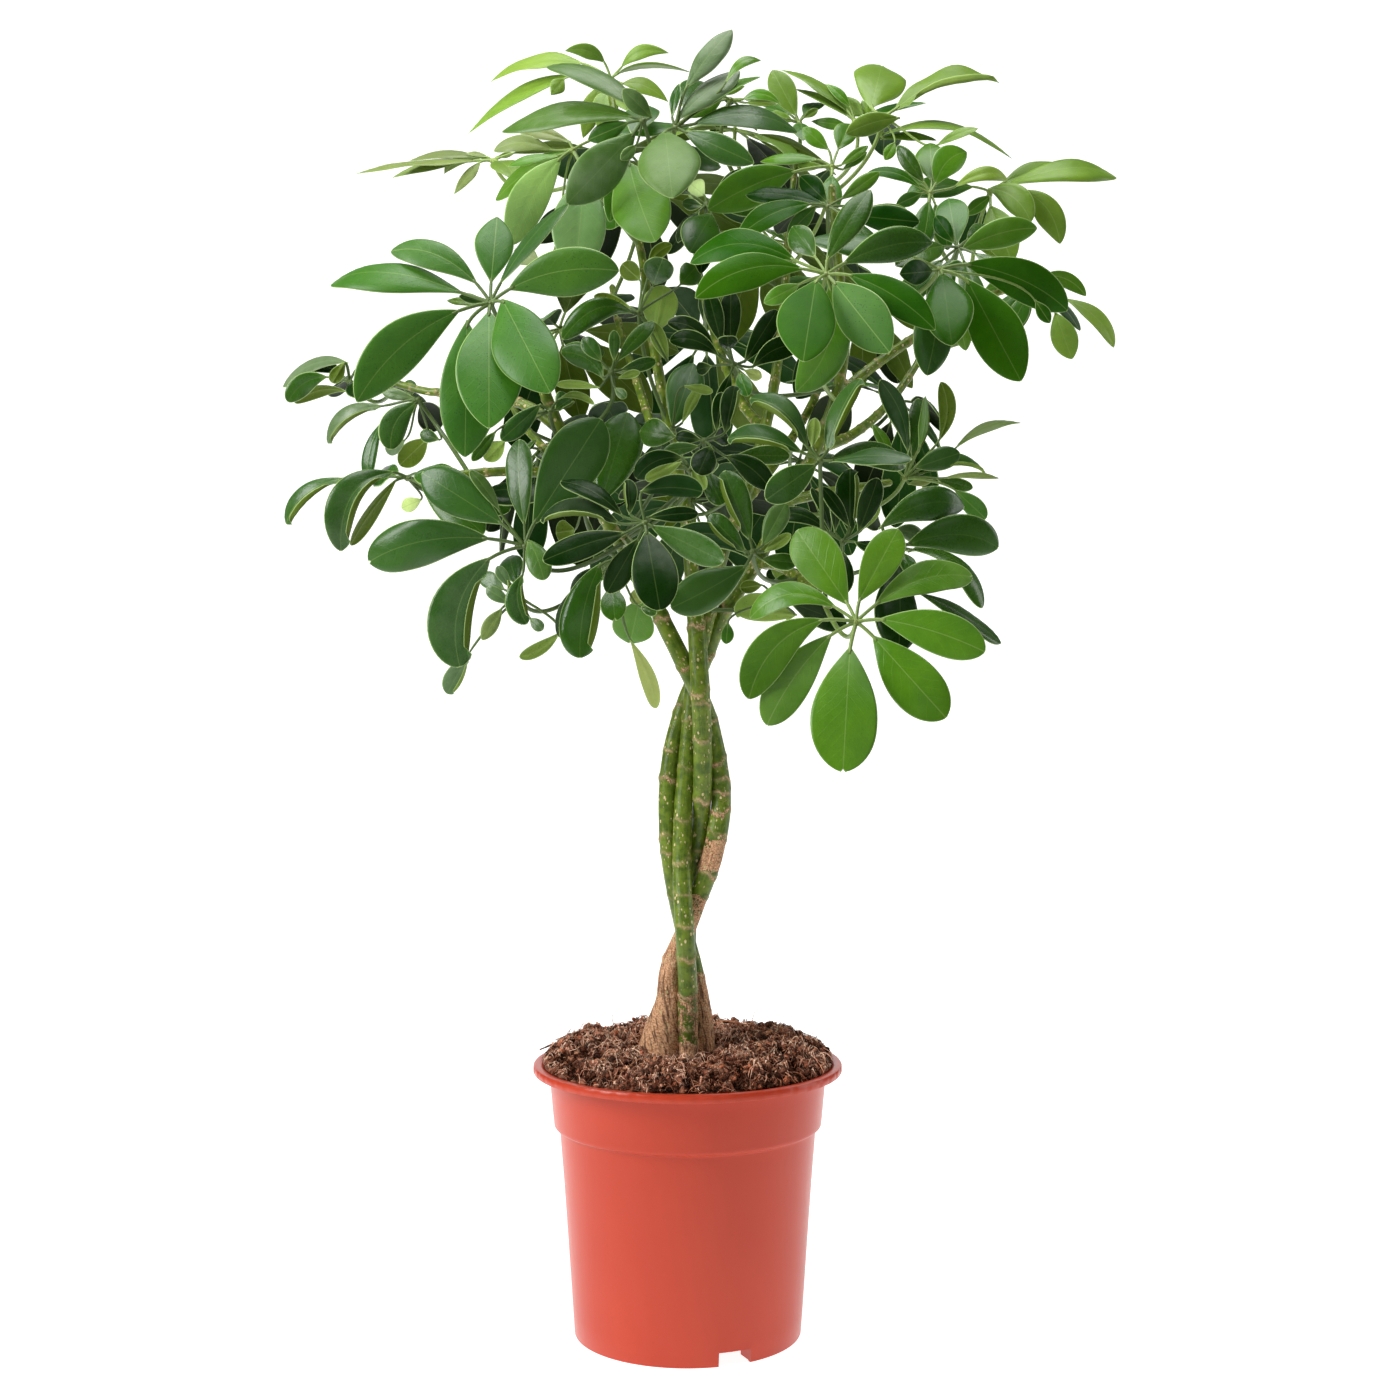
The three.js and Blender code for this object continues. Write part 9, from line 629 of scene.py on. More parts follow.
        (-59.3, 96.9, 881.5, -71.4, 89.4, 888.2, -87.3, 89.4, 888.1, 0.19, -0.94, -0.28, 10.8, "p", "V", "t", "l"),
        (-47.9, 97.1, 878, -33.5, 86.2, 886.7, -13.5, 87.2, 886.1, -0.29, -0.95, 0.09, 11, "p", "V", "t", "l"),
        (-52.2, 98.7, 873.5, -25.1, 87.3, 876.8, 2.8, 80.5, 869.8, -0.05, 0.06, -1, 19.7, "p", "V", "t", "l"),
        (-74, 105.8, 883, -110.3, 112.7, 886.5, -143.8, 124.5, 875.4, -0.24, -0.6, 0.76, 24.7, "p", "V", "t", "l"),
        (-79.8, 106.8, 876.2, -124, 114.4, 863.3, -159.9, 131.3, 838.8, -0.49, -0.52, 0.7, 31.2, "p", "V", "t", "l"),
        (-88, 89.9, 868.6, -91.7, 83.7, 862.2, -96.6, 79.8, 855, 0.47, -0.82, 0.32, 11.5, "p", "V", "t", "l"),
        (-62.9, 98.2, 866.3, -68.3, 91.3, 847.2, -74.7, 90.1, 827.2, 0.17, -0.97, 0.15, 15.9, "p", "V", "t", "l"),
        (-57.1, 95.9, 863.7, -59.1, 83.4, 847, -62, 76, 827.7, 0.16, -0.87, 0.46, 18.8, "p", "V", "t", "l"),
        (-52.1, 95.8, 865.1, -46.3, 85.6, 854.6, -38.8, 79.1, 842.3, -0.37, -0.84, 0.4, 14.4, "p", "V", "t", "l"),
        (-47.9, 97.7, 866.9, -30.7, 88.1, 863.2, -14.3, 87.2, 851.8, -0.33, -0.94, -0.08, 11.5, "p", "V", "t", "l"),
    ]),
]

# ------------------------------------------------------------------ colours
def lin(r, g, b):
    f = lambda c: (c / 255 / 12.92) if c / 255 <= 0.04045 else ((c / 255 + 0.055) / 1.055) ** 2.4
    return np.array([f(r), f(g), f(b)])


TOP = {  # upper side of a leaflet, by how old it is; some tones also hold painted light and shade, as noted below
    # k: partly its own dark green, partly painted shade inside the crown
    "k": lin(18, 47, 5),
    "d": lin(51, 92, 17),
    "r": lin(24, 68, 6),
    "e": lin(52, 92, 29),
    "t": lin(79, 116, 40),
    # s: grey-green with a painted sheen
    "s": lin(87, 116, 68),
    "m": lin(59, 110, 22),
    "n": lin(47, 98, 5),
    "b": lin(80, 130, 14),
    "y": lin(102, 137, 34),
    # p, v and w: pale greens brightened by painted light shining through the leaf
    "p": lin(121, 155, 50),
    "v": lin(119, 138, 73),
    "w": lin(198, 221, 135),
    # g: bright green, painted light on leaflets that sit in shade
    "g": lin(145, 188, 100),
    "h": lin(112, 153, 86),
}
UNDER = {  # underside; D and K are darker than a real underside, painted shade where undersides face into the crown
    "D": lin(22, 62, 7),
    "M": lin(85, 107, 22),
    "P": lin(137, 166, 73),
    "V": lin(164, 178, 98),
    "K": lin(26, 40, 14),
}
SHINE = {"k": 0.25, "d": 0.27, "r": 0.32, "e": 0.30, "t": 0.32, "s": 0.34, "m": 0.34, "n": 0.36, "b": 0.36, "y": 0.40, "p": 0.42, "v": 0.42, "w": 0.45, "g": 0.40, "h": 0.38}


# ------------------------------------------------------------------ meshes
def smooth(t):
    t = np.clip(t, 0, 1)
    return t * t * (3 - 2 * t)


def unit(v):
    v = np.asarray(v, float)
    return v / np.maximum(np.linalg.norm(v, axis=-1, keepdims=True), 1e-12)


def catmull(P, n):
    """Points along a centripetal-like curve through P, n steps in each span."""
    P = np.asarray(P, float)
    Q = np.vstack([2 * P[0] - P[1], P, 2 * P[-1] - P[-2]])
    out = []
    for i in range(len(P) - 1):
        a, b, c, d = Q[i], Q[i + 1], Q[i + 2], Q[i + 3]
        for t in np.arange(n) / n:
            out.append(0.5 * (2 * b + (c - a) * t + (2 * a - 5 * b + 4 * c - d) * t * t + (3 * b - a - 3 * c + d) * t ** 3))
    out.append(P[-1])
    return np.array(out)


class Soup:
    """Vertices, faces, material numbers and vertex attributes of one piece, gathered patch by patch."""

    def __init__(self, attrs=()):
        self.v, self.f, self.m, self.n = [], [], [], 0
        self.a = {k: [] for k in attrs}

    def add(self, V, F, mat, **attrs):
        V = np.asarray(V, float)
        self.v.append(V)
        self.f += [tuple(int(i) + self.n for i in f) for f in F]
        self.m += [mat] * len(F) if np.isscalar(mat) else list(mat)
        for k in self.a:
            x = np.asarray(attrs.get(k, (0, 0, 0)), float)
            self.a[k].append(np.broadcast_to(x, (len(V), 3)))
        self.n += len(V)

    def build(self, name, mats, nodes, sharp=None):
        V = np.vstack(self.v) * MM
        me = bpy.data.meshes.new(name)
        me.from_pydata(V.tolist(), [], self.f)
        me.polygons.foreach_set("use_smooth", [True] * len(me.polygons))
        for mt in mats:
            me.materials.append(mt)
        me.polygons.foreach_set("material_index", self.m)
        for k, parts in self.a.items():
            at = me.attributes.new(k, "FLOAT_VECTOR", "POINT")
            at.data.foreach_set("vector", np.vstack(parts).astype(np.float32).ravel())
        if sharp:
            me.set_sharp_from_angle(angle=math.radians(sharp))
        me.update()
        ob = bpy.data.objects.new(name, me)
        bpy.context.scene.collection.objects.link(ob)
        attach(ob, "root")
        if nodes:
            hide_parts(*nodes)
        return ob


def tube(P, R, sides, flat=1.0, up=None, cap=True):
    """Rings round a line of points. R may be one radius for each point, or one for each point and side."""
    P = np.asarray(P, float)
    R = np.asarray(R, float)
    if R.ndim < 2:
        R = np.broadcast_to(np.broadcast_to(R, (len(P),))[:, None], (len(P), sides))
    T = unit(np.gradient(P, axis=0))
    n = np.asarray(up if up is not None else (0, 0, 1), float)
    if abs(np.dot(unit(n), T[0])) > 0.95:
        n = np.array([1.0, 0.2, 0])
    V = []
    ang = np.arange(sides) / sides * 2 * np.pi
    for i in range(len(P)):
        n = unit(n - np.dot(n, T[i]) * T[i])
        b = np.cross(T[i], n)
        V.append(P[i] + R[i][:, None] * (np.sin(ang)[:, None] * n * flat + np.cos(ang)[:, None] * b))
    V = np.vstack(V)
    F = []
    for i in range(len(P) - 1):
        for k in range(sides):
            k2 = (k + 1) % sides
            a, c = i * sides, (i + 1) * sides
            F.append((a + k, a + k2, c + k2, c + k))
    if cap:
        e = (len(P) - 1) * sides
        F.append(tuple(range(sides))[::-1])
        F.append(tuple(e + k for k in range(sides)))
    return V, F


def value_noise(shape, cells, seed):
    """Smooth random field from 0 to 1 over a grid that wraps round in its second direction."""
    g = np.random.default_rng(seed).random((cells[0] + 2, cells[1]))
    y = np.linspace(0, cells[0], shape[0], endpoint=False)
    x = np.linspace(0, cells[1], shape[1], endpoint=False)
    yi, xi = y.astype(int), x.astype(int)
    fy, fx = smooth(y - yi)[:, None], smooth(x - xi)[None, :]
    a, b = g[yi][:, xi % cells[1]], g[yi][:, (xi + 1) % cells[1]]
    c, d = g[yi + 1][:, xi % cells[1]], g[yi + 1][:, (xi + 1) % cells[1]]
    return (a * (1 - fx) + b * fx) * (1 - fy) + (c * (1 - fx) + d * fx) * fy


# ------------------------------------------------------------------ materials
def new_mat(name):
    mt = bpy.data.materials.new(name)
    mt.use_nodes = True
    nt = mt.node_tree
    bsdf = nt.nodes["Principled BSDF"]
    return mt, nt, bsdf


class Net:
    """Short words for building a node tree."""

    def __init__(self, nt):
        self.nt = nt

    def node(self, kind, **props):
        n = self.nt.nodes.new(kind)
        for k, v in props.items():
            setattr(n, k, v)
        return n

    def put(self, sock, v):
        if hasattr(v, "links"):
            self.nt.links.new(v, sock)
        else:
            sock.default_value = v

    def math(self, op, a, b=0.0, c=0.0, clamp=False):
        n = self.node("ShaderNodeMath", operation=op, use_clamp=clamp)
        for s, v in zip(n.inputs, (a, b, c)):
            self.put(s, v)
        return n.outputs[0]

    def ramp(self, v, lo, hi, a=0.0, b=1.0):
        n = self.node("ShaderNodeMapRange", interpolation_type="SMOOTHSTEP")
        self.put(n.inputs["Value"], v)
        for k, x in (("From Min", lo), ("From Max", hi), ("To Min", a), ("To Max", b)):
            n.inputs[k].default_value = x
        return n.outputs["Result"]

    def mix(self, t, a, b, how="MIX"):
        n = self.node("ShaderNodeMix", data_type="RGBA", blend_type=how)
        self.put(n.inputs[0], t)
        for s, v in ((n.inputs[6], a), (n.inputs[7], b)):
            self.put(s, tuple(v) + (1.0,) if not hasattr(v, "links") and len(v) == 3 else v)
        return n.outputs[2]

    def attr(self, name):
        n = self.node("ShaderNodeAttribute", attribute_name=name)
        return n.outputs["Color"], n.outputs["Vector"]

    def split(self, v):
        n = self.node("ShaderNodeSeparateXYZ")
        self.put(n.inputs[0], v)
        return n.outputs

    def noise(self, scale, detail=3.0, rough=0.55, vec=None, dist=0.0):
        n = self.node("ShaderNodeTexNoise")
        n.inputs["Scale"].default_value = scale
        n.inputs["Detail"].default_value = detail
        n.inputs["Roughness"].default_value = rough
        n.inputs["Distortion"].default_value = dist
        self.put(n.inputs["Vector"], vec if vec is not None else self.obj())
        return n.outputs["Fac"]

    def obj(self):
        if not hasattr(self, "_o"):
            self._o = self.node("ShaderNodeTexCoord").outputs["Object"]
        return self._o

    def scaled(self, vec, s):
        n = self.node("ShaderNodeVectorMath", operation="MULTIPLY")
        self.put(n.inputs[0], vec)
        n.inputs[1].default_value = s
        return n.outputs[0]

    def voronoi(self, scale, vec=None, feature="F1"):
        n = self.node("ShaderNodeTexVoronoi", feature=feature)
        n.inputs["Scale"].default_value = scale
        self.put(n.inputs["Vector"], vec if vec is not None else self.obj())
        return n

    def bump(self, height, strength, distance, normal=None):
        n = self.node("ShaderNodeBump")
        n.inputs["Strength"].default_value = strength
        n.inputs["Distance"].default_value = distance
        self.put(n.inputs["Height"], height)
        if normal is not None:
            self.put(n.inputs["Normal"], normal)
        return n.outputs[0]


def leaf_material(name, top, wax):
    """Waxy blade: tint by vertex, fine pale midrib and side veins, thin pale margin, mottling and grain."""
    mt, nt, bsdf = new_mat(name)
    N = Net(nt)
    tint, _ = N.attr("tint")
    _, lv = N.attr("lv")       # across (mm), along (mm), distance to the margin (mm)
    x, l, e = N.split(lv)[:3]
    _, rv = N.attr("rnd")      # leaflet's own numbers: side veins, speckle, roughness
    veiny, speck, rough = N.split(rv)[:3]
    _, rb = N.attr("rib")      # midrib, margin, painted grey sheen
    ribk, edgek, bloom = N.split(rb)[:3]
    ax = N.math("ABSOLUTE", x)
    big = N.noise(30, 3.0, 0.6)
    mid = N.noise(170, 3.0, 0.6)
    fine = N.noise(1100, 2.0, 0.6)
    col = tint
    # broad and fine mottling
    k = N.math("ADD", N.math("MULTIPLY", N.math("SUBTRACT", big, 0.5), 0.75), N.math("MULTIPLY", N.math("SUBTRACT", mid, 0.5), 0.22))
    k = N.math("ADD", k, N.math("MULTIPLY", N.math("SUBTRACT", fine, 0.5), 0.14))
    n = N.node("ShaderNodeHueSaturation")
    N.put(n.inputs["Color"], col)
    N.put(n.inputs["Value"], N.math("ADD", k, 1.0))
    N.put(n.inputs["Hue"], N.math("ADD", N.math("MULTIPLY", N.math("SUBTRACT", big, 0.5), -0.025), 0.5))
    col = n.outputs[0]
    # fine dark speckles on the middle-aged leaves
    sp = N.voronoi(620).outputs["Distance"]
    dots = N.math("MULTIPLY", N.ramp(sp, 0.34, 0.14), N.ramp(mid, 0.42, 0.62))
    dark = N.mix(1.0, col, (0.35, 0.48, 0.35), "MULTIPLY")
    col = N.mix(N.math("MULTIPLY", dots, speck), col, dark)
    # side veins: slanted from the midrib to the margin
    wob = N.math("MULTIPLY", N.math("SUBTRACT", N.noise(90, 2.0, 0.5), 0.5), 3.4)
    ph = N.math("DIVIDE", N.math("ADD", N.math("SUBTRACT", l, N.math("MULTIPLY", ax, 1.15)), wob), 7.4)
    fr = N.math("ABSOLUTE", N.math("SUBTRACT", N.math("FRACT", N.math("ADD", ph, 20.0)), 0.5))
    vein = N.ramp(fr, 0.07, 0.0)
    vein = N.math("MULTIPLY", vein, N.ramp(e, 0.3, 4.0))
    vein = N.math("MULTIPLY", vein, veiny)
    # fine net between the side veins
    net = N.voronoi(330, feature="DISTANCE_TO_EDGE").outputs["Distance"]
    netline = N.math("MULTIPLY", N.ramp(net, 0.07, 0.0), N.math("MULTIPLY", veiny, 0.35))
    light = N.mix(1.0, col, (1.50, 1.36, 1.25) if top else (0.62, 0.72, 0.55), "MULTIPLY")
    col = N.mix(N.math("MULTIPLY", N.math("ADD", vein, netline), 0.45), col, light)
    # midrib: a fine line down the middle of the blade
    rib = N.math("MULTIPLY", N.ramp(ax, 0.46, 0.10), ribk)
    ribcol = N.mix(0.62, col, (0.30, 0.44, 0.12) if top else (0.36, 0.44, 0.16))
    col = N.mix(rib, col, ribcol)
    # base of the blade, next to the stalk
    col = N.mix(N.math("MULTIPLY", N.ramp(l, 7.0, 0.5), 0.35), col, (0.22, 0.34, 0.08))
    # painted grey sheen in patches
    col = N.mix(N.math("MULTIPLY", N.ramp(big, 0.40, 0.66), bloom), col, (0.30, 0.36, 0.26))
    # margin line
    edge = N.math("MULTIPLY", N.ramp(e, 0.72, 0.20), edgek)
    col = N.mix(edge, col, (0.44, 0.60, 0.22))
    N.put(bsdf.inputs["Base Color"], col)
    r = N.math("ADD", rough if top else N.math("ADD", rough, 0.2), N.math("MULTIPLY", N.math("SUBTRACT", mid, 0.5), 0.20))
    N.put(bsdf.inputs["Roughness"], N.math("ADD", r, N.math("MULTIPLY", vein, 0.05)))
    bsdf.inputs["Specular IOR Level"].default_value = wax
    h = N.math("ADD", N.math("MULTIPLY", fine, 0.4), N.math("MULTIPLY", vein, -0.5 if top else 0.8))
    h = N.math("ADD", h, N.math("MULTIPLY", mid, 1.0))
    N.put(bsdf.inputs["Normal"], N.bump(h, 0.42, 0.0004))
    return mt


def stalk_material():
    mt, nt, bsdf = new_mat("leaf_stalk")
    N = Net(nt)
    tint, _ = N.attr("tint")
    mid = N.noise(160, 3.0, 0.6)
    streak = N.noise(60, 2.0, 0.5, N.scaled(N.obj(), (9, 9, 1)))
    n = N.node("ShaderNodeHueSaturation")
    N.put(n.inputs["Color"], tint)
    N.put(n.inputs["Value"], N.math("ADD", N.math("MULTIPLY", N.math("SUBTRACT", N.math("ADD", mid, streak), 1.0), 0.45), 1.0))
    N.put(bsdf.inputs["Base Color"], n.outputs[0])
    N.put(bsdf.inputs["Roughness"], N.math("ADD", N.math("MULTIPLY", mid, 0.25), 0.32))
    N.put(bsdf.inputs["Normal"], N.bump(N.math("ADD", mid, streak), 0.4, 0.0004))
    return mt


def stem_material():
    """Green skin that turns to corky tan bark at the nodes and at the foot, with tan breathing pores."""
    mt, nt, bsdf = new_mat("stem_bark")
    N = Net(nt)
    _, sv = N.attr("sk")     # corkiness, node ring, height factor
    cork, ring, foot = N.split(sv)[:3]
    _, along = N.attr("al")  # round the stem (mm), along the stem (mm), own number
    flat = N.scaled(along, (1.0, 1.0, 8.0))
    ng = N.noise(0.16, 4.0, 0.6, flat)
    nf = N.noise(0.9, 3.0, 0.6, flat)
    streak = N.noise(0.36, 3.0, 0.55, N.scaled(along, (1.6, 0.20, 8.0)))
    green = N.mix(N.ramp(ng, 0.32, 0.68), (0.060, 0.112, 0.006), (0.165, 0.240, 0.016))
    green = N.mix(N.math("MULTIPLY", N.ramp(streak, 0.45, 0.72), 0.4), green, (0.21, 0.27, 0.035))
    tan = N.mix(N.ramp(nf, 0.34, 0.62), (0.40, 0.176, 0.078), (0.86, 0.50, 0.28))
    tan = N.mix(N.math("MULTIPLY", N.ramp(streak, 0.50, 0.62), N.ramp(foot, 0.0, 0.35, 0.85, 0.35)), tan, (0.085, 0.032, 0.012))
    # cork in ragged patches
    c = N.math("ADD", cork, N.math("MULTIPLY", N.math("SUBTRACT", ng, 0.5), 1.2))
    c = N.math("ADD", c, N.math("MULTIPLY", N.math("SUBTRACT", nf, 0.5), 0.65))
    cm = N.ramp(c, 0.47, 0.55)
    # pores
    vo = N.voronoi(0.20, N.scaled(along, (1.0, 0.75, 8.0)))
    dot = N.ramp(N.math("ADD", vo.outputs["Distance"], N.math("MULTIPLY", N.math("SUBTRACT", nf, 0.5), 0.22)), 0.21, 0.15)
    vo2 = N.voronoi(0.31, N.scaled(along, (1.15, 0.62, 8.0)))
    dot2 = N.math("MULTIPLY", N.ramp(vo2.outputs["Distance"], 0.23, 0.16), N.ramp(ng, 0.42, 0.56))
    d = N.math("MAXIMUM", dot, dot2)
    d = N.math("MULTIPLY", d, N.ramp(foot, 0.0, 0.10, 0.35, 1.0))
    col = N.mix(cm, green, tan)
    col = N.mix(N.math("MULTIPLY", d, 0.9), col, N.mix(N.ramp(nf, 0.3, 0.7), (0.56, 0.46, 0.16), (0.90, 0.76, 0.44)))
    col = N.mix(N.math("MULTIPLY", ring, 0.95), col, N.mix(N.ramp(nf, 0.3, 0.7), (0.46, 0.25, 0.12), (0.88, 0.60, 0.38)))
    N.put(bsdf.inputs["Base Color"], col)
    N.put(bsdf.inputs["Roughness"], N.math("ADD", N.math("MULTIPLY", N.math("MAXIMUM", cm, ring), 0.34), N.math("ADD", N.math("MULTIPLY", nf, 0.15), 0.27)))
    bsdf.inputs["Specular IOR Level"].default_value = 0.36
    h = N.math("ADD", N.math("MULTIPLY", d, 0.9), N.math("MULTIPLY", N.math("MULTIPLY", cm, N.math("ADD", nf, streak)), 1.5))
    h = N.math("ADD", h, N.math("MULTIPLY", nf, 0.2))
    N.put(bsdf.inputs["Normal"], N.bump(h, 0.9, 0.0010))
    return mt


POT_A, POT_B = (0.468, 0.041, 0.014), (0.515, 0.051, 0.020)


def pot_material():
    """Injection-moulded terracotta-coloured plastic, very slightly streaky."""
    mt, nt, bsdf = new_mat("pot_plastic")
    N = Net(nt)
    big = N.noise(9, 2.0, 0.5)
    streak = N.noise(26, 3.0, 0.5, N.scaled(N.obj(), (1, 1, 0.12)))
    fine = N.noise(1400, 2.0, 0.6)
    mid = N.noise(210, 3.0, 0.6)
    col = N.mix(N.ramp(N.math("ADD", N.math("MULTIPLY", big, 0.7), N.math("MULTIPLY", streak, 0.3)), 0.3, 0.7), POT_A, POT_B)
    col = N.mix(N.math("MULTIPLY", N.ramp(fine, 0.45, 0.75), 0.05), col, (0.62, 0.14, 0.08))
    N.put(bsdf.inputs["Base Color"], col)
    N.put(bsdf.inputs["Roughness"], N.math("ADD", N.math("MULTIPLY", mid, 0.08), 0.27))
    bsdf.inputs["Specular IOR Level"].default_value = 0.32
    h = N.math("ADD", N.math("MULTIPLY", fine, 0.4), N.math("MULTIPLY", N.noise(55, 2.0, 0.5, N.scaled(N.obj(), (1, 1, 0.2))), 1.6))
    N.put(bsdf.inputs["Normal"], N.bump(h, 0.12, 0.0006))
    return mt


def soil_material(name, dark, warm, pale, pale_share, scale):
    mt, nt, bsdf = new_mat(name)
    N = Net(nt)
    a = N.noise(scale, 4.0, 0.65)
    b = N.noise(scale * 5, 3.0, 0.6)
    c = N.noise(scale * 0.25, 2.0, 0.5)
    tint, _ = N.attr("tint")
    col = N.mix(N.ramp(a, 0.38, 0.60), dark, warm)
    col = N.mix(N.math("MULTIPLY", N.ramp(b, 0.50, 0.72), pale_share), col, pale)
    col = N.mix(N.math("MULTIPLY", N.ramp(c, 0.55, 0.35), 0.45), col, dark)
    col = N.mix(1.0, col, tint, "MULTIPLY")
    N.put(bsdf.inputs["Base Color"], col)
    N.put(bsdf.inputs["Roughness"], N.math("ADD", N.math("MULTIPLY", b, 0.2), 0.75))
    bsdf.inputs["Specular IOR Level"].default_value = 0.04
    N.put(bsdf.inputs["Normal"], N.bump(N.math("ADD", N.math("MULTIPLY", b, 0.6), a), 1.0, 0.0014))
    return mt


M_TOP = leaf_material("leaf_upper", True, 0.34)
M_DULL = leaf_material("leaf_upper_dull", True, 0.09)
M_UND = leaf_material("leaf_underside", False, 0.14)
M_STK = stalk_material()
M_STEM = stem_material()
M_POT = pot_material()
M_SOIL = soil_material("coir_soil", (0.030, 0.008, 0.003), (0.40, 0.130, 0.066), (0.80, 0.52, 0.38), 0.45, 330)
M_FIB = soil_material("coir_fibre", (0.26, 0.090, 0.044), (0.66, 0.36, 0.22), (0.95, 0.80, 0.70), 0.65, 500)

# ------------------------------------------------------------------ leaves
# outline of a blade by kind: where it is widest, and how its end closes
#   r: widest past the middle with a round end, o: the same but blunter to a point, a: pointed, l: narrow and long-pointed
KIND = {"o": (0.62, 1.02, 2.3, 0.62), "r": (0.62, 1.02, 2.7, 0.54), "a": (0.57, 1.05, 2.0, 0.76), "l": (0.47, 1.05, 1.65, 0.95)}


def outline(u, kind):
    pk, e, a, b = KIND[kind]
    lo = np.sin(np.pi / 2 * np.minimum(u / pk, 1)) ** e
    hi = np.maximum(1 - np.maximum((u - pk) / (1 - pk), 0) ** a, 0) ** b
    return np.where(u < pk, lo, hi)


NU, NV = ((27, 15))
tv = np.linspace(-1, 1, NV)
VS = np.sign(tv) * (np.abs(tv) ** 1.25 * 0.35 + (1 - (1 - np.abs(tv)) ** 1.6) * 0.65)
tu = np.linspace(0, 1, NU)
US = 0.5 - 0.5 * np.cos(np.pi * tu ** 0.92)
US[0], US[-1] = 0, 1


def blade(B, M, T, nrm, W, g):
    """One leaflet's blade as a thin closed shell. g holds its own shape numbers."""
    B, M, T = (np.asarray(p, float) for p in (B, M, T))
    Q = 2 * M - (B + T) / 2
    u = US[:, None]
    P = (1 - u) ** 2 * B + 2 * u * (1 - u) * Q + u * u * T
    t = unit(2 * (1 - u) * (Q - B) + 2 * u * (T - Q))
    n0 = np.asarray(nrm, float)
    n = unit(n0 - (t @ n0)[:, None] * t)
    b = np.cross(t, n)
    L = np.linalg.norm(T - B)
    S = outline(US, g["kind"]) ** g["blunt"]
    asym = 1 + g["asym"] * np.sin(np.pi * US)
    hw = np.maximum(W / 2 * S, 0.75 * (1 - US) ** 0.3)
    hw[-1] = W * 0.5 * g["tipw"]
    x = VS[None, :] * hw[:, None] * np.where(VS[None, :] > 0, asym[:, None], 2 - asym[:, None])
    av = np.abs(VS)[None, :]
    r = smooth(US / 0.15)[:, None]          # the blade is stiff where it joins its stalk
    w = (W / 2 * S)[:, None]
    z = -g["droop"] * 2 * w * av ** 1.5 * r
    # folded up along the midrib, each side by its own angle
    ang = np.where(VS[None, :] > 0, g["fa"], g["fb"]) + g["fold"]
    ang = ang * smooth(US / 0.22)[:, None] * (1 - 0.35 * smooth((US - 0.75) / 0.25)[:, None])
    ang = ang * smooth(av / 0.22)
    z += np.abs(x) * np.sin(ang)
    x = x * np.cos(ang)
    roll = np.maximum(av - 0.62, 0) ** 2 / 0.1444
    z -= g["roll"] * w * roll * r
    ph = g["ph"]
    wave = np.sin(2 * np.pi * (g["waves"] * US[:, None] + np.where(VS[None, :] > 0, ph, ph + 0.37)))
    z += g["wave"] * w * av ** 1.8 * wave * r
    # soft quilting between the side veins, and the sunken midrib
    quilt = np.cos(2 * np.pi * (US[:, None] * L - 1.15 * np.abs(x)) / 7.4)
    z += 0.10 * quilt * smooth(av / 0.25) * smooth((1 - av) / 0.2) * r
    z -= 0.34 * np.exp(-(x / 0.9) ** 2) * (1 - US[:, None]) ** 0.5 * r
    # the end curls down, and the blade twists along its length
    z -= (g["tip"] * L * np.maximum(US - 0.68, 0) ** 2 / 0.1024)[:, None]
    tw = g["twist"] * (US - 0.35)[:, None]
    xs = x * (1 - g["roll"] * 0.16 * roll * r)
    if g["hem"]:           # one margin is folded over, so that its underside shows
        al = g["turn"] * (smooth((US - 0.10) / 0.16) * smooth((0.97 - US) / 0.13))[:, None]
        k0 = NV // 2
        cols = list(range(k0, NV)) if g["hem"] > 0 else list(range(k0, -1, -1))
        for c0, c1 in zip(cols[:-1], cols[1:]):
            avm = (abs(VS[c0]) + abs(VS[c1])) / 2
            th = al[:, 0] * smooth((avm - 0.50) / 0.26)
            seg = np.abs(x[:, c1] - x[:, c0])
            xs[:, c1] = xs[:, c0] + g["hem"] * seg * np.cos(th)
            zc = z[:, c0] + seg * np.sin(th)
            z[:, c1] = np.where(th > 0.2, zc, z[:, c1])
    X = xs * np.cos(tw) + z * np.sin(tw) * 0
    Z = z + xs * np.sin(tw)
    back = g["notch"] * np.exp(-((VS / 0.42) ** 2))[None, :] * smooth((US - 0.86) / 0.14)[:, None]
    C = P[:, None, :] + b[:, None, :] * X[..., None] + n[:, None, :] * Z[..., None] - t[:, None, :] * back[..., None]
    # surface normals from the grid itself
    du = np.gradient(C, axis=0)
    dv = np.gradient(C, axis=1)
    nn = unit(np.cross(du, dv))
    nn = -nn
    th = 0.30 * (1 - 0.55 * av ** 6)
    ridge = 0.85 * np.exp(-(x / 0.85) ** 2) * ((1 - US) ** 0.7)[:, None] * smooth((1 - av) / 0.3) * np.where(S[:, None] > 0.2, 1, 0.4)
    topg = C + nn * (th / 2)[..., None]
    botg = C - nn * (th / 2 + ridge)[..., None]
    V = np.vstack([topg.reshape(-1, 3), botg.reshape(-1, 3)])
    K = NU * NV
    idx = np.arange(K).reshape(NU, NV)
    a, c, d, e = idx[:-1, :-1].ravel(), idx[:-1, 1:].ravel(), idx[1:, 1:].ravel(), idx[1:, :-1].ravel()
    F = [tuple(q) for q in np.stack([a, e, d, c], 1)] + [tuple(q) for q in np.stack([a + K, c + K, d + K, e + K], 1)]
    mats = [0] * len(a) + [1] * len(a)
    loop = list(idx[0, :]) + list(idx[1:, -1]) + list(idx[-1, -2::-1]) + list(idx[-2:0:-1, 0])
    for i in range(len(loop)):
        p, q = loop[i], loop[(i + 1) % len(loop)]
        F.append((p, q, q + K, p + K))
        mats.append(0)
    edge = np.minimum(hw[:, None] * (1 - av), 1e9)
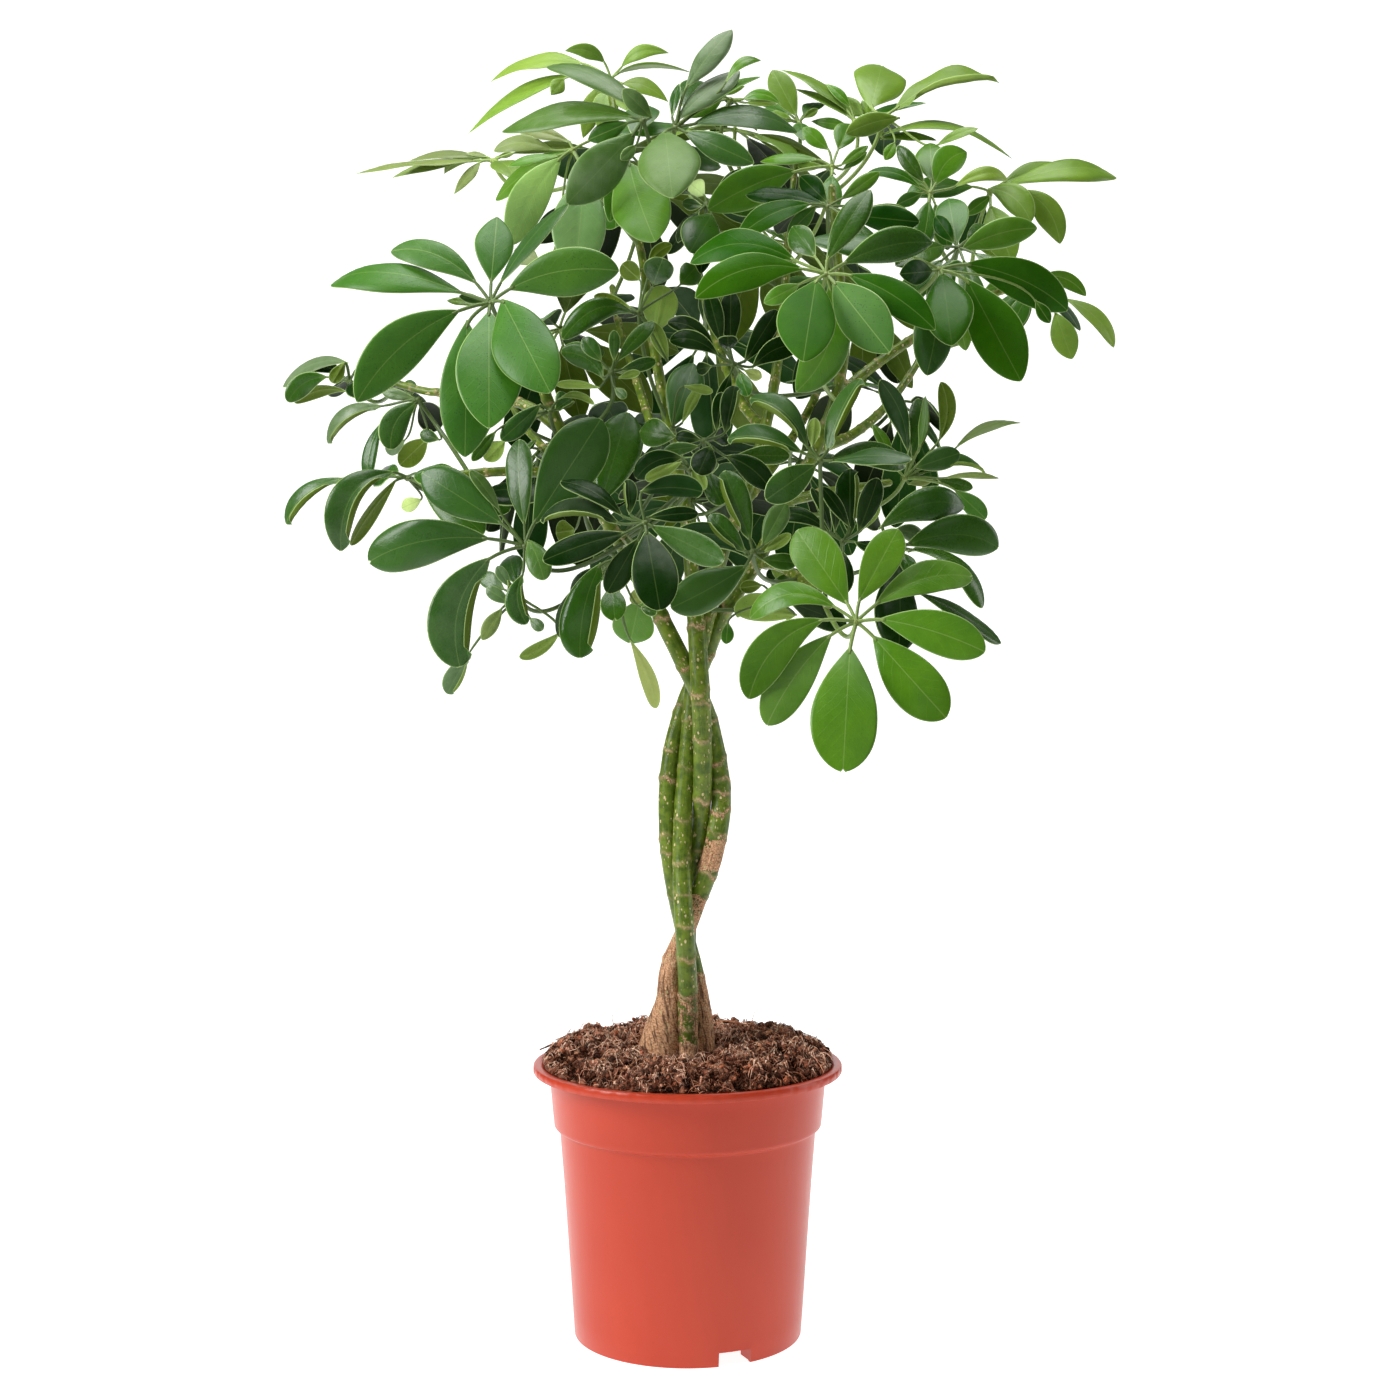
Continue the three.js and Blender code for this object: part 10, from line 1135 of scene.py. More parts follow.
    # near the end of the blade the margin runs across it
    edge = np.minimum(edge, (1 - US)[:, None] * L * 0.9 + 0.05)
    lv = np.stack([x, np.broadcast_to((US * L)[:, None], x.shape), edge], -1).reshape(-1, 3)
    return V, F, mats, np.vstack([lv, lv]), K


def stalk_curve(H, d0, B, d1, n):
    s = np.linspace(0, 1, n)[:, None]
    k = np.linalg.norm(np.asarray(B) - np.asarray(H))
    a, b = np.asarray(H, float), np.asarray(B, float)
    m0, m1 = np.asarray(d0) * k * 0.9, np.asarray(d1) * k * 0.9
    return (2 * s ** 3 - 3 * s ** 2 + 1) * a + (s ** 3 - 2 * s ** 2 + s) * m0 + (-2 * s ** 3 + 3 * s ** 2) * b + (s ** 3 - s ** 2) * m1


STALK = {"dark": lin(74, 98, 38), "pale": lin(140, 166, 84)}


def make_leaf(i, name, pet, lvs):
    r = np.random.default_rng(1000 + i)
    s = Soup(("tint", "lv", "rnd", "rib"))
    pet = np.asarray(pet, float)
    H = pet[-1]
    axis = unit(pet[-1] - pet[-2])
    # stalks follow their leaflets' tones and are darker lower in the crown: partly their own colour, partly painted
    # shade inside the crown
    tones = "".join(l[13] for l in lvs)
    pale = sum(tones.count(c) for c in "bypnv") / len(tones)
    pale = pale * smooth((H[2] - 330) / 300) * 0.75 + 0.25 * pale
    sc = STALK["dark"] * (1 - pale) + STALK["pale"] * pale
    # leaf stalk: a little thicker and clasping at its foot
    C = catmull(pet, 6)
    q = np.linspace(0, 1, len(C))
    R = 1.32 + 0.25 * (1 - q) + 1.25 * np.exp(-(q / 0.05) ** 2) + 0.5 * np.exp(-((1 - q) / 0.02) ** 2)
    V, F = tube(C, R, 12)
    s.add(V, F, 2, tint=sc * (0.92 + 0.16 * r.random()))
    # hub
    hub = []
    for a in range(9):
        th = np.pi * a / 8
        rr = 2.5 * np.sin(th) * (1 + 0.1 * np.sin(3 * th))
        hub.append((rr, -1.9 * np.cos(th)))
    x = unit(np.cross(axis, [0.3, 0.2, 0.9]))
    y = np.cross(axis, x)
    hv, hf = [], []
    nseg = 12
    for rr, zz in hub[1:-1]:
        for k in range(nseg):
            aa = 2 * np.pi * k / nseg
            wob = 1 + 0.10 * np.sin(len(lvs) * aa)
            hv.append(H + axis * zz + (x * np.cos(aa) + y * np.sin(aa)) * rr * wob)
    for j in range(6):
        for k in range(nseg):
            a0, a1 = j * nseg + k, j * nseg + (k + 1) % nseg
            hf.append((a0, a1, a1 + nseg, a0 + nseg))
    hv += [H + axis * hub[0][1], H + axis * hub[-1][1]]
    for k in range(nseg):
        hf.append((7 * nseg, (k + 1) % nseg, k))
        hf.append((7 * nseg + 1, 6 * nseg + k, 6 * nseg + (k + 1) % nseg))
    s.add(hv, hf, 2, tint=sc * np.array([1.15, 1.02, 0.9]))
    for j, l in enumerate(lvs):
        B, M, T, nv, W = np.array(l[0:3]), np.array(l[3:6]), np.array(l[6:9]), np.array(l[9:12]), l[12]
        top, under, side = l[13], l[14], l[15]
        L = np.linalg.norm(T - B)
        dark = top in "kdrets"
        kind = l[16]
        g = dict(
            kind=kind, blunt=r.uniform(0.88, 1.02), asym=r.normal(0, 0.05), tipw=0.10 if kind in "or" else 0.05,
            droop=max(0.0, r.normal(0.050, 0.02)), fold=abs(r.normal(0, 0.06)), fa=0.0, fb=0.0,
            roll=abs(r.normal(0.11 if dark else 0.03, 0.06)), wave=abs(r.normal(0.04, 0.03)),
            hem=0, turn=2.6, rough=None, bloom=None, gloss=None, waves=r.uniform(0.8, 2.2), ph=r.random(), tip=r.normal(0.010, 0.012), twist=r.normal(0, 0.10), notch=0.0)
        if len(l) > 17:
            g.update(l[17])
        V, F, mats, lv, K = blade(B, M, T, nv, W, g)
        tt = TOP[top] * (1 + r.normal(0, 0.07)) * np.array([1 + r.normal(0, 0.05), 1, 1 + r.normal(0, 0.06)])
        tu_ = UNDER[under] * (1 + r.normal(0, 0.07))
        tint = np.vstack([np.tile(tt, (K, 1)), np.tile(tu_, (K, 1))])
        rough = SHINE[top] + r.normal(0, 0.02)
        speck = {"m": 0.95, "n": 0.45, "e": 0.55, "d": 0.35, "s": 0.5, "t": 0.5}.get(top, 0.18)
        vn = {"k": 0.20, "d": 0.25, "e": 0.40, "m": 0.55, "n": 0.40}.get(top, 0.6)
        rib = {"k": 0.18, "d": 0.22, "r": 0.35, "e": 0.40, "t": 0.35, "s": 0.30, "n": 0.50}.get(top, 0.60) * r.uniform(0.7, 1.2)
        mar = {"k": 0.78, "d": 0.85, "r": 0.70, "e": 0.85, "n": 0.62, "m": 0.70}.get(top, 0.55) * r.uniform(0.7, 1.15)
        # grey patches of painted sheen, strongest on the s and t tones and now and then on others
        bloom = {"s": 0.20, "t": 0.14, "k": 0.03}.get(top, 0.0) + (0.08 if r.random() < 0.25 else 0.0)
        rough = rough if g["rough"] is None else g["rough"]
        bloom = bloom if g["bloom"] is None else g["bloom"]
        gloss = {"k": 0.65, "r": 0.35, "n": 0.55, "d": 0.85, "m": 0.8, "b": 0.85}.get(top, 1.0) if g["gloss"] is None else g["gloss"]
        if gloss < 0.7:
            mats = [3 if m == 0 else m for m in mats]
        s.add(V, F, mats, tint=tint, lv=lv, rnd=(vn, speck, rough), rib=(rib, mar, bloom))
        # its own stalk, which runs into the midrib
        t0 = unit(M - B) if np.linalg.norm(M - B) > 1e-6 else unit(T - B)
        Q = 2 * M - (B + T) / 2
        t0 = unit(Q - B)
        out = unit(B - H)
        d0 = unit(out + axis * 0.25)
        end = B + t0 * 0.07 * L
        C = stalk_curve(H + out * 0.8, d0, end, t0, 11)
        q = np.linspace(0, 1, len(C))
        rad = min(1.15, 0.7 + L * 0.006)
        R = rad * (1 + 0.45 * np.exp(-(q / 0.10) ** 2)) * (1 - 0.45 * smooth((q - 0.75) / 0.25))
        V, F = tube(C, R, 8, flat=0.85, up=nv)
        s.add(V, F, 2, tint=sc * (0.95 + 0.2 * r.random()) * (1.0 if dark else 1.08))
    return s.build("plant_" + name, [M_TOP, M_UND, M_STK, M_DULL], [name])


for i, (name, pet, lvs) in enumerate(LEAVES):
    make_leaf(i, name, pet, lvs)

# ------------------------------------------------------------------ stems
# heights of the old leaf scars on each trunk line, in mm above the base
SCARS = {
    "stem_1": [(323, 1.1, 0.5, 0.2), (300, 0.9, 0.5, 3.2), (282, 1.0, 0.4, 1.2), (261, 1.5, 0.6, 1.57), (235, 1.2, 0.8, 0.6), (223, 1.0, 0.8, 2.6),
               (212, 1.0, 0.7, 1.0), (201, 1.2, 0.6, 2.0), (191, 1.1, 0.6, 3.4), (352, 1.0, 0.4, 1.0), (384, 1.0, 0.5, 4.0), (418, 1.1, 0.5, 2.0), (452, 1.0, 0.5, 1.0),
               (489, 1.2, 0.6, 0.5), (520, 1.0, 0.5, 2.4), (549, 1.1, 0.5, 4.4), (583, 1.0, 0.4, 1.2), (618, 1.0, 0.4, 3.0), (650, 1.0, 0.4, 5.0),
               (684, 0.9, 0.3, 1.0), (716, 0.9, 0.3, 2.2), (745, 0.8, 0.3, 3.6), (772, 0.8, 0.3, 0.9), (795, 0.8, 0.2, 2.9)],
    "stem_2": [(482, 1.5, 0.9, 1.4), (438, 1.1, 0.7, 0.3), (432, 1.2, 0.6, 2.5), (408, 1.3, 0.5, 0.9), (367, 1.6, 0.6, 1.57), (330, 1.0, 0.5, 3.0),
               (298, 1.0, 0.5, 0.5), (262, 1.1, 0.6, 2.0), (231, 1.0, 0.6, 4.0), (510, 1.1, 0.5, 2.2), (541, 1.0, 0.5, 0.8), (575, 1.1, 0.5, 3.4),
               (608, 1.0, 0.4, 1.4), (640, 1.0, 0.4, 4.2), (675, 0.9, 0.3, 2.4), (708, 0.9, 0.3, 0.4), (738, 0.9, 0.3, 3.1), (768, 0.8, 0.3, 1.9),
               (797, 0.8, 0.2, 0.2), (824, 0.8, 0.2, 3.3)],
    "stem_3": [(488, 1.5, 0.8, 1.57), (453, 1.1, 0.9, 2.4), (391, 1.2, 0.9, 0.4), (379, 1.2, 0.8, 2.9), (371, 1.3, 0.9, 1.4), (356, 1.1, 0.9, 0.4),
               (341, 1.1, 0.9, 3.3), (316, 1.4, 0.8, 1.9), (298, 1.0, 0.9, 0.3), (276, 1.1, 1.0, 2.0), (257, 1.7, 1.0, 1.2), (232, 0.8, 1.0, 3.0),
               (420, 1.0, 0.4, 2.0), (517, 1.2, 0.6, 0.7), (545, 1.1, 0.6, 3.4), (574, 1.0, 0.5, 1.8), (601, 1.0, 0.5, 0.3), (628, 1.0, 0.4, 2.7), (655, 0.9, 0.4, 1.2)],
    "stem_4": [(496, 1.5, 0.8, 0.9), (462, 1.3, 0.9, 0.2), (423, 1.4, 0.6, 4.4), (398, 0.8, 0.4, 0.2), (379, 1.6, 0.9, 1.57), (338, 1.3, 0.6, 4.6),
               (330, 1.0, 0.5, 0.8), (297, 1.0, 0.6, 2.9), (268, 1.0, 0.6, 1.0), (240, 1.0, 0.9, 0.5), (222, 1.0, 0.8, 2.6), (208, 1.0, 0.7, 0.8),
               (524, 1.2, 0.6, 2.3), (553, 1.1, 0.5, 0.5), (586, 1.0, 0.5, 3.9), (617, 1.0, 0.4, 1.5), (648, 1.0, 0.4, 2.8), (680, 0.9, 0.3, 0.8),
               (711, 0.9, 0.3, 4.2), (740, 0.8, 0.3, 2.1), (762, 0.8, 0.2, 0.2)],
}
BARK = {"stem_1": 220, "stem_2": 212, "stem_3": 292, "stem_4": 262}
BANDS = {  # corky stretches: from, to, how strong
    "stem_1": [(180, 236, 0.50), (484, 494, 0.25)],
    "stem_2": [(478, 488, 0.3), (428, 441, 0.22), (360, 368, 0.2)],
    "stem_3": [(150, 262, 0.95), (274, 300, 0.62), (316, 338, 0.66), (350, 376, 0.28), (449, 462, 0.3)],
    "stem_4": [(374, 383, 0.3), (218, 246, 0.48), (456, 468, 0.3)],
}


def BARKBAND(name, z):
    out = np.zeros(len(z))
    for a, b, k in BANDS[name]:
        out = np.maximum(out, k * smooth((z - a + 3) / 5) * smooth((b + 3 - z) / 5))
    return out


for si, (name, lines) in enumerate(STEMS.items()):
    s = Soup(("sk", "al"))
    r = np.random.default_rng(77 + si)
    for li, line in enumerate(lines):
        A = np.array(line, float)
        step = 3
        C = catmull(A[:, :3], step)
        R0 = np.interp(np.linspace(0, len(A) - 1, len(C)), np.arange(len(A)), A[:, 3])
        dd = np.r_[0, np.cumsum(np.linalg.norm(np.diff(C, axis=0), axis=1))]
        m = int(dd[-1] / 1.6)
        at = np.linspace(0, dd[-1], m)
        C = np.stack([np.interp(at, dd, C[:, k]) for k in range(3)], 1)
        R0 = np.interp(at, dd, R0)
        if name == "stem_3" and li == 0:      # leans on its neighbour at the foot
            C[:, 0] += 3.0 * smooth((248 - C[:, 2]) / 26)
        dd = np.r_[0, np.cumsum(np.linalg.norm(np.diff(C, axis=0), axis=1))]
        sides = 28 if li == 0 else 18
        z = C[:, 2]
        ang = np.arange(sides) / sides * 2 * np.pi
        R = np.repeat(R0[:, None], sides, 1)
        cork = np.zeros_like(R)
        ring = np.zeros_like(R)
        if li == 0:
            scars = SCARS[name]
            base = BARK[name]
        else:
            scars = list(np.arange(r.uniform(12, 25), dd[-1], r.uniform(20, 34)))
            base = 0.0
        for sc in scars:
            h = sc[0] if isinstance(sc, tuple) else None
            if li == 0:
                w, kk, turn = sc[1], sc[2], sc[3]
                dist = (z[:, None] - h) - 2.2 * np.sin(ang[None, :] + turn) - 1.3 * np.sin(3 * ang[None, :] + 2 * turn) - 0.5 * np.sin(7 * ang[None, :] + 5 * turn)
            else:
                w, kk, turn = 1.0, 0.45, r.uniform(0, 6.28)
                dist = (dd[:, None] - sc) - 1.2 * np.sin(ang[None, :] + turn)
            bump = np.exp(-(dist / (1.25 * w)) ** 2)
            R += 0.48 * w * bump
            ring = np.maximum(ring, np.exp(-(dist / (0.72 * w)) ** 2) * (0.65 + 0.35 * np.sin(ang[None, :] * 2 + turn)) * min(1, 0.6 + kk * 0.5))
            cork = np.maximum(cork, kk * 0.5 * np.exp(-np.maximum(np.abs(dist) - 1.0 * w, 0) / (2.0 * w)))
        if li == 0:
            foot = smooth((base - z) / 34.0)[:, None] * 0.95 if base else 0
            cork = np.maximum(cork, foot)
            cork = np.maximum(cork, BARKBAND(name, z)[:, None])
        if name == "stem_3" and li == 0:      # flares at the foot
            R *= 1 + 0.40 * smooth((238 - z) / 34)[:, None]
        fine = value_noise(R.shape, (max(4, len(C) // 5), 7), 5 + si * 9 + li) - 0.5
        grain = value_noise(R.shape, (max(4, len(C) // 14), 14), 50 + si * 9 + li) - 0.5
        R = R + fine * 0.22 + grain * 1.1 * np.clip(cork * 1.4 - 0.3, 0, 1)
        R[-1] *= 0.55
        V, F = tube(C, R, sides)
        roundmm = (ang[None, :] * R0[:, None]).ravel()
        al = np.stack([roundmm, np.repeat(dd, sides), np.full(len(C) * sides, si * 3.0 + li)], 1)
        sk = np.stack([cork.ravel(), np.clip(ring, 0, 1).ravel(), np.repeat(smooth((z - 196) / 200.0), sides)], 1)
        s.add(V, F, 0, sk=sk, al=al)
    s.build("plant_" + name, [M_STEM], [name])

# ------------------------------------------------------------------ pot
PROFILE = [
    (0, 0), (43.6, 0), (44.6, 0.25), (45.2, 0.9), (47.4, 7.0), (48.4, 8.0), (70.8, 8.0), (71.9, 7.4), (73.3, 0.6), (74.0, 0),
    (76.6, 0), (77.1, 0.2), (77.35, 0.7),
    (78.5, 17), (79.6, 34), (80.7, 50), (81.75, 66), (82.8, 82), (83.9, 98), (85.05, 114), (86.1, 127), (86.95, 138.5), (87.08, 140.4),
    (87.25, 141.4), (87.75, 142.1), (89.7, 142.8), (90.45, 143.2), (90.9, 143.9), (91.12, 145.2), (91.2, 146.5),
    (91.9, 154), (92.6, 162), (93.3, 170), (93.95, 177.2), (94.25, 178.6), (95.2, 179.4), (96.6, 179.6),
    (103.4, 179.6), (104.5, 179.9), (105.0, 180.8), (105.0, 182.6), (104.8, 184.2), (104.2, 185.0), (103.2, 185.3),
    (100.4, 185.3), (99.5, 185.2), (98.6, 184.7), (97.4, 183.9), (95.4, 183.3), (93.6, 182.6), (92.5, 181.2), (92.0, 179.0),
    (91.2, 170), (90.4, 161), (89.6, 152), (89.1, 146.8), (88.4, 145.3), (86.4, 143.6), (85.4, 141.6), (84.9, 137),
    (83.1, 114), (81.0, 82), (78.9, 50), (77.2, 24), (76.2, 12), (75.4, 10.6), (74.0, 10.1), (49.2, 10.1), (47.2, 9.2), (45.4, 2.9), (44.4, 2.2), (0, 2.2)]
SEG = 288
FOOT_NOTCH = [(-66, 23.0, 9.5), (54, 23.0, 9.5), (174, 23.0, 9.5)]


def make_pot():
    s = Soup(())
    angs = list(np.arange(SEG) / SEG * 2 * np.pi)
    prof = np.array(PROFILE, float)
    # finer vertical steps so that the wall can be very slightly uneven
    pts = [prof[0]]
    for a, b in zip(prof[:-1], prof[1:]):
        n = max(1, int(np.linalg.norm(b - a) / 9))
        for k in range(1, n + 1):
            pts.append(a + (b - a) * k / n)
    prof = np.array(pts)
    A = np.array(angs)
    V, F = [], []
    m = len(prof) - 2
    for (pr, pz) in prof[1:-1]:
        rr = np.full(len(A), pr)
        zz = np.full(len(A), pz)
        if pr > 103.5 and 180.0 < pz < 184.6:      # small upright marks round the lip
            k = (A / (2 * np.pi) * 48) % 1.0
            rr = rr - 0.60 * np.exp(-((k - 0.5) / 0.075) ** 2)
        if 76 < pr < 97 and 10 < pz < 179:         # the wall isn't perfectly round
            rr = rr + 0.10 * np.sin(3 * A + 0.7) + 0.06 * np.sin(7 * A + pz * 0.02)
        V.append(np.stack([rr * np.cos(A), rr * np.sin(A), zz], 1))
    V = np.vstack(V)
    n = len(A)
    for i in range(m - 1):
        for k in range(n):
            k2 = (k + 1) % n
            F.append((i * n + k, i * n + k2, (i + 1) * n + k2, (i + 1) * n + k))
    F = [f for f in F]
    V = np.vstack([V, [[0, 0, prof[0][1]], [0, 0, prof[-1][1]]]])
    c0, c1 = len(V) - 2, len(V) - 1
    for k in range(n):
        k2 = (k + 1) % n
        F.append((c0, k2, k))
        F.append((c1, (m - 1) * n + k, (m - 1) * n + k2))
    s.add(V, F, 0)
    ob = s.build("nursery_pot", [M_POT], ["pot"], sharp=35)
    # cut the notches in the foot ring and the drain holes with solid cutters
    cut = Soup(())
    rib = Soup(())

    def box(cx, cy, ang, w, d, z0, z1):
        c, q = math.cos(ang), math.sin(ang)
        P = []
        for dx, dy, z in ((-d, -w, z0), (d, -w, z0), (d, w, z0), (-d, w, z0), (-d, -w, z1), (d, -w, z1), (d, w, z1), (-d, w, z1)):
            P.append((cx + dx * c - dy * q, cy + dx * q + dy * c, z))
        return P, [(0, 3, 2, 1), (4, 5, 6, 7), (0, 1, 5, 4), (1, 2, 6, 5), (2, 3, 7, 6), (3, 0, 4, 7)]

    for deg, w, h in FOOT_NOTCH:
        a = math.radians(deg)
        cut.add(*box(75.5 * math.cos(a), 75.5 * math.sin(a), a, w / 2, 6.5, -5, h), 0)
        for q in (-1, 1):                      # the notch's cheeks run inward as low ribs
            o = q * (w / 2 + 0.8)
            rib.add(*box(67.6 * math.cos(a) - o * math.sin(a), 67.6 * math.sin(a) + o * math.cos(a), a, 0.75, 6.9, 0.5, 9.2), 0)
    for k in range(8):
        a = (k + 0.5) * math.pi / 4
        cx, cy = 60.3 * math.cos(a), 60.3 * math.sin(a)
        ring = [(cx + 5 * math.cos(t), cy + 5 * math.sin(t)) for t in np.arange(24) / 24 * 2 * math.pi]
        P = [(x, y, 4) for x, y in ring] + [(x, y, 14) for x, y in ring]
        Fc = [tuple(range(24))[::-1], tuple(range(24, 48))] + [(j, (j + 1) % 24, 24 + (j + 1) % 24, 24 + j) for j in range(24)]
        cut.add(P, Fc, 0)
    me = bpy.data.meshes.new("cut")
    me.from_pydata((np.vstack(cut.v) * MM).tolist(), [], cut.f)
    co = bpy.data.objects.new("cut", me)
    bpy.context.scene.collection.objects.link(co)
    md = ob.modifiers.new("cut", "BOOLEAN")
    md.operation, md.object, md.solver = "DIFFERENCE", co, "EXACT"
    dg = bpy.context.evaluated_depsgraph_get()
    done = bpy.data.meshes.new_from_object(ob.evaluated_get(dg))
    ob.modifiers.clear()
    old = ob.data
    ob.data = done
    bpy.data.meshes.remove(old)
    bpy.data.objects.remove(co)
    bpy.data.meshes.remove(me)
    ob.data.name = "nursery_pot"
    ob.data.polygons.foreach_set("use_smooth", [True] * len(ob.data.polygons))
    ob.data.set_sharp_from_angle(angle=math.radians(35))
    rib.build("pot_notch_ribs", [M_POT], [], sharp=35)
    return ob


pot = make_pot()

# ------------------------------------------------------------------ soil
GN = 260
field_seed = 31


def lumps(x, y, cells, seed):
    g = np.random.default_rng(seed).random((cells + 3, cells + 3))
    fx, fy = (x + 100) / 200 * cells, (y + 100) / 200 * cells
    xi, yi = np.clip(fx.astype(int), 0, cells + 1), np.clip(fy.astype(int), 0, cells + 1)
    tx, ty = smooth(fx - xi), smooth(fy - yi)
    return (g[yi, xi] * (1 - tx) + g[yi, xi + 1] * tx) * (1 - ty) + (g[yi + 1, xi] * (1 - tx) + g[yi + 1, xi + 1] * tx) * ty


TRUNK = np.array([l[0][3][:2] for l in STEMS.values()])


SOIL_R = (0, 30, 45, 60, 74, 82, 88, 93, 96.5, 98.2)
SOIL_H = (194.6, 195.2, 196.0, 196.2, 195.4, 193.8, 191.6, 189.4, 187.2, 185.7)


def soil_z(x, y):
    """Height of the soil's surface: heaped over the rim's inner edge, lower in front, lumpy all over."""
    r = np.hypot(x, y)
    z = np.interp(r, SOIL_R, SOIL_H) + 0.032 * y + 1.6 * np.abs(x / 92) ** 2
    k = 1 - 0.62 * smooth((r - 84) / 13)
    z = z + k * (5.0 * (lumps(x, y, 7, 1) - 0.5) + 5.0 * (lumps(x, y, 15, 2) - 0.5) + 7.0 * (lumps(x, y, 33, 3) - 0.5))
    z = z + 5.4 * k * (lumps(x, y, 70, 4) - 0.5) + 2.4 * k * (lumps(x, y, 140, 5) - 0.5)
    z = z - 8.0 * smooth(1.25 * (1 - np.hypot((x + 5) / 48, (y + 20) / 46)))   # hollow in front of the trunk
    return np.maximum(z, np.where(r > 93, 185.1, 184.3))


def soil_tone(x, y):
    """Painted shade in the hollows and painted light on the lumps, which follow the same lumps as the surface's height;
    darker and redder down the front slope.
    """
    x, y = np.atleast_1d(x), np.atleast_1d(y)
    h = 0.46 * lumps(x, y, 33, 3) + 0.34 * lumps(x, y, 70, 4) + 0.20 * lumps(x, y, 15, 2)
    c = np.clip((h - 0.5) * 3.6 + 0.5, 0, 1)
    front_slope = 0.72 + 0.52 * smooth((y + 78) / 60)
    return (0.05 + 1.90 * c ** 1.4) * front_slope


def soil_tint(t, tone):
    """Three factors from a brightness and the local tone: red-brown where the tone is low (the painted shade of the
    hollows and the darker front), greyer where it is high (the painted light on the lumps).
    """
    k = np.clip(tone / 1.7, 0, 1)
    return t, t * (0.56 + 0.66 * k), t * (0.36 + 1.02 * k)


def make_soil():
    s = Soup(("tint",))
    rad = np.r_[0.0, np.linspace(1.2, 98.1, GN // 2)]
    A = np.arange(GN * 2) / (GN * 2) * 2 * np.pi
    V = [[[0, 0, float(soil_z(np.array([0.0]), np.array([0.0]))[0])]]]
    for r in rad[1:]:
        x, y = r * np.cos(A), r * np.sin(A)
        V.append(np.stack([x, y, soil_z(x, y)], 1))
    n = len(A)
    # down the pot's wall and across under the surface
    for r, z in ((98.2, 185.0), (97.2, 184.3), (95.2, 183.7), (93.2, 182.9), (91.7, 179.5), (90.9, 175.0), (89.0, 160.0), (60.0, 158.0)):
        V.append(np.stack([r * np.cos(A), r * np.sin(A), np.full(n, z)], 1))
    V.append([[0, 0, 158.0]])
    V = np.vstack(V)
    F = [(0, 1 + k, 1 + (k + 1) % n) for k in range(n)]
    rows = len(rad) - 1 + 8
    for i in range(rows - 1):
        a, b = 1 + i * n, 1 + (i + 1) * n
        F += [(a + k, b + k, b + (k + 1) % n, a + (k + 1) % n) for k in range(n)]
    e = 1 + (rows - 1) * n
    last = len(V) - 1
    F += [(last, e + (k + 1) % n, e + k) for k in range(n)]
    # the soil's colour takes soil_tone: painted shade in the hollows, painted light on the lumps
    t = soil_tone(V[:, 0], V[:, 1])
    s.add(V, F, 0, tint=np.stack(soil_tint(0.8 * t, t), 1))
    return s.build("coir_soil", [M_SOIL], ["soil"])


soil = make_soil()


def make_fibres(piece, seed, count, share, lo, hi, thin, thick):
    """Loose coir: curved strands and short bits lying on the soil."""
    s = Soup(("tint",))
    r = np.random.default_rng(seed)
    for k in range(count):
        rr = 97.5 * math.sqrt(r.random())
        a = r.uniform(0, 2 * math.pi)
        x, y = rr * math.cos(a), rr * math.sin(a)
        if np.min(np.hypot(TRUNK[:, 0] - x, TRUNK[:, 1] - y)) < 7:
            continue
        long = r.random() < share
        L = r.uniform(lo, hi) if long else r.uniform(2.6, 9.0)
        th = r.uniform(0, 2 * math.pi)
        bend = r.normal(0, 1.3 if long else 0.8)
        m = 6 if long else 4
        q = np.linspace(-0.5, 0.5, m)
        ang = th + bend * q
        dx, dy = np.cumsum(np.cos(ang)) * L / m, np.cumsum(np.sin(ang)) * L / m
        px, py = x + dx - dx.mean(), y + dy - dy.mean()
        lim = 99.0 / np.maximum(np.hypot(px, py), 99.0)
        px, py = px * lim, py * lim
        lift = abs(r.normal(0, 1.9 if long else 1.0))
        tilt = r.normal(0, 3.0 if long else 1.4)
        pz = soil_z(px, py) + 0.25 + lift * (1 - (2 * q) ** 2) + tilt * q
        pz = np.maximum(pz, soil_z(px, py) - 0.6)
        w = r.uniform(thin, thick) if long else r.uniform(0.20, 0.62)
        R = w * (1 - 0.6 * np.abs(2 * q) ** 3)
        V, F = tube(np.stack([px, py, pz], 1), R, 4 if long else 3, flat=r.uniform(0.5, 1.0))
        t = r.choice([r.uniform(0.08, 0.30), r.uniform(0.6, 1.0), r.uniform(1.3, 2.1)], p=[0.30, 0.30, 0.40])
        # each strand's brightness follows soil_tone: darker in the hollows, brighter on the lumps, painted shade and
        # painted light
        tone = float(soil_tone(x, y)[0])
        t = min(2.8, t * ((0.12 + 1.12 * tone) if share < 0.9 else (0.55 + 0.95 * tone)))
        s.add(V, F, 0, tint=soil_tint(t, max(tone, 0.9 * r.random())))
    return s.build(piece, [M_FIB], [])


def crumb(s, c, size, stretch, r, tint):
    """A small irregular lump: four rings of six corners at random distances, closed at both ends."""
    d = unit(r.normal(0, 1, (1, 3)))[0]
    x = unit(np.cross(d, [0.2, 0.9, 0.4]))
    y = np.cross(d, x)
    P = []
    for lat in (-0.9, -0.35, 0.3, 0.85):
        rr = math.sqrt(max(0, 1 - lat * lat))
        for k in range(6):
            a = k * math.pi / 3 + lat
            f = r.uniform(0.7, 1.25)
            P.append(c + size * (d * lat * stretch + (x * math.cos(a) + y * math.sin(a)) * rr * f))
    F = [tuple(range(6))[::-1], tuple(range(18, 24))]
    for i in range(3):
        for k in range(6):
            k2 = (k + 1) % 6
            F.append((i * 6 + k, i * 6 + k2, (i + 1) * 6 + k2, (i + 1) * 6 + k))
    s.add(P, F, 0, tint=tint)


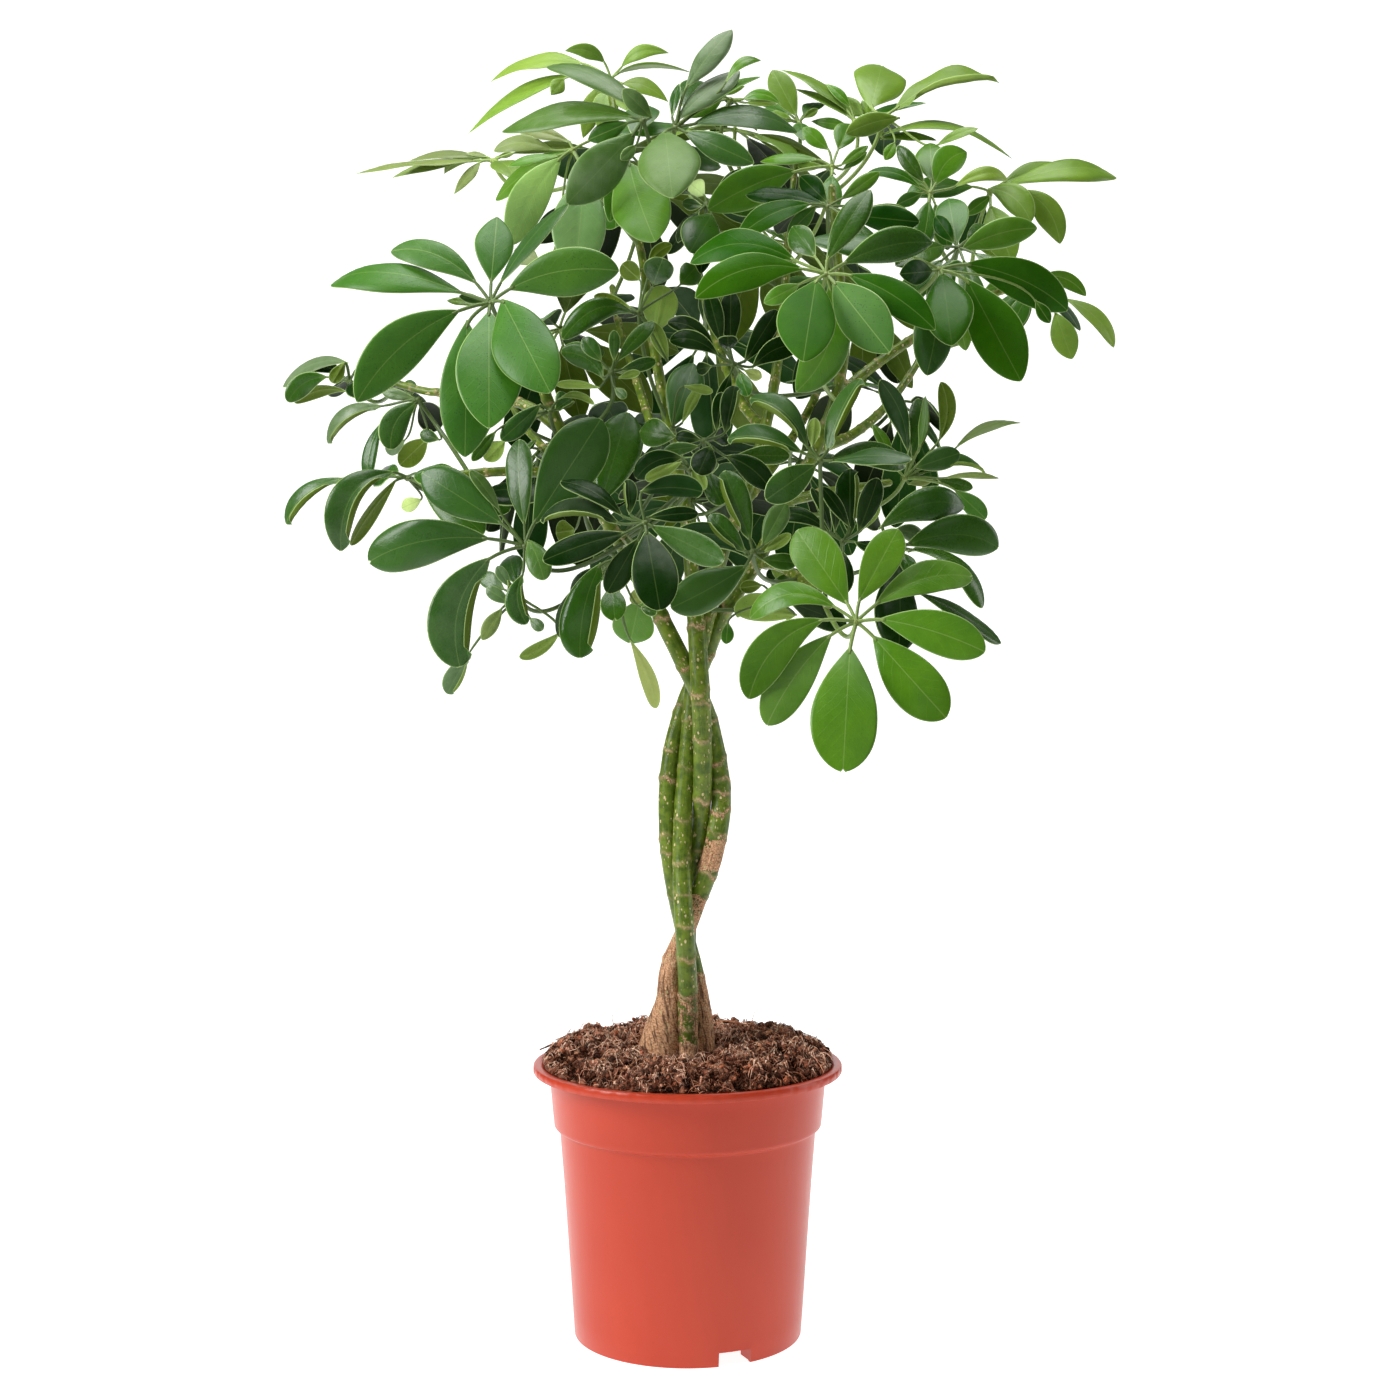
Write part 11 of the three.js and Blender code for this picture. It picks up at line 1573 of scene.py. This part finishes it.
def make_crumbs():
    s = Soup(("tint",))
    r = np.random.default_rng(12)
    for k in range(3100):
        rr = 97.0 * math.sqrt(r.random())
        a = r.uniform(0, 2 * math.pi)
        x, y = rr * math.cos(a), rr * math.sin(a)
        size = 0.6 + 1.7 * r.random() ** 2.6
        if r.random() < 0.03:
            size *= 1.9
        c = np.array([x, y, float(soil_z(np.array([x]), np.array([y]))[0]) + size * 0.25])
        if np.hypot(x, y) > 98.2 - size:
            continue
        t = r.uniform(0.15, 0.6) if r.random() < 0.4 else r.uniform(0.9, 1.8)
        # each crumb's brightness follows soil_tone: darker in the hollows, brighter on the lumps, painted shade and
        # painted light
        tone = float(soil_tone(x, y)[0])
        t = min(1.35, t * (0.14 + 0.95 * tone))
        if r.random() < 0.08:
            tint = (2.2, 2.0, 1.85)
        else:
            tint = soil_tint(t, max(tone, 1.0))
        crumb(s, c, size, r.uniform(0.8, 1.9), r, tint)
    return s.build("coir_crumbs", [M_SOIL], [])


def make_chips():
    """Flat wood chips, splinters and the twigs that lie over the rim."""
    s = Soup(("tint",))
    r = np.random.default_rng(5)
    items = []
    for k in range(230):
        rr = 86 * math.sqrt(r.random())
        a = r.uniform(0, 2 * math.pi)
        items.append((rr * math.cos(a), rr * math.sin(a), r.uniform(3, 9), r.uniform(0.7, 1.9), r.uniform(0, math.pi)))
    for x, y, L, w, th in items:
        z = float(soil_z(np.array([x]), np.array([y]))[0])
        d = np.array([math.cos(th), math.sin(th), r.normal(0, 0.25)])
        b = unit(np.cross(d, [r.normal(0, 0.3), r.normal(0, 0.3), 1.0]))
        n = unit(np.cross(b, d))
        c = np.array([x, y, z + 0.6 + abs(r.normal(0, 0.5))])
        P, m = [], 5
        for i in range(m):
            q = i / (m - 1) - 0.5
            ww = w * (1 - 1.2 * abs(q) ** 1.5) * r.uniform(0.8, 1.15)
            p = c + d * L * q + n * 0.25 * math.sin(q * 3)
            P += [p - b * ww - n * 0.22, p + b * ww - n * 0.22, p + b * ww * 0.9 + n * 0.25, p - b * ww * 0.9 + n * 0.25]
        F = [(0, 1, 2, 3), (4 * m - 1, 4 * m - 2, 4 * m - 3, 4 * m - 4)]
        for i in range(m - 1):
            for k in range(4):
                k2 = (k + 1) % 4
                F.append((4 * i + k, 4 * i + 4 + k, 4 * i + 4 + k2, 4 * i + k2))
        t = r.uniform(0.9, 1.9)
        s.add(P, F, 0, tint=(t, t * 0.88, t * 0.78))
    for pts, w, t in TWIGS:
        C = catmull(np.array(pts, float), 4)
        q = np.linspace(0, 1, len(C))
        V, F = tube(C, w * (1 - 0.55 * q) * (1 + 0.15 * np.sin(q * 25)), 6)
        s.add(V, F, 0, tint=(t, t * 0.85, t * 0.75))
    return s.build("coir_chips", [M_FIB], [])


TWIGS = [
    ([(-62, 42, 197), (-76, 40, 195.5), (-90, 33, 192), (-102.5, 24, 188.4)], 1.25, 0.42),
    ([(-70, 36, 196), (-80, 41, 196), (-93, 43, 191.5)], 0.8, 0.5),
    ([(42, 52, 196), (45, 54, 203), (47.5, 55, 210.5)], 0.32, 0.9),
    ([(60, 45, 196), (62, 46, 202), (62.5, 46, 207.5)], 0.26, 0.7),
    ([(82, 25, 193), (88, 20, 194), (96, 15, 191.5)], 0.9, 1.1),
    ([(-40, -62, 193), (-32, -52, 197.5), (-22, -45, 196)], 0.42, 1.6),
    ([(-36, -66, 193), (-26, -70, 195.5), (-12, -74, 193)], 0.36, 1.5),
    ([(52, -40, 195), (46, -52, 196.5), (38, -62, 195)], 0.34, 1.5),
    ([(8, -60, 195), (18, -68, 196.5), (26, -78, 192.5)], 0.45, 1.9),
    ([(10, 55, 198), (26, 58, 202), (40, 54, 200)], 1.3, 1.2),
    ([(-52, 60, 197), (-54, 62, 203), (-53, 63, 207)], 0.3, 0.8),
]
make_fibres("coir_fibres", 8, 7600, 0.16, 8, 20, 0.16, 0.32)
make_fibres("coir_strands", 18, 760, 1.0, 9, 26, 0.22, 0.42)
make_crumbs()
make_chips()

# ------------------------------------------------------------------ floor, light, camera
def studio_white():
    """Matt white that glows where the camera looks and is plain pale outside of that."""
    mt, nt, bsdf = new_mat("studio_white")
    N = Net(nt)
    bsdf.inputs["Base Color"].default_value = (0.62, 0.62, 0.62, 1)
    bsdf.inputs["Roughness"].default_value = 0.9
    bsdf.inputs["Specular IOR Level"].default_value = 0.05
    bsdf.inputs["Emission Color"].default_value = (1, 1, 1, 1)
    x, y, z = N.split(N.obj())[:3]
    wide = N.math("SUBTRACT", N.math("ABSOLUTE", x), N.math("MULTIPLY", N.math("ADD", y, 1.48), 0.335))
    k = N.math("MULTIPLY", N.ramp(wide, 0.70, 0.03), N.math("MULTIPLY", N.ramp(y, -0.95, -0.24), N.ramp(z, 2.9, 2.1)))
    N.put(bsdf.inputs["Emission Strength"], N.math("MULTIPLY", k, 0.93))
    return mt


def make_floor():
    P, F = [], []
    rows = []
    n = 24
    for i in range(n + 1):     # floor that sweeps up into a plain wall behind
        t = i / n
        a = t * math.pi / 2
        rows.append((2.6 + 1.2 * math.sin(a), 1.2 - 1.2 * math.cos(a)))
    rows = [(-3.2, 0.0)] + rows + [(3.8, 4.2)]
    for y, z in rows:
        P += [(-4.5, y, z), (4.5, y, z)]
    for i in range(len(rows) - 1):
        F.append((2 * i, 2 * i + 1, 2 * i + 3, 2 * i + 2))
    me = bpy.data.meshes.new("studio_floor")
    me.from_pydata(P, [], F)
    me.polygons.foreach_set("use_smooth", [True] * len(F))
    me.materials.append(studio_white())
    ob = bpy.data.objects.new("studio_floor", me)
    bpy.context.scene.collection.objects.link(ob)
    return ob


make_floor()
w = bpy.data.worlds.new("studio")
bpy.context.scene.world = w
w.use_nodes = True
w.node_tree.nodes["Background"].inputs["Color"].default_value = (1.0, 1.0, 1.0, 1)
w.node_tree.nodes["Background"].inputs["Strength"].default_value = WORLD = 0.10


def area(name, loc, aim, size, power, color=(1, 1, 1)):
    from mathutils import Vector
    li = bpy.data.lights.new(name, "AREA")
    li.shape = "RECTANGLE"
    li.size, li.size_y = size
    li.energy = power
    li.color = color
    ob = bpy.data.objects.new(name, li)
    ob.location = loc
    ob.rotation_euler = (Vector(aim) - Vector(loc)).to_track_quat("-Z", "Y").to_euler()
    bpy.context.scene.collection.objects.link(ob)
    return ob


area("key", (-1.65, -0.80, 1.45), (0, 0, 0.45), (0.9, 1.3), 44)
area("fill_right", (1.7, 0.25, 0.8), (0, 0, 0.4), (0.5, 1.6), 9)
area("top", (0.0, -0.1, 2.4), (0, 0, 0.6), (1.4, 1.4), 34)
area("front", (0.5, -2.4, 1.3), (0, 0, 0.4), (1.6, 1.2), 4)

cam = bpy.data.cameras.new("camera")
cam.sensor_width = 36
cam.lens = 2186 / 1400 * 36
cam.clip_start, cam.clip_end = 0.05, 50
co = bpy.data.objects.new("camera", cam)
co.location = (0.00839, -1.4776, 0.4953)
co.rotation_euler = (math.radians(90) - 0.043, 0, 0)
bpy.context.scene.collection.objects.link(co)
bpy.context.scene.camera = co
bpy.context.scene.view_settings.view_transform = "Standard"
